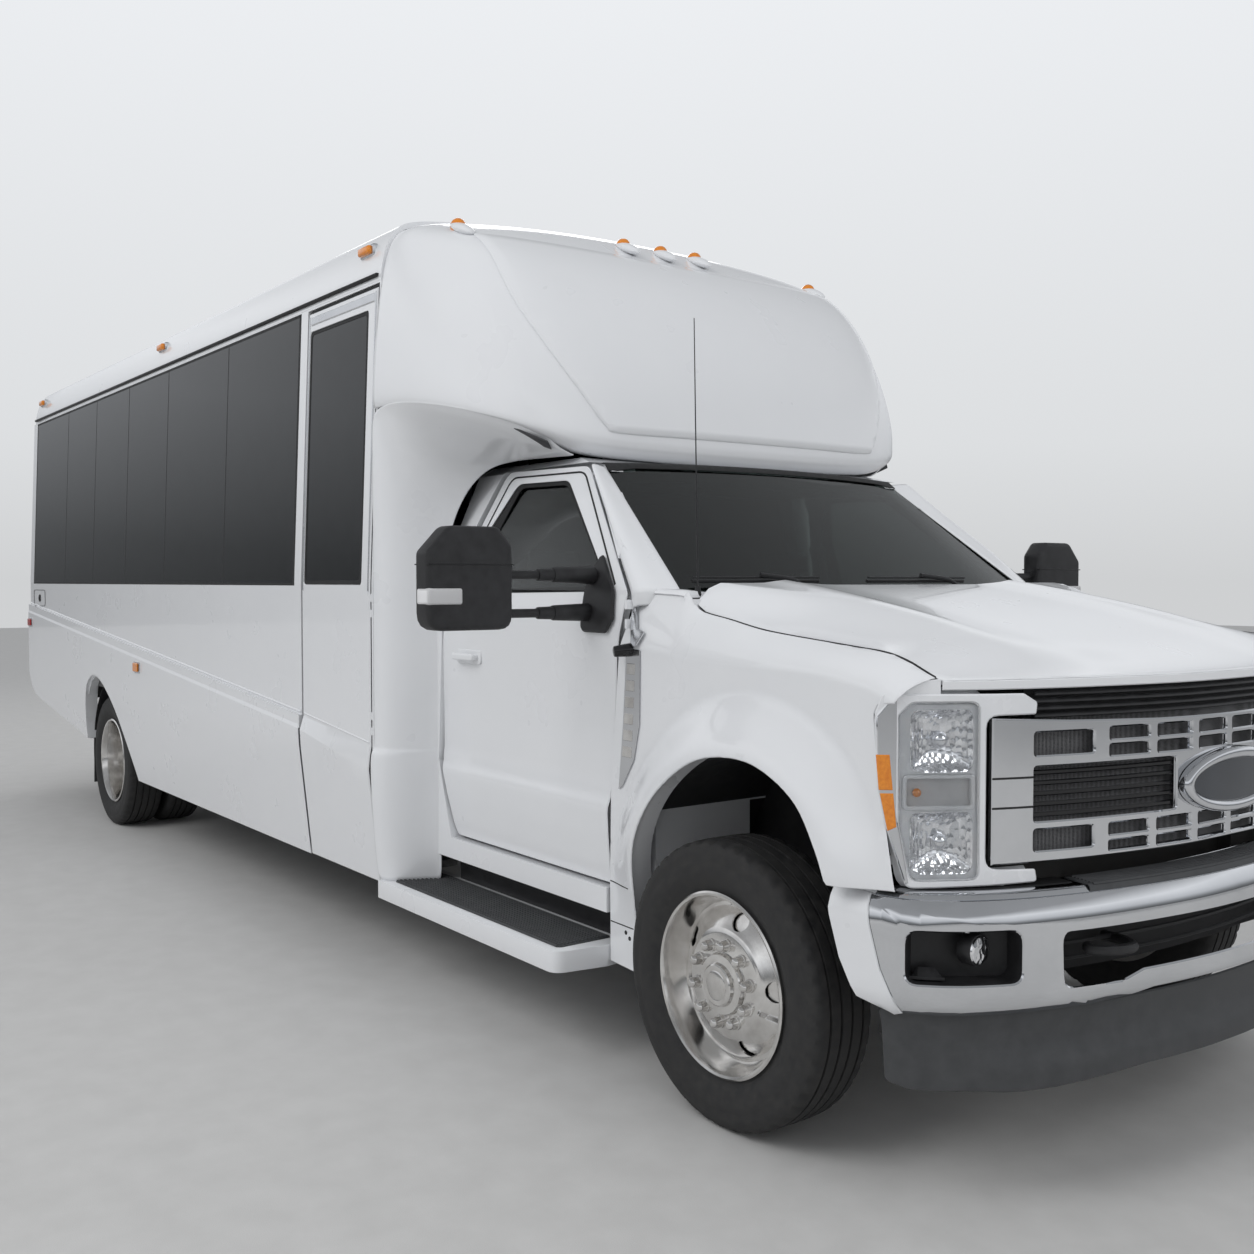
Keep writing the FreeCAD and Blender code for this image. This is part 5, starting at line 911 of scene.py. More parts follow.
def front_sheet(outline, face, depth, pitch, **sizes):
    """A sheet that looks ahead, on the nose or the bumper or at a depth from it."""
    return laid(outline, set_off(face, depth), pitch, (1, 0, 0), **sizes)


def nose(y, z, proud=0.0):
    """A point of the bowed face that grille and headlamps share."""
    out = abs(y)
    tilt = (reading(NOSE_LINE, out + 0.01) - reading(NOSE_LINE, out - 0.01)) / 0.02
    away = Vector((1.0, -tilt)).normalized() * proud
    return (at(reading(NOSE_LINE, out) + away.x), math.copysign(out + away.y, y), z)


FENDER_BASE = [(-0.60, 0.990), (-0.45, 0.994), (-0.20, 1.004), (0.20, 1.020), (0.45, 1.030),
               (0.64, 1.030)]
FRONT_ARCH = curve_through([(-0.455, 0.32), (-0.450, 0.45), (-0.425, 0.615), (-0.372, 0.755),
                            (-0.262, 0.905), (-0.105, 1.015), (0.045, 1.057), (0.205, 1.050),
                            (0.355, 0.978), (0.438, 0.865), (0.466, 0.795)])
CUT_Y = 0.931
NOSE_TOP = 1.304
# the fender rolls over to the hood from a little under its crease, and swells round the arch
CREASE_DROP, ROLL_RUN = 0.035, 0.16
SWELL, SWELL_REACH = 0.078, 0.185


def fender_point(side, x, v):
    """A point of the fender: v is the height up to the crease, then runs on to the hood."""
    crease = reading(CREASE, x)
    start = crease - CREASE_DROP
    z = min(v, start)
    reach = min(math.hypot(x - a, z - b) for a, b in FRONT_ARCH)
    swell = SWELL * (1 - ease(0.0, SWELL_REACH, reach)) * ease(0.42, 0.85, z)
    y = reading(FENDER_BASE, x) + swell
    if v > start:
        t = min((v - start) / ROLL_RUN, 1.0)
        top = reading(HOOD_CUT, x)
        first, knee, last = (Vector((y, start)), Vector((y - 0.002, crease + 0.012)),
                             Vector((CUT_Y, top)))
        y, z = first * (1 - t) ** 2 + knee * 2 * t * (1 - t) + last * t * t
    return (at(x), side * y, z)


FENDER_NOSE = [(0.475, 0.785), (0.634, 0.790), (0.620, 0.86), (0.600, 0.95), (0.585, 1.05),
               (0.572, 1.13), (0.562, 1.215), (0.575, 1.238), (0.626, 1.247)]
FENDER_REAR = [(-0.515, 1.44), (-0.548, 1.30), (-0.590, 0.90), (-0.594, 0.70), (-0.594, 0.325)]


def make_fenders():
    """Front fenders with the arch's returned lip, and the seams at their rear foot."""
    for name, side in SIDES:
        top = [(x, reading(CREASE, x) - CREASE_DROP + ROLL_RUN)
               for x in (0.670, 0.64, 0.60, 0.55, 0.45, 0.3, 0.15, 0.0, -0.1, -0.2, -0.3, -0.4,
                         -0.50)]
        outline = FRONT_ARCH + FENDER_NOSE + top + FENDER_REAR
        form = laid(outline, lambda u, v: fender_point(side, u, v), (0.022, 0.022),
                    (0, side, 0.2), roll=0.0025)
        show("fender_skin_" + name, form, "paint", sharp=40, stands_for=("fender_" + name,))
        edge = [Vector(fender_point(side, x, z)) for x, z in FRONT_ARCH]
        middle = Vector((at(0.02), 0, 0.55))
        rows = []
        for inward, spread in ((0.002, 0.0015), (0.010, 0.006), (0.030, 0.010), (0.085, 0.012)):
            row = []
            for point in edge:
                away = point - middle
                away.y = 0
                row.append(point + away.normalized() * spread + Vector((0, -side * inward, 0)))
            rows.append(row)
        show("front_arch_lip_" + name, sheet(rows, (0, 0, -1)), "paint")
        marks = [laid(panel(-0.590, -0.462, z - 0.002, z + 0.002),
                      proud_of(fender_point, side, 0.0006), (0.03, 1), (0, side, 0), wall=0.001,
                      roll=0.0004) for z in (0.585, 0.455)]
        for x, z in ((-0.485, 0.42), (-0.505, 0.435)):
            spot = Vector(fender_point(side, x, z))
            marks.append(rod(spot - Vector((0, side * 0.004, 0)),
                             spot + Vector((0, side * 0.0008, 0)), 0.007, 0.007, 12))
        show("fender_foot_seams_" + name, marks, "seal")


HOOD_RIDGE = curve_through([(-0.25, 1.536), (-0.11, 1.517), (0.10, 1.482), (0.29, 1.446),
                            (0.48, 1.404), (0.65, 1.366), (0.80, 1.333), (0.905, 1.306)], 5)
HOOD_NOSE = [(0.678, 0.922), (0.697, 0.900), (0.745, 0.811), (0.787, 0.700), (0.831, 0.550),
             (0.873, 0.350), (0.897, 0.170), (0.902, 0.0)]


def hood_point(x, y):
    """A point of the hood: crowned, with two soft ridges, and falling to the nose."""
    edge, ridge = reading(HOOD_CUT, x), reading(HOOD_RIDGE, x)
    out = abs(y)
    rise = ease(0.0, 1.0, (CUT_Y - out) / (0.08 + 0.25 * ease(-0.25, 0.10, x)))
    z = edge + (ridge - edge) * rise
    z += 0.010 * math.exp(-((out - 0.57) / 0.05) ** 2) * (1 - ease(0.35, 0.8, x))
    z -= 0.006 * ease(0.0, 1.0, (0.50 - out) / 0.15)
    left = min(max(reading(NOSE_LINE, out) - x, 0.0) / (0.07 + 0.23 * rise), 1.0)
    return (at(x), y, NOSE_TOP + (z - NOSE_TOP) * (1 - (1 - left) ** 2))


def make_hood():
    """The hood, its front lip over the grille, and dark bars at its edges: painted shade of its
    gaps.
    """
    right = [(-0.246, -0.922), (0.50, -0.922), (0.60, -0.922)] + [(x, -y) for x, y in HOOD_NOSE]
    left = [(x, -y) for x, y in reversed(right[:-1])]
    form = laid(right + left, hood_point, (0.045, 0.045), (0, 0, 1), wall=0.018, roll=0.004)
    show("hood_skin", form, "paint", "hood", sharp=40, stands_for=("hood",))
    show("hood_lip", front_sheet(panel(-0.922, 0.922, 1.276, 1.300), nose, -0.003, (0.05, 1),
                                 wall=0.010), "paint", "hood")
    for name, side in SIDES:
        line = [(at(x), side * 0.9265, reading(HOOD_CUT, x) - 0.003)
                for x in spaced(-0.215, 0.665, 48)]
        back = [(at(-0.262), side * y, reading(HOOD_CUT, -0.262) - 0.013) for y in (0.9265, 0.86)]
        # painted shade: dark bars where the gaps beside and behind the hood fall in shadow
        show("hood_gap_shade_" + name, [pipe(line, 0.0038, 8), pipe(back, 0.004, 8)], "seal")


SCREEN_FOOT, SCREEN_TOP = (-0.402, 1.504), (-0.985, 1.946)
# how far the pillar bulges, from its foot to its top
PILLAR_BULGE = [(0.0, 0.044), (0.1, 0.047), (0.35, 0.051), (0.65, 0.037), (1.0, 0.032)]


def screen_point(u, v):
    """The curved windscreen: u from -1 to 1 across, v from 0 to 1 up."""
    bow = 1 - u * u
    x = SCREEN_FOOT[0] + (SCREEN_TOP[0] - SCREEN_FOOT[0]) * v + (0.085 - 0.035 * v) * bow
    y = u * (0.872 - 0.140 * v)
    z = SCREEN_FOOT[1] + (SCREEN_TOP[1] - SCREEN_FOOT[1]) * v + 0.012 * v * bow
    return (at(x), y, z)


def make_windscreen():
    """The windscreen with its black border, header, pillars and the cowl at its foot."""
    outline = rounded([(-1, 0, 0.05), (1, 0, 0.05), (1, 1, 0.06), (-1, 1, 0.06)])
    form = laid(outline, screen_point, (0.08, 0.2), (1, 0, 0.5), wall=0.005, roll=0.001)
    show("windscreen", form, "windshield", stands_for=("windshield",))
    hole = rounded([(-0.93, 0.085, 0.06), (0.93, 0.085, 0.06), (0.935, 0.90, 0.08),
                    (-0.935, 0.90, 0.08)])
    below = Vector((-0.011, 0, -0.014))
    form = laid(outline, lambda u, v: Vector(screen_point(u, v)) + below, (0.08, 0.2),
                (1, 0, 0.5), holes=(hole,), wall=0.002, roll=0)
    show("windscreen_border", form, "gloss_black")
    rows = []
    for u in spaced(-1.0, 1.0, 40):
        low = 0.972 - 0.022 * ease(0.84, 0.97, abs(u))
        top, back = Vector(screen_point(u, low)), Vector(screen_point(u, 1.0))
        rows.append([top + Vector((0.005, 0, 0.004)), back + Vector((0.003, 0, 0.009)),
                     back + Vector((-0.03, 0, 0.015))])
    show("screen_header", sheet(rows, (0.4, 0, 1), 0.003), "seal")
    for name, side in SIDES:
        rows = []
        for t in spaced(0, 0.985, 12):
            near = Vector(screen_point(side, t)) + Vector((-0.002, side * 0.003, 0.004))
            far = Vector((at(-0.504 - 0.464 * t), side * (0.978 - 0.176 * t), 1.500 + 0.445 * t))
            bulge = Vector((0.58, side * 0.75, 0.32)) * reading(PILLAR_BULGE, t)
            rows.append([near.lerp(far, share) + bulge * height for share, height in
                         ((-0.13, -0.02), (-0.09, 0.20), (0.12, 0.42), (0.3, 0.70), (0.5, 0.93),
                          (0.7, 1.0), (0.88, 0.74), (0.985, 0.22))]
                        + [far - Vector((0.004, side * 0.022, 0))])
        skirt = [p + Vector((0.001, side * 0.001, -0.004)) for p in rows[0]]
        rows.insert(0, skirt)
        rows.insert(0, [p + Vector((-0.006, -side * 0.010, -0.050)) for p in skirt])
        smoother(show("windscreen_pillar_" + name, sheet(rows, (0.5, side, 0.5)), "paint",
                      sharp=50), 1)
        shelf = [[(at(x), side * y, reading(HOOD_CUT, x) + drop - fall) for x, fall in
                  [(x, 0) for x in spaced(-0.504, -0.278, 10)] + [(-0.272, 0.018), (-0.238, 0.028)]]
                 for y, drop in ((0.945, -0.014), (0.932, -0.0005), (0.905, 0.001), (0.85, -0.004),
                                 (0.79, -0.010), (0.782, -0.03))]
        show("cowl_corner_" + name, sheet(shelf, (0, 0, 1), 0.003), "paint", sharp=60)
    rows = [[(at(x + bow * (1 - (y / 0.9) ** 2)), y, z) for y in [k * 0.09 for k in range(-10, 11)]]
            for x, bow, z in ((-0.252, 0, 1.472), (-0.275, 0, 1.480), (-0.345, 0.058, 1.490),
                              (-0.395, 0.075, 1.503))]
    show("cowl_panel", sheet(rows, (0, 0, 1)), "black")


def make_wipers():
    """Two wipers parked along the base, and the thin aerial."""
    bars = []
    for pivot, low, high in ((-0.34, -0.93, -0.36), (0.44, -0.10, 0.52)):
        rest = [Vector(screen_point(u, 0.055)) + Vector((0.012, 0, 0.012))
                for u in (low, low * 0.7 + high * 0.3, low * 0.3 + high * 0.7, high)]
        bars.append(pipe(curve_through(rest), 0.006, 8))
        blade = [point + Vector((0.006, 0, 0.012)) for point in rest]
        bars.append(pipe(curve_through(blade), 0.0035, 6))
        hub = Vector((at(-0.304), pivot, 1.500))
        middle = rest[1].lerp(rest[2], 0.5) + Vector((0.012, 0, 0.020))
        bars.append(pipe(curve_through([hub, hub + Vector((-0.02, -0.06, 0.022)),
                                        hub.lerp(middle, 0.5) + Vector((0, 0, 0.016)), middle]),
                         0.008, 8))
        bars.append(rod(hub - Vector((0, 0, 0.02)), hub + Vector((0, 0, 0.012)), 0.022, 0.018,
                        16, 0.003))
    show("wipers", bars, "black")
    foot = Vector((at(-0.285), -0.885, 1.495))
    aerial = [rod(foot, foot + Vector((0, 0, 0.03)), 0.012, 0.008, 12),
              rod(foot + Vector((0, 0, 0.03)), foot + Vector((-0.02, 0, 0.84)), 0.0026, 0.0014, 8)]
    show("aerial", aerial, "black")


DOOR_SIDE = [(0.565, 0.972), (0.62, 0.984), (0.72, 0.994), (0.80, 0.9985), (0.822, 0.998),
             (0.845, 0.989), (0.90, 0.982), (1.05, 0.983), (1.20, 0.989), (1.32, 0.996),
             (1.38, 0.998), (1.44, 0.994), (1.51, 0.984)]
DOOR_OUTLINE = rounded([(-0.603, 0.568), (-0.601, 0.80), (-0.553, 1.30), (-0.508, 1.505, 0.03),
                        (-0.975, 1.944, 0.10), (-1.515, 1.957, 0.05), (-1.662, 1.48, 0.10),
                        (-1.700, 1.20, 0.3), (-1.704, 0.86, 0.2), (-1.612, 0.568, 0.03)])
DOOR_WINDOW = rounded([(-0.605, 1.508, 0.01), (-1.075, 1.898, 0.09), (-1.415, 1.905, 0.05),
                       (-1.512, 1.735, 0.10), (-1.555, 1.494, 0.01)])


def door_y(z):
    """Half width of the cab door at a height; its window leans in."""
    if z > 1.51:
        return 0.984 - 0.182 * (z - 1.51) / 0.44
    return reading(DOOR_SIDE, z)


def make_cab_doors():
    """Cab doors: skin, window seal, handle, lining and the plate that carries the mirror."""
    for name, side in SIDES:
        body = "cab_door_" + name

        def skin(u, v, depth=0.0):
            return (at(u), side * (door_y(v) - depth), v)

        form = laid(DOOR_OUTLINE, skin, (0.12, 0.018), (0, side, 0), holes=(DOOR_WINDOW,),
                    wall=0.045)
        show("door_skin_" + name, form, "paint", body, sharp=40, stands_for=(body,))
        hollow = rounded([(-0.640, 1.524, 0.02), (-1.085, 1.882, 0.08), (-1.395, 1.888, 0.04),
                          (-1.452, 1.72, 0.05), (-1.470, 1.510, 0.01)])
        seal = laid(DOOR_WINDOW, set_off(skin, 0.008), (0.2, 0.2), (0, side, 0),
                    holes=(hollow,), wall=0.012, roll=0.002)
        line = [skin(u, v, -0.0005) for u, v in rounded([(-0.585, 1.53), (-0.985, 1.922, 0.09),
                                                         (-1.470, 1.930, 0.05), (-1.60, 1.53)])]
        show("door_seals_" + name, [seal, pipe(line, 0.0035, 6)], "seal", body)
        handle = [slab(panel(-1.575, -1.395, 1.232, 1.285, 0.02),
                       lambda u, v: (at(u), side * 0.990, v), (0, side * 0.008, 0), 0.003),
                  slab(panel(-1.565, -1.415, 1.246, 1.272, 0.012),
                       lambda u, v: (at(u), side * 1.012, v), (0, side * 0.014, 0), 0.006)]
        handle += [box_of((at(x), side * 0.99, 1.25), (at(x + 0.02), side * 1.02, 1.268), 0.003)
                   for x in (-1.555, -1.435)]
        show("door_handle_" + name, handle, "paint", body)
        sail = rounded([(-0.590, 1.375, 0.02), (-0.555, 1.420, 0.02), (-0.566, 1.515, 0.02),
                        (-0.700, 1.640, 0.02), (-0.728, 1.560, 0.03), (-0.735, 1.375, 0.03)])
        lining = rounded([(-0.640, 0.625, 0.03), (-0.625, 1.470, 0.03), (-1.500, 1.470, 0.03),
                          (-1.600, 1.20, 0.05), (-1.610, 0.86, 0.05), (-1.545, 0.625, 0.03)])
        inner = laid(lining, set_off(skin, 0.053), (0.12, 0.03), (0, -side, 0),
                     wall=0.008, roll=0.006)
        rest = box_of((at(-1.42), side * 0.900, 1.150), (at(-0.92), side * 0.935, 1.205), 0.012)
        pocket = box_of((at(-1.30), side * 0.912, 0.665), (at(-0.80), side * 0.935, 0.80), 0.010)
        show("door_lining_" + name, [inner, rest, pocket], "trim", body)
        show("mirror_base_" + name, laid(sail, set_off(skin, -0.016), (0.1, 0.03),
                                         (0, side, 0), wall=0.022, roll=0.006), "black", body)


def make_mirrors():
    """Tall towing mirrors: head with cut corners, a seam, a turn lamp and two stepped arms."""
    for name, side in SIDES:
        body = "cab_door_" + name
        front = at(-0.650)
        low, high, inner, outer = 1.392, 1.706, 1.312, 1.606
        head = rounded([(inner, low, 0.045), (outer, low, 0.055), (outer, low + 0.235, 0.03),
                        (outer - 0.075, high, 0.04), (inner + 0.05, high, 0.03),
                        (inner, high - 0.055, 0.03)], 4)
        shell = slab(head, lambda u, v: (front - 0.088, side * u, v), (0.088, 0, 0), 0.018, 4)
        brow = box_of((front - 0.0885, side * (inner + 0.001), low + 0.196),
                                  (front + 0.0012, side * (outer - 0.001), low + 0.2), 0.001)
        show("mirror_head_" + name, [shell], "black", body, stands_for=("mirror_" + name,))
        show("mirror_seam_" + name, brow, "gloss_black", body)
        pane = rounded([(inner + 0.018, low + 0.02, 0.035), (outer - 0.02, low + 0.02, 0.04),
                        (outer - 0.02, low + 0.225, 0.03), (outer - 0.082, high - 0.02, 0.03),
                        (inner + 0.055, high - 0.02, 0.03), (inner + 0.018, high - 0.06, 0.03)], 4)
        show("mirror_pane_" + name, slab(pane, lambda u, v: (front - 0.090, side * u, v),
                                         (0.003, 0, 0)), "chrome", body)
        show("mirror_lamp_" + name, box_of(
            (front - 0.070, side * (outer - 0.115), low + 0.078),
            (front + 0.004, side * (outer + 0.003), low + 0.128), 0.008), "turn_lens", body)
        middle = front - 0.045
        arms = [rod((middle, side * near, height), (middle, side * far, height), *shape)
                for height in (1.440, 1.560)
                for near, far, *shape in ((0.985, 1.145, 0.030, 0.024, 16, 0.004),
                                          (1.13, 1.20, 0.021, 0.019, 16, 0.003),
                                          (1.18, 1.335, 0.014, 0.014, 14))]
        show("mirror_arms_" + name, arms, "black", body)


def make_side_trim():
    """Bright vent strip with its slots, a small camera and a bracket, behind the fender."""
    for name, side in SIDES:
        outline = [(-0.497, 1.338), (-0.424, 1.330), (-0.428, 1.10), (-0.458, 0.985),
                   (-0.520, 0.895), (-0.540, 0.885), (-0.515, 1.10)]
        show("vent_strip_" + name, laid(outline, proud_of(fender_point, side, 0.006), (0.03, 0.03),
                                        (0, side, 0), wall=0.006, roll=0.002), "chrome")
        dark = []
        for k in range(6):
            z = 1.285 - k * 0.052
            lean = -0.012 * k
            dark.append(laid([(-0.490 + lean * 0.4, z), (-0.448 + lean * 0.3, z),
                              (-0.450 + lean * 0.3, z - 0.034), (-0.493 + lean * 0.4, z - 0.034)],
                             proud_of(fender_point, side, 0.0075), (1, 1), (0, side, 0), wall=0.002,
                             roll=0.001))
        show("vent_slots_" + name, dark, "steel")
        show("side_camera_" + name, rod((at(-0.475), side * 0.99, 1.328),
                                        (at(-0.500), side * 1.045, 1.322), 0.022, 0.017, 16, 0.005),
             "gloss_black")
        bracket = slab(rounded([(-0.505, 1.465, 0.006), (-0.485, 1.470, 0.006),
                                (-0.452, 1.395, 0.01), (-0.408, 1.385, 0.008),
                                (-0.440, 1.335, 0.012), (-0.468, 1.352, 0.01)]),
                       lambda u, v: (at(u), side * (1.012 - (v - 1.33) * 0.30), v),
                       (0, -side * 0.006, 0), 0.002)
        show("hood_bracket_" + name, bracket, "satin")


def make_boards():
    """Running boards: a painted surround with a ribbed black tread let into it."""
    for name, side in SIDES:
        outline = rounded([(-2.095, 0.90, 0.01), (-0.610, 0.90, 0.01), (-0.594, 1.00, 0.03),
                           (-0.625, 1.185, 0.05), (-1.86, 1.190, 0.01), (-2.095, 1.17, 0.01)])
        form = slab([(max(x, -1.868), y) for x, y in outline],
                    lambda u, v: (at(u), side * v, 0.308), (0, 0, 0.068), 0.010)
        show("board_body_" + name, form, "paint", stands_for=("running_boards",))
        tread = [(-1.80, 0.935), (-0.66, 0.935), (-0.66, 1.145), (-1.80, 1.150)]
        bars = [slab(rounded([(x, y, 0.02) for x, y in tread]),
                     lambda u, v: (at(u), side * v, 0.372), (0, 0, 0.008), 0.002)]
        for k in range(14):
            y = 0.948 + k * 0.0148
            bars.append(box_of((at(-1.79), side * y, 0.376),
                                           (at(-0.67), side * (y + 0.006), 0.384), 0.0015, 1))
        show("board_tread_" + name, bars, "dark_grey")
        riser = box_of((at(-1.70), side * 0.895, 0.37), (at(-0.60), side * 0.915, 0.565), 0.003)
        show("board_riser_" + name, riser, "black")


# ---- nose: its lines run outwards from the middle

BUMPER_LINE = [Vector(p) for p in curve_through(
    [(0.970, 0.0), (0.965, 0.17), (0.945, 0.35), (0.910, 0.55), (0.870, 0.70), (0.830, 0.81),
     (0.785, 0.90), (0.735, 0.97), (0.665, 1.03), (0.580, 1.055), (0.440, 1.06)])]
MESH_SLOT = (0.525, 0.700)
OVAL_Z = 1.008
SLOT_PAIRS = ((0.015, 0.145), (0.175, 0.310), (0.340, 0.475))


# the distance along the bumper's face from the middle, then station and half width by it
BUMPER_RUN = [0.0]
for near, far in zip(BUMPER_LINE, BUMPER_LINE[1:]):
    BUMPER_RUN.append(BUMPER_RUN[-1] + (far - near).length)
BUMPER_X = list(zip(BUMPER_RUN, (p.x for p in BUMPER_LINE)))
BUMPER_Y = list(zip(BUMPER_RUN, (p.y for p in BUMPER_LINE)))


def on_bumper(s, z, back=0.0):
    """A point of the bumper: s along its face from the middle, `back` behind the face."""
    out = abs(s)
    x, y = reading(BUMPER_X, out), reading(BUMPER_Y, out)
    along = Vector((reading(BUMPER_X, out + 0.02) - reading(BUMPER_X, out - 0.02),
                    reading(BUMPER_Y, out + 0.02) - reading(BUMPER_Y, out - 0.02)))
    if along.length < 1e-6:
        along = Vector((-1.0, 0.0))
    along.normalize()
    return (at(x - along.y * back), math.copysign(y + along.x * back, s), z)


def bumper_ledge(places, profile, wall=PAINT_WALL):
    """A sheet along the bumper through lines of (back, height)."""
    return sheet([[on_bumper(s, z, back) for s in places] for back, z in profile], (0, 0, 1), wall)


def strip(inner, outer, low, high, side, radius=0.008):
    """A slot or bar of the grille on one side of the middle."""
    return panel(side * inner, side * outer, low, high, radius, 3)


def make_grille():
    """Bright face with its slots and joints, bars, mesh, louvres over it, and the oval."""
    outline = [(0.811, 0.845), (0.811, 1.206), (0.60, 1.196), (0.30, 1.188), (0.0, 1.186)]
    outline = both_halves(outline) + [(0.0, 0.849)]
    holes = []
    for side in (-1, 1):
        holes.append(strip(0.238, 0.700, 0.947, 1.083, side))
        for low, high in ((0.874, 0.927), (1.111, 1.168)):
            holes.append(strip(*MESH_SLOT, low, high, side))
        for start, end in SLOT_PAIRS:
            for low, high in ((0.859, 0.884), (0.899, 0.928), (1.100, 1.128), (1.142, 1.172)):
                holes.append(strip(start, end, low, high, side, 0.006))
    form = laid(outline, nose, (0.05, 0.08), (1, 0, 0), holes=holes, wall=0.018, roll=0.004)
    show("grille_face", form, "chrome", stands_for=("grille",))
    cuts, bars = [], []
    for side in (-1, 1):
        for z in (1.058, 0.985):
            cuts.append(front_sheet(strip(0.703, 0.8115, z - 0.0025, z + 0.0025, side, 0.001),
                                    nose, 0.0015, (0.03, 1), wall=0.002, roll=0.0004))
        for k in range(5):
            z = 0.962 + k * 0.0262
            bars.append(front_sheet(strip(0.236, 0.702, z - 0.0065, z + 0.0065, side, 0.002), nose,
                                    -0.012, (0.05, 1), wall=0.012))
    show("grille_joints", cuts, "seal")
    show("grille_bars", bars, "gloss_black")
    show("grille_mesh", front_sheet(panel(-0.80, 0.80, 0.850, 1.200), nose, -0.034, (0.05, 0.1),
                                    roll=0), "grid")
    slats = [front_sheet(panel(-0.70, 0.70, 1.204, 1.276), nose, -0.050, (0.06, 0.1), roll=0)]
    for z in (1.212, 1.230, 1.248, 1.266):
        slats.append(laid(panel(-0.695, 0.695, z - 0.005, z + 0.004),
                          lambda u, v: nose(u, v, -0.014 - (v - z) * 1.2), (0.06, 1), (1, 0, 0),
                          wall=0.010, roll=0.002))
    show("hood_louvres", slats, "black")
    ring = [(0.232 * math.cos(a), OVAL_Z + 0.087 * math.sin(a)) for a in round_curve(48)]
    hollow = [(u * 0.86, OVAL_Z + (v - OVAL_Z) * 0.66) for u, v in ring]
    rows = [[nose(u * size, OVAL_Z + (v - OVAL_Z) * (1 - (1 - size) * 2.43), proud)
             for u, v in ring] for size, proud in ((1.0, 0.002), (1.0, 0.018), (0.985, 0.026),
                                                   (0.95, 0.031), (0.90, 0.030), (0.865, 0.025),
                                                   (0.855, 0.012))]
    show("oval_rim", facing(pulled(rows, closed=True), (1, 0, 0)), "chrome", sharp=60)
    show("oval_plate", front_sheet(hollow, nose, 0.022, (0.05, 0.05), wall=0.006, roll=0.002),
         "oval")


LAMP_OUTLINE = rounded([(1.050, 1.215, 0.04), (1.012, 1.268, 0.02), (0.73, 1.266, 0.02),
                        (0.692, 1.243, 0.01), (0.695, 1.213, 0.008), (0.824, 1.212, 0.03),
                        (0.824, 0.836, 0.03), (0.694, 0.830, 0.008), (0.688, 0.797, 0.01),
                        (0.993, 0.793, 0.02), (1.010, 0.86, 0.03), (1.032, 0.95, 0.05),
                        (1.046, 1.04, 0.05)], 4)
LAMP_WINDOW = rounded([(1.008, 1.215, 0.02), (0.985, 1.246, 0.02), (0.842, 1.246, 0.02),
                       (0.842, 0.812, 0.02), (0.985, 0.812, 0.02), (1.006, 0.95, 0.1)], 4)


def make_headlamps():
    """Two reflector chambers with the turn lamp between them, in a bright surround."""
    for name, side in SIDES:
        def lay(outline, depth, finish, label, wall=0.004, roll=0.002, holes=(), pitch=0.04):
            form = laid([(side * y, z) for y, z in outline],
                        lambda u, v: nose(u, v, depth(u, v) if callable(depth) else depth),
                        (pitch, pitch), (1, 0, 0), wall=wall, roll=roll,
                        holes=[[(side * y, z) for y, z in hole] for hole in holes])
            return show("lamp_%s_%s" % (label, name), form, finish,
                        stands_for=("headlamps",) if label == "surround" else ())

        lay(LAMP_OUTLINE, 0.0, "lamp_white", "surround", wall=0.05, roll=0.004,
            holes=(LAMP_WINDOW,))
        lay([(1.048, 1.210), (1.022, 1.252), (1.011, 1.252), (1.011, 0.97), (0.988, 0.806),
             (0.995, 0.806), (1.008, 0.86), (1.030, 0.95), (1.044, 1.04)], 0.0015, "chrome", "band")
        lay([(1.050, 1.195), (1.050, 1.222), (1.038, 1.262), (1.012, 1.286), (0.970, 1.298),
             (0.925, 1.304), (0.925, 1.262), (1.005, 1.262), (1.040, 1.205)], -0.006, "paint",
            "corner", roll=0.001)
        grown = [(y + (0.006 if y > 0.9 else -0.006), z + (0.006 if z > 1 else -0.006))
                 for y, z in LAMP_WINDOW]
        chambers = [(label, low, high, rounded([(0.985, low, 0.022), (0.985, high, 0.022),
                                                (0.852, high, 0.022), (0.852, low, 0.022)], 4))
                    for label, low, high in (("high", 1.076, 1.228), ("low", 0.826, 0.978))]
        frame_edge = rounded([(1.000, 0.982, 0.012), (1.000, 1.070, 0.012), (0.846, 1.070, 0.012),
                              (0.846, 0.982, 0.012)], 4)
        lay(grown, -0.014, "bezel", "bezel", roll=0.001,
            holes=(chambers[0][3], chambers[1][3], frame_edge))
        for label, low, high, dish in chambers:
            middle = (0.918, (low + high) / 2)

            def bowl(u, v, middle=middle):
                reach = max(abs(abs(u) - middle[0]) / 0.067, abs(v - middle[1]) / 0.076)
                return -0.046 + 0.034 * min(reach, 1.0) ** 3

            lay(dish, bowl, "reflector", "dish_" + label, roll=0.001, pitch=0.008)
            spot = nose(side * middle[0], middle[1], -0.036)
            show("lamp_bulb_%s_%s" % (label, name), ball(spot, 0.020, 20, 12), "chrome")
        hollow = rounded([(0.992, 0.992, 0.008), (0.992, 1.060, 0.008), (0.856, 1.060, 0.008),
                          (0.856, 0.992, 0.008)], 4)
        lay(frame_edge, -0.010, "bezel", "turn_frame", wall=0.034, holes=(hollow,))
        lay(hollow, -0.022, "turn_lens", "turn", roll=0.001)
        show("lamp_turn_bulb_" + name, ball(nose(side * 0.972, 1.026, -0.014), 0.011, 16, 10),
             "amber")
        lay([(1.043, 1.034), (1.0485, 1.120), (1.024, 1.120), (1.018, 1.034)], 0.004, "amber",
            "side_upper")
        lay([(1.027, 0.934), (1.041, 1.026), (1.017, 1.026), (1.011, 0.944)], 0.004, "amber",
            "side_lower")
        lay(LAMP_WINDOW, 0.001, "lens", "lens", wall=0.003)


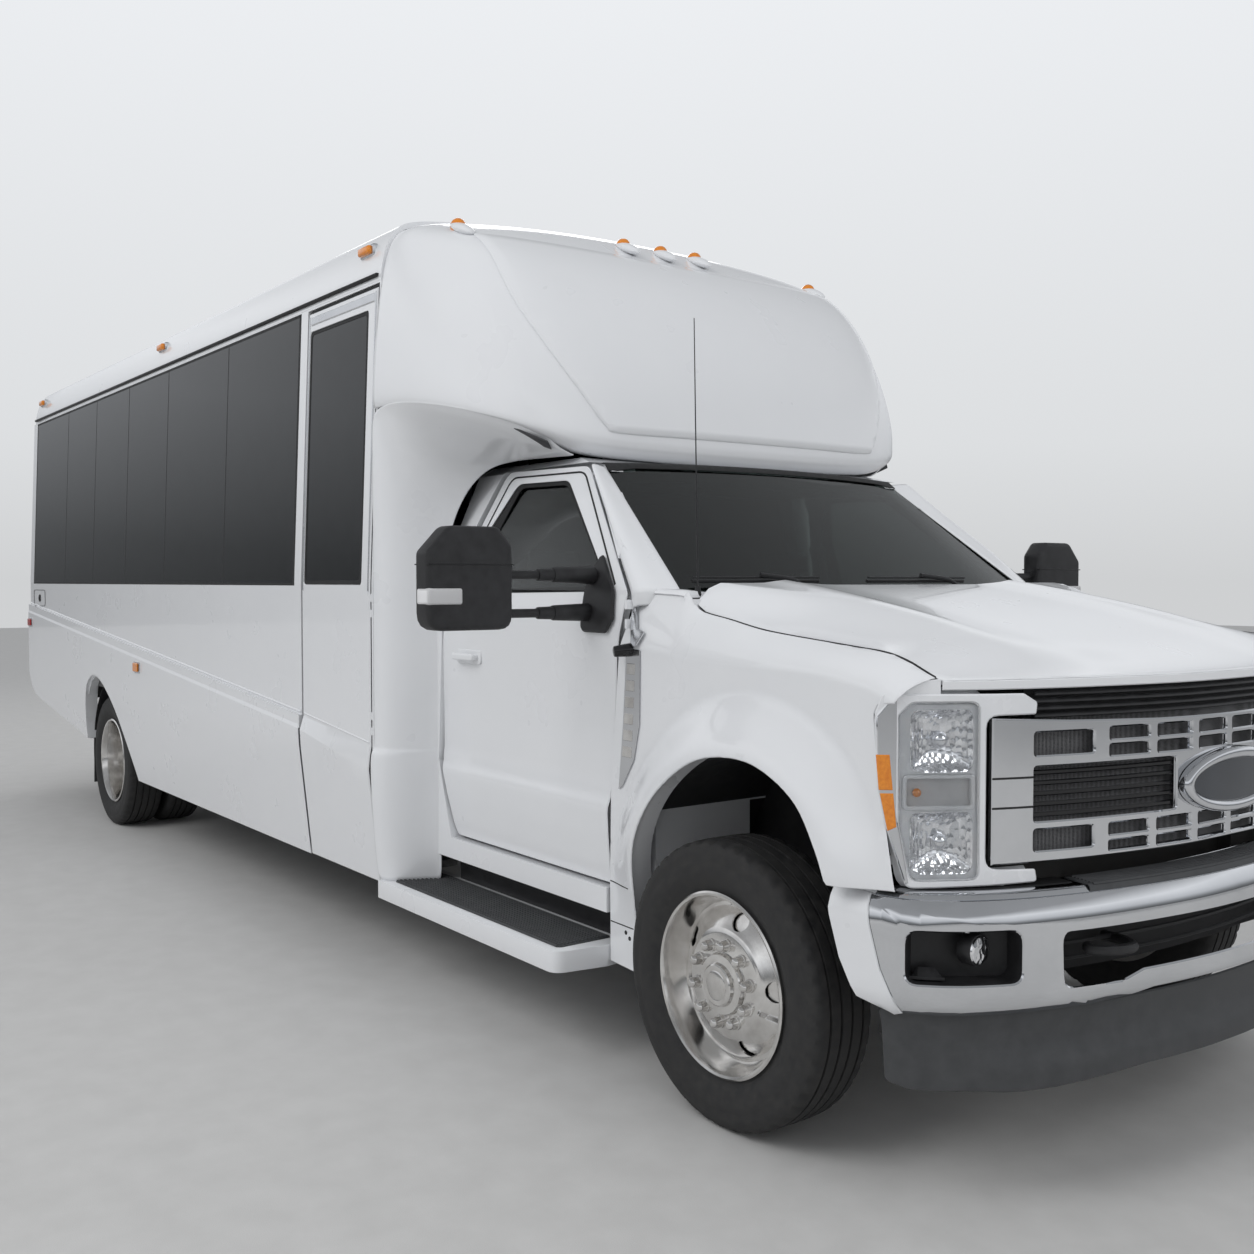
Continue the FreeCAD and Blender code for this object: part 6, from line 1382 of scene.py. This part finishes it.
CAP_EDGE = [(1.215, 0.775), (1.20, 0.70), (1.17, 0.60), (1.115, 0.493)]
FOG = rounded([(0.815, 0.574, 0.03), (1.105, 0.574, 0.03), (1.105, 0.702, 0.035),
               (0.815, 0.702, 0.035)])
INTAKE = rounded(both_halves([(0.700, 0.690, 0.03), (0.695, 0.552, 0.03), (0.515, 0.549, 0.03),
                              (0.440, 0.570, 0.03)]))


def bumper_face(s, z):
    """The bumper's face leans back above its crease and tucks under at its foot."""
    back = 0.030 * ease(0.725, 0.79, z) + 0.022 * (1 - ease(0.487, 0.53, z))
    return on_bumper(s, z, back)


def make_bumper():
    """Bright swept bumper with white ends, fog lamps, middle opening and step pad."""
    outline = both_halves(CAP_EDGE + [(0.60, 0.493), (0.47, 0.500), (0.40, 0.513)])
    fogs = [FOG, [(-s, z) for s, z in FOG]]
    form = laid(outline, bumper_face, (0.05, 0.03), (1, 0, 0), holes=(*fogs, INTAKE), wall=0.012,
                roll=0.004)
    show("bumper_face", form, "chrome", stands_for=("front_bumper",))
    top = bumper_ledge([k * 0.05 for k in range(-24, 25)],
                       ((0.026, 0.7745), (0.034, 0.784), (0.050, 0.789), (0.130, 0.789)))
    show("bumper_top", top, "chrome")
    for name, side in SIDES:
        end = CAP_EDGE + [(1.14, 0.487), (1.245, 0.512), (1.300, 0.60), (1.335, 0.70),
                          (1.345, 0.778)]
        form = laid([(side * s, z) for s, z in end], bumper_face, (0.03, 0.03), (1, side, 0),
                    wall=0.010)
        show("bumper_end_" + name, form, "paint")
        top = bumper_ledge([side * (1.20 + k * 0.029) for k in range(6)],
                           ((0.028, 0.776), (0.036, 0.785), (0.050, 0.788), (0.10, 0.788)))
        show("bumper_end_top_" + name, top, "paint")
        edge = [(side * s, z) for s, z in FOG]
        rows = [[on_bumper(s, z, back) for s, z in edge] for back in (0.005, 0.012, 0.075)]
        form = pulled(rows, closed=True)
        floor = [on_bumper(s, z, 0.073) for s, z in edge]
        bmesh.ops.contextual_create(form, geom=line_of(form, floor, closed=True)[0])
        show("fog_pocket_" + name, thick(facing(form, (1, 0, 0)), 0.002), "black")
        ledge = front_sheet(panel(side * 1.005, side * 1.10, 0.578, 0.586), on_bumper, 0.03,
                            (0.03, 1), wall=0.035, roll=0.001)
        show("fog_ledge_" + name, ledge, "black")
        deep = Vector(on_bumper(side * 0.935, 0.650, 0.070))
        spot = deep + Vector((0.040, 0, 0))
        show("fog_lamp_" + name, rod(deep, spot, 0.041, 0.039, 32, 0.004), "black")
        front = spot + Vector((0.004, 0, 0))
        show("fog_glass_" + name, [rod(spot, front, 0.035, 0.033, 32),
                                   rod(front, spot + Vector((0.008, 0, 0)), 0.033, 0.018, 32)],
             "reflector")
        hook = curve_through([(at(0.790), side * 0.405, 0.618), (at(0.858), side * 0.410, 0.618),
                              (at(0.905), side * 0.450, 0.620), (at(0.898), side * 0.520, 0.622),
                              (at(0.862), side * 0.565, 0.622), (at(0.840), side * 0.545, 0.622)])
        show("tow_hook_" + name, pipe(hook, 0.014), "black")
    bars = [front_sheet(panel(-0.72, 0.72, 0.54, 0.70), on_bumper, 0.16, (0.08, 0.2), roll=0)]
    bars += [front_sheet(panel(-0.70, 0.70, z - 0.005, z + 0.005), on_bumper, 0.11, (0.06, 1),
                         wall=0.012, roll=0.002) for z in (0.585, 0.625, 0.665)]
    show("bumper_intake", bars, "black")
    pad = [pipe([on_bumper(s, 0.7915, 0.034 + k * 0.0125) for s in spaced(-0.585, 0.585, 40)],
                0.0042, 6) for k in range(7)]
    pad.append(bumper_ledge(spaced(-0.60, 0.60, 40), ((0.024, 0.776), (0.028, 0.786),
                                                      (0.034, 0.7915), (0.118, 0.7915)), 0.003))
    show("bumper_step_pad", pad, "dark_grey")
    for name, side in SIDES:
        # painted shade: a dark strip on the shelf where the gap behind the bumper's ends lies in
        # shadow
        gap = bumper_ledge([side * s for s in spaced(0.62, 1.17, 20)],
                           ((0.070, 0.791), (0.135, 0.791)), 0.003)
        show("bumper_gap_shade_" + name, gap, "seal")


def make_valance():
    """Dark air dam under the bumper, fuller in its lower middle."""
    def place(s, z):
        bulge = 0.030 * (1 - ease(0.36, 0.41, z)) * (1 - ease(0.80, 0.95, abs(s)))
        return on_bumper(s, z, 0.045 - bulge - 0.010 * ease(0.44, 0.50, z))

    outline = both_halves([(1.20, 0.495, 0.02), (1.185, 0.31, 0.02), (1.10, 0.300, 0.02),
                           (0.70, 0.303, 0.02), (0.40, 0.318, 0.02)])
    form = laid(rounded(outline), place, (0.05, 0.02), (1, 0, 0), wall=0.006, roll=0.004)
    show("valance", form, "dark_grey", stands_for=("front_valance",))


# ---- wheels

LUG_CIRCLE = 0.1125
HAND_HOLES = [math.radians(90 - a) for a in (13, 85, 157, 229, 301)]


def round_wheel(name, body, middle, side, face, rim, back, holes_at, lug_foot, lug_top):
    """A wheel: the spun rim and hub face, the dish with its hand holes, and ten lug covers."""
    pieces = [turned([(side * a, r) for a, r in part], middle, 96) for part in (face, rim, back)]
    dish = sorted((r, a) for a, r in holes_at)
    low, high = dish[0][0], dish[-1][0]
    span, mid_r = 0.030, (low + high) / 2
    rings = [[(angle % math.tau + span / mid_r * math.cos(t), mid_r + span * 0.82 * math.sin(t))
              for t in round_curve(28)] for angle in HAND_HOLES]

    def place(u, v):
        return (middle[0] + v * math.cos(u), middle[1] + side * reading(dish, v),
                middle[2] + v * math.sin(u))

    start = -0.32
    rings = [[(u if u > start else u + math.tau, v) for u, v in ring] for ring in rings]
    pieces.append(merged(laid(panel(start, start + math.tau, low, high), place, (0.075, 0.010),
                              (0, side, 0), holes=rings, wall=0.005, roll=0)))
    for k in range(10):
        angle = math.tau * (k + 0.3) / 10
        x, z = LUG_CIRCLE * math.cos(angle), LUG_CIRCLE * math.sin(angle)
        foot = Vector((middle[0] + x, middle[1] + side * lug_foot, middle[2] + z))
        tip = Vector((foot.x, middle[1] + side * lug_top, foot.z))
        for near, far, *shape in ((0, 0.22, 0.0195, 0.0185, 20, 0.002),
                                  (0.2, 0.72, 0.0165, 0.0155, 20),
                                  (0.72, 1, 0.0155, 0.0085, 20, 0.003)):
            pieces.append(rod(foot.lerp(tip, near), foot.lerp(tip, far), *shape))
    show("wheel_" + name, closed_out(joined(pieces)), "steel", body, sharp=32, stands_for=(body,))


def tyre(name, body, middles, stands_for):
    """Tyres with four grooves, notched shoulders and fine rings on the sidewalls."""
    half = [(0.0865, 0.2495), (0.0885, 0.268), (0.098, 0.285), (0.1085, 0.305), (0.1125, 0.330),
            (0.1122, 0.345), (0.1105, 0.352), (0.1110, 0.3545), (0.1088, 0.366), (0.1093, 0.3685),
            (0.1060, 0.379), (0.1015, 0.391), (0.0950, 0.3990), (0.0850, 0.4035), (0.0640, 0.4050),
            (0.0635, 0.3955), (0.0560, 0.3955), (0.0555, 0.4055), (0.0240, 0.4058),
            (0.0235, 0.3960), (0.0155, 0.3960), (0.0150, 0.4060), (0.0, 0.4060)]
    rows = []
    for k, angle in enumerate(round_curve(184)):
        notch = 0.0065 if k % 4 == 0 else 0.0
        shoulders = [(a, r - notch if 0.064 < abs(a) < 0.0975 and r > 0.39 else r)
                     for a, r in both_halves(half)]
        rows.append([(r * math.cos(angle), a, r * math.sin(angle)) for a, r in shoulders])
    forms = [moved(closed_out(merged(pulled(rows + rows[:1]))), middle) for middle in middles]
    show("tyre_" + name, forms, "rubber", body, sharp=30, stands_for=(stands_for,))


def make_wheels():
    """Single front and twin rear wheels; the profiles are (along the axle, radius)."""
    for name, side in SIDES:
        middle = (AXLE, side * 0.95, WHEEL_Z)
        flange = [(0.086, 0.250), (0.090, 0.262), (0.097, 0.2625), (0.1005, 0.257), (0.098, 0.250),
                  (0.088, 0.246), (0.070, 0.241), (0.045, 0.233), (0.030, 0.224)]
        dish = [(0.030, 0.224), (0.031, 0.212), (0.042, 0.198), (0.053, 0.180), (0.062, 0.165),
                (0.069, 0.154), (0.0715, 0.146)]
        hub = [(0.0715, 0.146), (0.0735, 0.141), (0.0735, 0.092), (0.0745, 0.088), (0.084, 0.086),
               (0.089, 0.083), (0.0895, 0.070), (0.091, 0.062), (0.101, 0.059), (0.1045, 0.055),
               (0.1045, 0.044), (0.1035, 0.041), (0.1055, 0.037), (0.1065, 0.0)]
        back = [(0.086, 0.250), (0.0, 0.247), (-0.086, 0.250), (-0.094, 0.262), (-0.095, 0.240),
                (-0.05, 0.232), (0.02, 0.222), (0.028, 0.20), (0.052, 0.162), (0.056, 0.10),
                (-0.05, 0.098), (-0.054, 0.046), (0.053, 0.0415)]
        round_wheel("front_" + name, "front_wheel_" + name, middle, side, hub, flange, back, dish,
                    0.072, 0.1085)
        tyre("front_" + name, "front_wheel_" + name, [middle], "front_tyre_" + name)
        middle = (REAR_AXLE, side * 0.915, WHEEL_Z)
        flange = [(0.213, 0.250), (0.217, 0.262), (0.224, 0.2625), (0.2275, 0.257), (0.225, 0.250),
                  (0.215, 0.245), (0.19, 0.239), (0.10, 0.234), (0.045, 0.229), (0.028, 0.222)]
        dish = [(0.028, 0.222), (0.022, 0.210), (0.020, 0.195), (0.026, 0.180), (0.037, 0.166),
                (0.044, 0.154), (0.046, 0.146)]
        hub = [(0.046, 0.146), (0.047, 0.141), (0.047, 0.092), (0.048, 0.088), (0.085, 0.083),
               (0.118, 0.078), (0.122, 0.074), (0.123, 0.060), (0.128, 0.058), (0.140, 0.052),
               (0.146, 0.040), (0.149, 0.0)]
        back = [(0.213, 0.250), (0.127, 0.247), (0.040, 0.250), (0.032, 0.262), (-0.032, 0.262),
                (-0.040, 0.250), (-0.127, 0.247), (-0.213, 0.250), (-0.220, 0.262),
                (-0.222, 0.240), (-0.12, 0.232), (-0.02, 0.225), (-0.012, 0.10), (-0.054, 0.098),
                (-0.0545, 0.0655), (0.054, 0.0655)]
        round_wheel("rear_" + name, "rear_wheels_" + name, middle, side, hub, flange, back, dish,
                    0.046, 0.088)
        twins = [(REAR_AXLE, side * (0.915 + gap), WHEEL_Z) for gap in (-0.127, 0.127)]
        tyre("rear_" + name, "rear_wheels_" + name, twins, "rear_tyres_" + name)


# ---- coach doors, rear end and side lamps

ENTRY_REAR, ENTRY_FRONT = -2.566, -1.903


def flat_skin(side, outline, proud=0.0, pitch=(0.35, 0.3), holes=(), wall=PAINT_WALL, roll=0.003,
              folds=()):
    """A sheet on the coach's side, `proud` of its skin."""
    return laid(outline, proud_of(lower_skin, side, proud), pitch, (0, side, 0), holes=holes,
                wall=wall, roll=roll, folds=folds)


def frame_between(x0, x1, z0, z1, width, radius=0.02):
    """An outline and the smaller outline inside it."""
    return (panel(x0, x1, z0, z1, radius),
            panel(x0 + width, x1 - width, z0 + width, z1 - width, radius))


def make_entry_door():
    """Passenger door: skin with its slanted fold, sealed window, header, and seals at its edges."""
    rear, front = ENTRY_REAR, ENTRY_FRONT
    ring, hollow = frame_between(-2.549, -1.981, 1.526, 2.604, 0.018)
    form = flat_skin(-1, panel(rear, front, 0.356, 2.682), 0.001, (0.12, 0.08), (ring,), 0.030,
                     0.004, BAND_FOLDS)
    show("entry_door_skin", [form, band_bead(-1, front - 0.012, rear + 0.012, 12)], "paint",
         "passenger_door", sharp=14, stands_for=("passenger_door",))
    seal = flat_skin(-1, ring, 0.0, holes=(hollow,), wall=0.010)
    show("entry_window_seal", seal, "seal", "passenger_door")
    header = [flat_skin(-1, panel(rear + 0.03, front - 0.02, 2.628, 2.664), 0.006, wall=0.006,
                        roll=0.004)]
    header += [flat_skin(-1, panel(x - 0.005, x + 0.005, 1.50, 2.668), 0.004, wall=0.005,
                         roll=0.002) for x in (rear + 0.010, front - 0.012)]
    show("entry_door_frame", header, "satin", "passenger_door")
    strips = [flat_skin(-1, panel(*edges), -0.007, pitch=(1, 0.08), wall=0.006, roll=0.001,
                        folds=BAND_FOLDS) for edges in ((front + 0.002, -1.8825, 0.36, 2.06),
                                                        (-2.5785, rear - 0.002, 0.36, 2.69),
                                                        (rear, front, 2.6855, 2.694))]
    show("entry_edge_seals", strips, "seal")


def button(foot, outward, radius, height, sides=28):
    """A low round dome."""
    foot, out = Vector(foot), Vector(outward).normalized() * height
    return joined([rod(foot, foot + out * 0.5, radius, radius * 0.96, sides),
                   rod(foot + out * 0.5, foot + out * 0.82, radius * 0.96, radius * 0.72, sides),
                   rod(foot + out * 0.82, foot + out, radius * 0.72, radius * 0.30, sides)])


def make_side_lamps():
    """Side markers, roof-side lamps, the flap's latch and seam, and the mud flaps."""
    for name, side in SIDES:
        def plate(x, z, half_x, half_z, proud, wall):
            outline = panel(x - half_x, x + half_x, z - half_z, z + half_z, 0.008, 3)
            return flat_skin(side, outline, proud, wall=wall)

        for label, x, z, finish in (("front", -4.95, 1.042, "amber"),
                                    ("rear", -7.64, 1.235, "red")):
            show("side_marker_%s_%s" % (label, name), plate(x, z, 0.045, 0.026, 0.014, 0.012),
                 finish)
            show("side_marker_base_%s_%s" % (label, name), plate(x, z, 0.056, 0.034, 0.005, 0.006),
                 "satin")
        show("flap_latch_" + name, [plate(-7.42, 1.416, 0.020, 0.026, 0.004, 0.005),
                                    plate(-7.42, 1.414, 0.011, 0.015, 0.008, 0.005)], "black")
        line = panel(-7.60, -7.26, 1.36, 1.475, 0.03)
        show("flap_seam_" + name, pipe([lower_skin(side, x, z) for x, z in line + line[:1]],
                                       0.0016, 6), "seal")
        y = 1.130
        bases, domes = ([box_of((at(station - half), side * (y + near), low),
                                (at(station + half), side * (y + far), high), bevel)
                         for station in (-2.04, -4.67, -7.51)]
                        for half, near, far, low, high, bevel in
                        ((0.062, -0.020, 0.006, 2.822, 2.870, 0.008),
                         (0.050, 0.0, 0.024, 2.828, 2.864, 0.011)))
        show("roof_side_lamps_" + name, domes, "amber",
             stands_for=("marker_lamps",) if side < 0 else ())
        show("roof_side_lamp_bases_" + name, bases, "satin")
        guard = [(-6.300, 0.20), (-6.290, 0.20), (-6.270, 0.56), (-6.280, 0.56)]
        flap = slab(guard, lambda u, v: (at(u), side * 0.70, v), (0, side * 0.42, 0), 0.002)
        show("mud_flap_" + name, flap, "black")


def rear_sheet(outline, x, holes=(), wall=PAINT_WALL, roll=0.003):
    """A sheet on the flat rear face; x is the station of its outer side."""
    return laid(outline, lambda u, v: (at(x), u, v), (0.3, 0.3), (-1, 0, 0), holes=holes,
                wall=wall, roll=roll)


def rear_lamp(y, z, radius, height, sides, x=-7.724):
    """A round lamp on the rear face."""
    return button((at(x), y, z), (-1, 0, 0), radius, height, sides)


def make_rear():
    """Rear door with its window and handle, round lamps, bare plate, step tread and exhaust."""
    door = rounded([(-0.468, 0.944, 0.05), (0.468, 0.944, 0.05), (0.468, 2.486, 0.06),
                    (-0.468, 2.486, 0.06)])
    ring, hollow = frame_between(-0.372, 0.372, 1.548, 2.362, 0.022, 0.04)
    show("rear_door_skin", rear_sheet(door, -7.727, holes=(ring,), wall=0.012, roll=0.005), "paint",
         "rear_door")
    show("rear_window_seal", rear_sheet(ring, -7.730, holes=(hollow,), wall=0.010, roll=0.004),
         "seal", "rear_door")
    grown = [(y * 1.022, 1.715 + (z - 1.715) * 1.014) for y, z in door]
    line = [(at(-7.7255), y, z) for y, z in grown]
    show("rear_door_seal", pipe(line + line[:1], 0.005, 8), "seal", "rear_door")
    handle = [rear_sheet(panel(0.330, 0.420, 1.320, 1.455, 0.01), -7.733, wall=0.006),
              rod((at(-7.732), 0.375, 1.425), (at(-7.748), 0.375, 1.425), 0.014, 0.013, 18, 0.002),
              box_of((at(-7.758), 0.365, 1.335), (at(-7.745), 0.385, 1.440), 0.005)]
    show("rear_door_handle", handle, "gloss_black", "rear_door")
    for name, side in SIDES:
        lamps, rings = {"red": [], "amber": [], "lens": []}, []
        for z, finish in ((1.33, "red"), (1.19, "amber"), (1.05, "lens")):
            rings.append(rod((at(-7.722), side * 0.965, z), (at(-7.731), side * 0.965, z), 0.058,
                             0.054, 36, 0.003))
            lamps[finish].append(rear_lamp(side * 0.965, z, 0.046, 0.013, 32, -7.729))
        show("tail_lamp_rings_" + name, rings, "seal",
             stands_for=("tail_lamps",) if side < 0 else ())
        for finish, forms in lamps.items():
            show("tail_lamp_%s_%s" % (finish, name), forms, "bezel" if finish == "lens" else finish)
        show("rear_reflector_" + name, rear_lamp(side * 0.965, 0.915, 0.034, 0.008, 24), "red")
        show("rear_top_markers_" + name, [rear_lamp(side * y, 2.66, 0.030, 0.016, 24)
                                          for y in (0.98, 0.16)], "red")
        edge = [(at(-7.7245), side * y, z) for y, z in
                ((0.505, 1.490), (0.80, 1.494), (1.145, 1.50))]
        show("rear_panel_seam_" + name, pipe(edge, 0.002, 6), "seal")
    brake = [rear_lamp(0.0, 2.66, 0.030, 0.016, 24),
             rear_sheet(panel(-0.17, 0.17, 2.548, 2.582, 0.01), -7.735, wall=0.012)]
    show("high_brake_lamp", brake, "red")
    plate = rear_sheet(panel(-0.845, -0.545, 0.985, 1.135, 0.008), -7.728, wall=0.003, roll=0.001)
    show("bare_plate", plate, "satin")
    lamp = [box_of((at(-7.745), -0.735, 1.150), (at(-7.722), -0.655, 1.175), 0.005)]
    show("plate_lamp", lamp, "black")
    tread = [box_of((at(-7.790), -0.96, 0.850), (at(-7.575), 0.96, 0.854), 0.001, 1)]
    for k in range(9):
        x = at(-7.782 + k * 0.0235)
        tread.append(box_of((x, -0.95, 0.853), (x + 0.010, 0.95, 0.857), 0.0015, 1))
    show("rear_step_tread", tread, "dark_grey")
    tail = curve_through([(at(-6.3), -0.52, 0.50), (at(-6.9), -0.56, 0.47),
                          (at(-7.30), -0.62, 0.46), (at(-7.62), -0.70, 0.47)])
    show("exhaust_tail", pipe(tail, 0.038, 20), "cast")
    # the pipe's open end: a dark disc, partly its soot and partly painted shade inside it
    mouth = rod((at(-7.62), -0.70, 0.4701), (at(-7.6215), -0.7003, 0.4701), 0.032, 0.032)
    show("exhaust_mouth", mouth, "seal")


# ---- inside


def cushion(low, high, crown, channels=(), cuts=7, thin=2, pull=0.05):
    """A crowned pad: full in the middle, drawn in between its corners, with sewn channels.

    `thin` is its thin axis, and channels are places from -1 to 1 across its width."""
    form = box_of(low, high)
    bmesh.ops.subdivide_edges(form, edges=form.edges[:], cuts=cuts, use_grid_fill=True)
    low, high = Vector(low), Vector(high)
    middle, half = (low + high) / 2, (high - low) / 2
    wide = [axis for axis in range(3) if axis != thin]
    for vert in form.verts:
        q = [(vert.co[i] - middle[i]) / half[i] for i in range(3)]
        edge = max(abs(q[wide[0]]), abs(q[wide[1]]))
        for i, other in (wide, wide[::-1]):
            vert.co[i] -= half[i] * pull * q[i] * (1 - q[other] ** 2) * abs(q[i])
            vert.co[i] -= half[i] * 0.06 * q[i] * abs(q[thin]) * edge ** 6
        swell = crown * (1 - q[wide[0]] ** 4) * (1 - q[wide[1]] ** 4) - crown * 0.9 * edge ** 8
        for spot in channels:
            swell -= crown * 0.55 * math.exp(-((q[1] - spot) / 0.055) ** 2) * (1 - edge ** 6)
        vert.co[thin] += q[thin] * swell
    return form


def pads(name, forms):
    """Soft pieces in seat cloth."""
    piece = show(name, forms, "cloth", sharp=180)
    smoother(piece, 1)
    return piece


def make_cab_seats():
    """Two bucket seats with side rolls and headrests, on boxed bases."""
    for name, side in SIDES:
        y = side * 0.62
        seat = [cushion((at(-1.50), y - 0.19, 1.02), (at(-1.08), y + 0.19, 1.13), 0.016,
                        (-0.5, 0.0, 0.5), 11)]
        back = [cushion((at(-1.52), y - 0.185, 1.13), (at(-1.42), y + 0.185, 1.56), 0.016,
                        (-0.5, 0.0, 0.5), 11, thin=0)]
        head = [cushion((at(-1.515), y - 0.11, 1.575), (at(-1.435), y + 0.11, 1.655), 0.010, (), 7,
                        thin=0)]
        piece = pads("cab_seat_cushion_" + name, seat)
        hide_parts("seats")
        pads("cab_seat_back_" + name, back)
        pads("cab_seat_headrest_" + name, head)
        base = [box_of((at(-1.47), y - 0.17, 0.88), (at(-1.12), y + 0.17, 1.015), 0.02)]
        base += [rod((at(-1.475), place, 1.54), (at(-1.475), place, 1.60), 0.006)
                 for place in (y - 0.05, y + 0.05)]
        show("cab_seat_base_" + name, base, "black")


def make_coach_seats():
    """Five rows of four high-backed seats: pads, shells, legs and their foot plates."""
    bottoms, backs, shells, legs = [], [], [], []
    for row in range(5):
        rear = -3.49 - row * 0.76
        for y in (-0.885, -0.445, 0.445, 0.885):
            def corners(x0, x1, half, low, high):
                return (at(rear + x0), y - half, low), (at(rear + x1), y + half, high)

            bottoms.append(cushion(*corners(0.10, 0.48, 0.20, 1.28, 1.38), 0.014, (), 5))
            backs.append(cushion(*corners(0.03, 0.12, 0.195, 1.38, 2.00), 0.012, (), 5, thin=0))
            shells += [box_of(*corners(0.005, 0.028, 0.20, 1.26, 2.015), 0.010, 2),
                       box_of(*corners(0.03, 0.46, 0.195, 1.235, 1.272), 0.010, 2)]
            for x in (rear + 0.09, rear + 0.40):
                legs.append(rod((at(x), y, 0.912), (at(x), y, 1.24), 0.016, 0.014, 10))
        for y in (-0.665, 0.665):
            legs.append(box_of((at(rear + 0.06), y - 0.32, 0.912),
                               (at(rear + 0.43), y + 0.32, 0.928), 0.004, 1))
    pads("coach_seat_bottoms", bottoms)
    pads("coach_seat_backs", backs)
    show("coach_seat_shells", shells, "trim")
    show("coach_seat_legs", legs, "black")


def make_dash():
    """Dashboard with its brow and dials, the steering wheel, and the cab's lining."""
    rows = []
    for y in spaced(-0.83, 0.83, 22):
        brow = 0.035 * math.exp(-((y - 0.44) / 0.22) ** 2)
        rows.append([(at(x), y, z) for x, z in curve_through(
            [(-0.500, 0.96), (-0.497, 1.38), (-0.56, 1.418), (-0.68, 1.412 + brow),
             (-0.79, 1.385 + brow), (-0.835, 1.345 + brow), (-0.815, 1.27), (-0.835, 1.18),
             (-0.80, 1.04), (-0.70, 0.955)], 3)])
    form = capped(facing(pulled(rows, closed=True), (0, 0, 1)))
    show("dash_top", form, "trim", stands_for=("dashboard",))
    dials = [box_of((at(-0.838), 0.30, 1.255), (at(-0.826), 0.58, 1.345), 0.005),
             box_of((at(-0.840), -0.13, 1.10), (at(-0.826), 0.13, 1.29), 0.006)]
    for y in (-0.72, -0.36, 0.20, 0.74):
        dials.append(button((at(-0.824), y, 1.305), (-1, 0, 0), 0.034, 0.012, 20))
    show("dash_instruments", dials, "gloss_black")
    wheel = turned([(0.016 * math.sin(a), 0.185 + 0.016 * math.cos(a))
                    for a in (math.tau * k / 14 for k in range(15))], (0, 0, 0), 56)
    spokes = [box_of((-0.175, -0.010, -0.020), (0.175, 0.008, 0.016), 0.007),
              box_of((-0.018, -0.010, -0.175), (0.018, 0.008, 0.0), 0.007),
              box_of((-0.075, -0.022, -0.060), (0.075, 0.014, 0.055), 0.016)]
    whole = joined([wheel] + spokes)
    bmesh.ops.transform(whole, matrix=Matrix.Translation((at(-0.975), 0.44, 1.335))
                        @ Matrix.Rotation(math.radians(28), 4, "Y")
                        @ Matrix.Rotation(math.radians(90), 4, "Z"), verts=whole.verts[:])
    show("steering_wheel", whole, "black")
    column = rod((at(-0.83), 0.44, 1.27), (at(-0.965), 0.44, 1.33), 0.045, 0.035, 24, 0.006)
    show("steering_column", column, "black")
    ceiling = laid(rounded([(-1.70, -0.74, 0.05), (-1.02, -0.70, 0.05), (-1.02, 0.70, 0.05),
                            (-1.70, 0.74, 0.05)]), lambda u, v: (at(u), v, 1.925 - 0.03 * v * v),
                   (0.1, 0.1), (0, 0, -1), wall=0.006)
    show("cab_ceiling", ceiling, "trim")
    outline = [(-0.86, 0.90), (-0.27, 0.90), (-0.27, 0.93), (-0.27, 1.86), (0.27, 1.86),
               (0.27, 0.93), (0.27, 0.90), (0.86, 0.90), (0.84, 1.50), (0.74, 1.905),
               (-0.74, 1.905), (-0.84, 1.50)]
    rear = laid(outline, lambda u, v: (at(-1.655), u, v), (0.2, 0.2), (1, 0, 0), wall=0.008)
    show("cab_rear_lining", rear, "trim")
    visors = [slab(panel(-0.045, 0.045, -0.17, 0.17, 0.02),
                   lambda u, v, y=y: (at(-1.075 + u), y + v, 1.900 - u * 0.15), (0, 0, -0.012),
                   0.004) for y in (-0.36, 0.36)]
    show("sun_visors", visors, "trim")


# ---- building, in the order of the pieces

make_lower_panels()
make_wheel_houses()
make_window_seals()
make_roof()
make_cap_details(make_nose_cap())
make_coves()
make_fenders()
make_hood()
make_windscreen()
make_wipers()
make_cab_doors()
make_mirrors()
make_side_trim()
make_boards()
make_grille()
make_headlamps()
make_bumper()
make_valance()
make_wheels()
make_entry_door()
make_side_lamps()
make_rear()
make_cab_seats()
make_coach_seats()
make_dash()
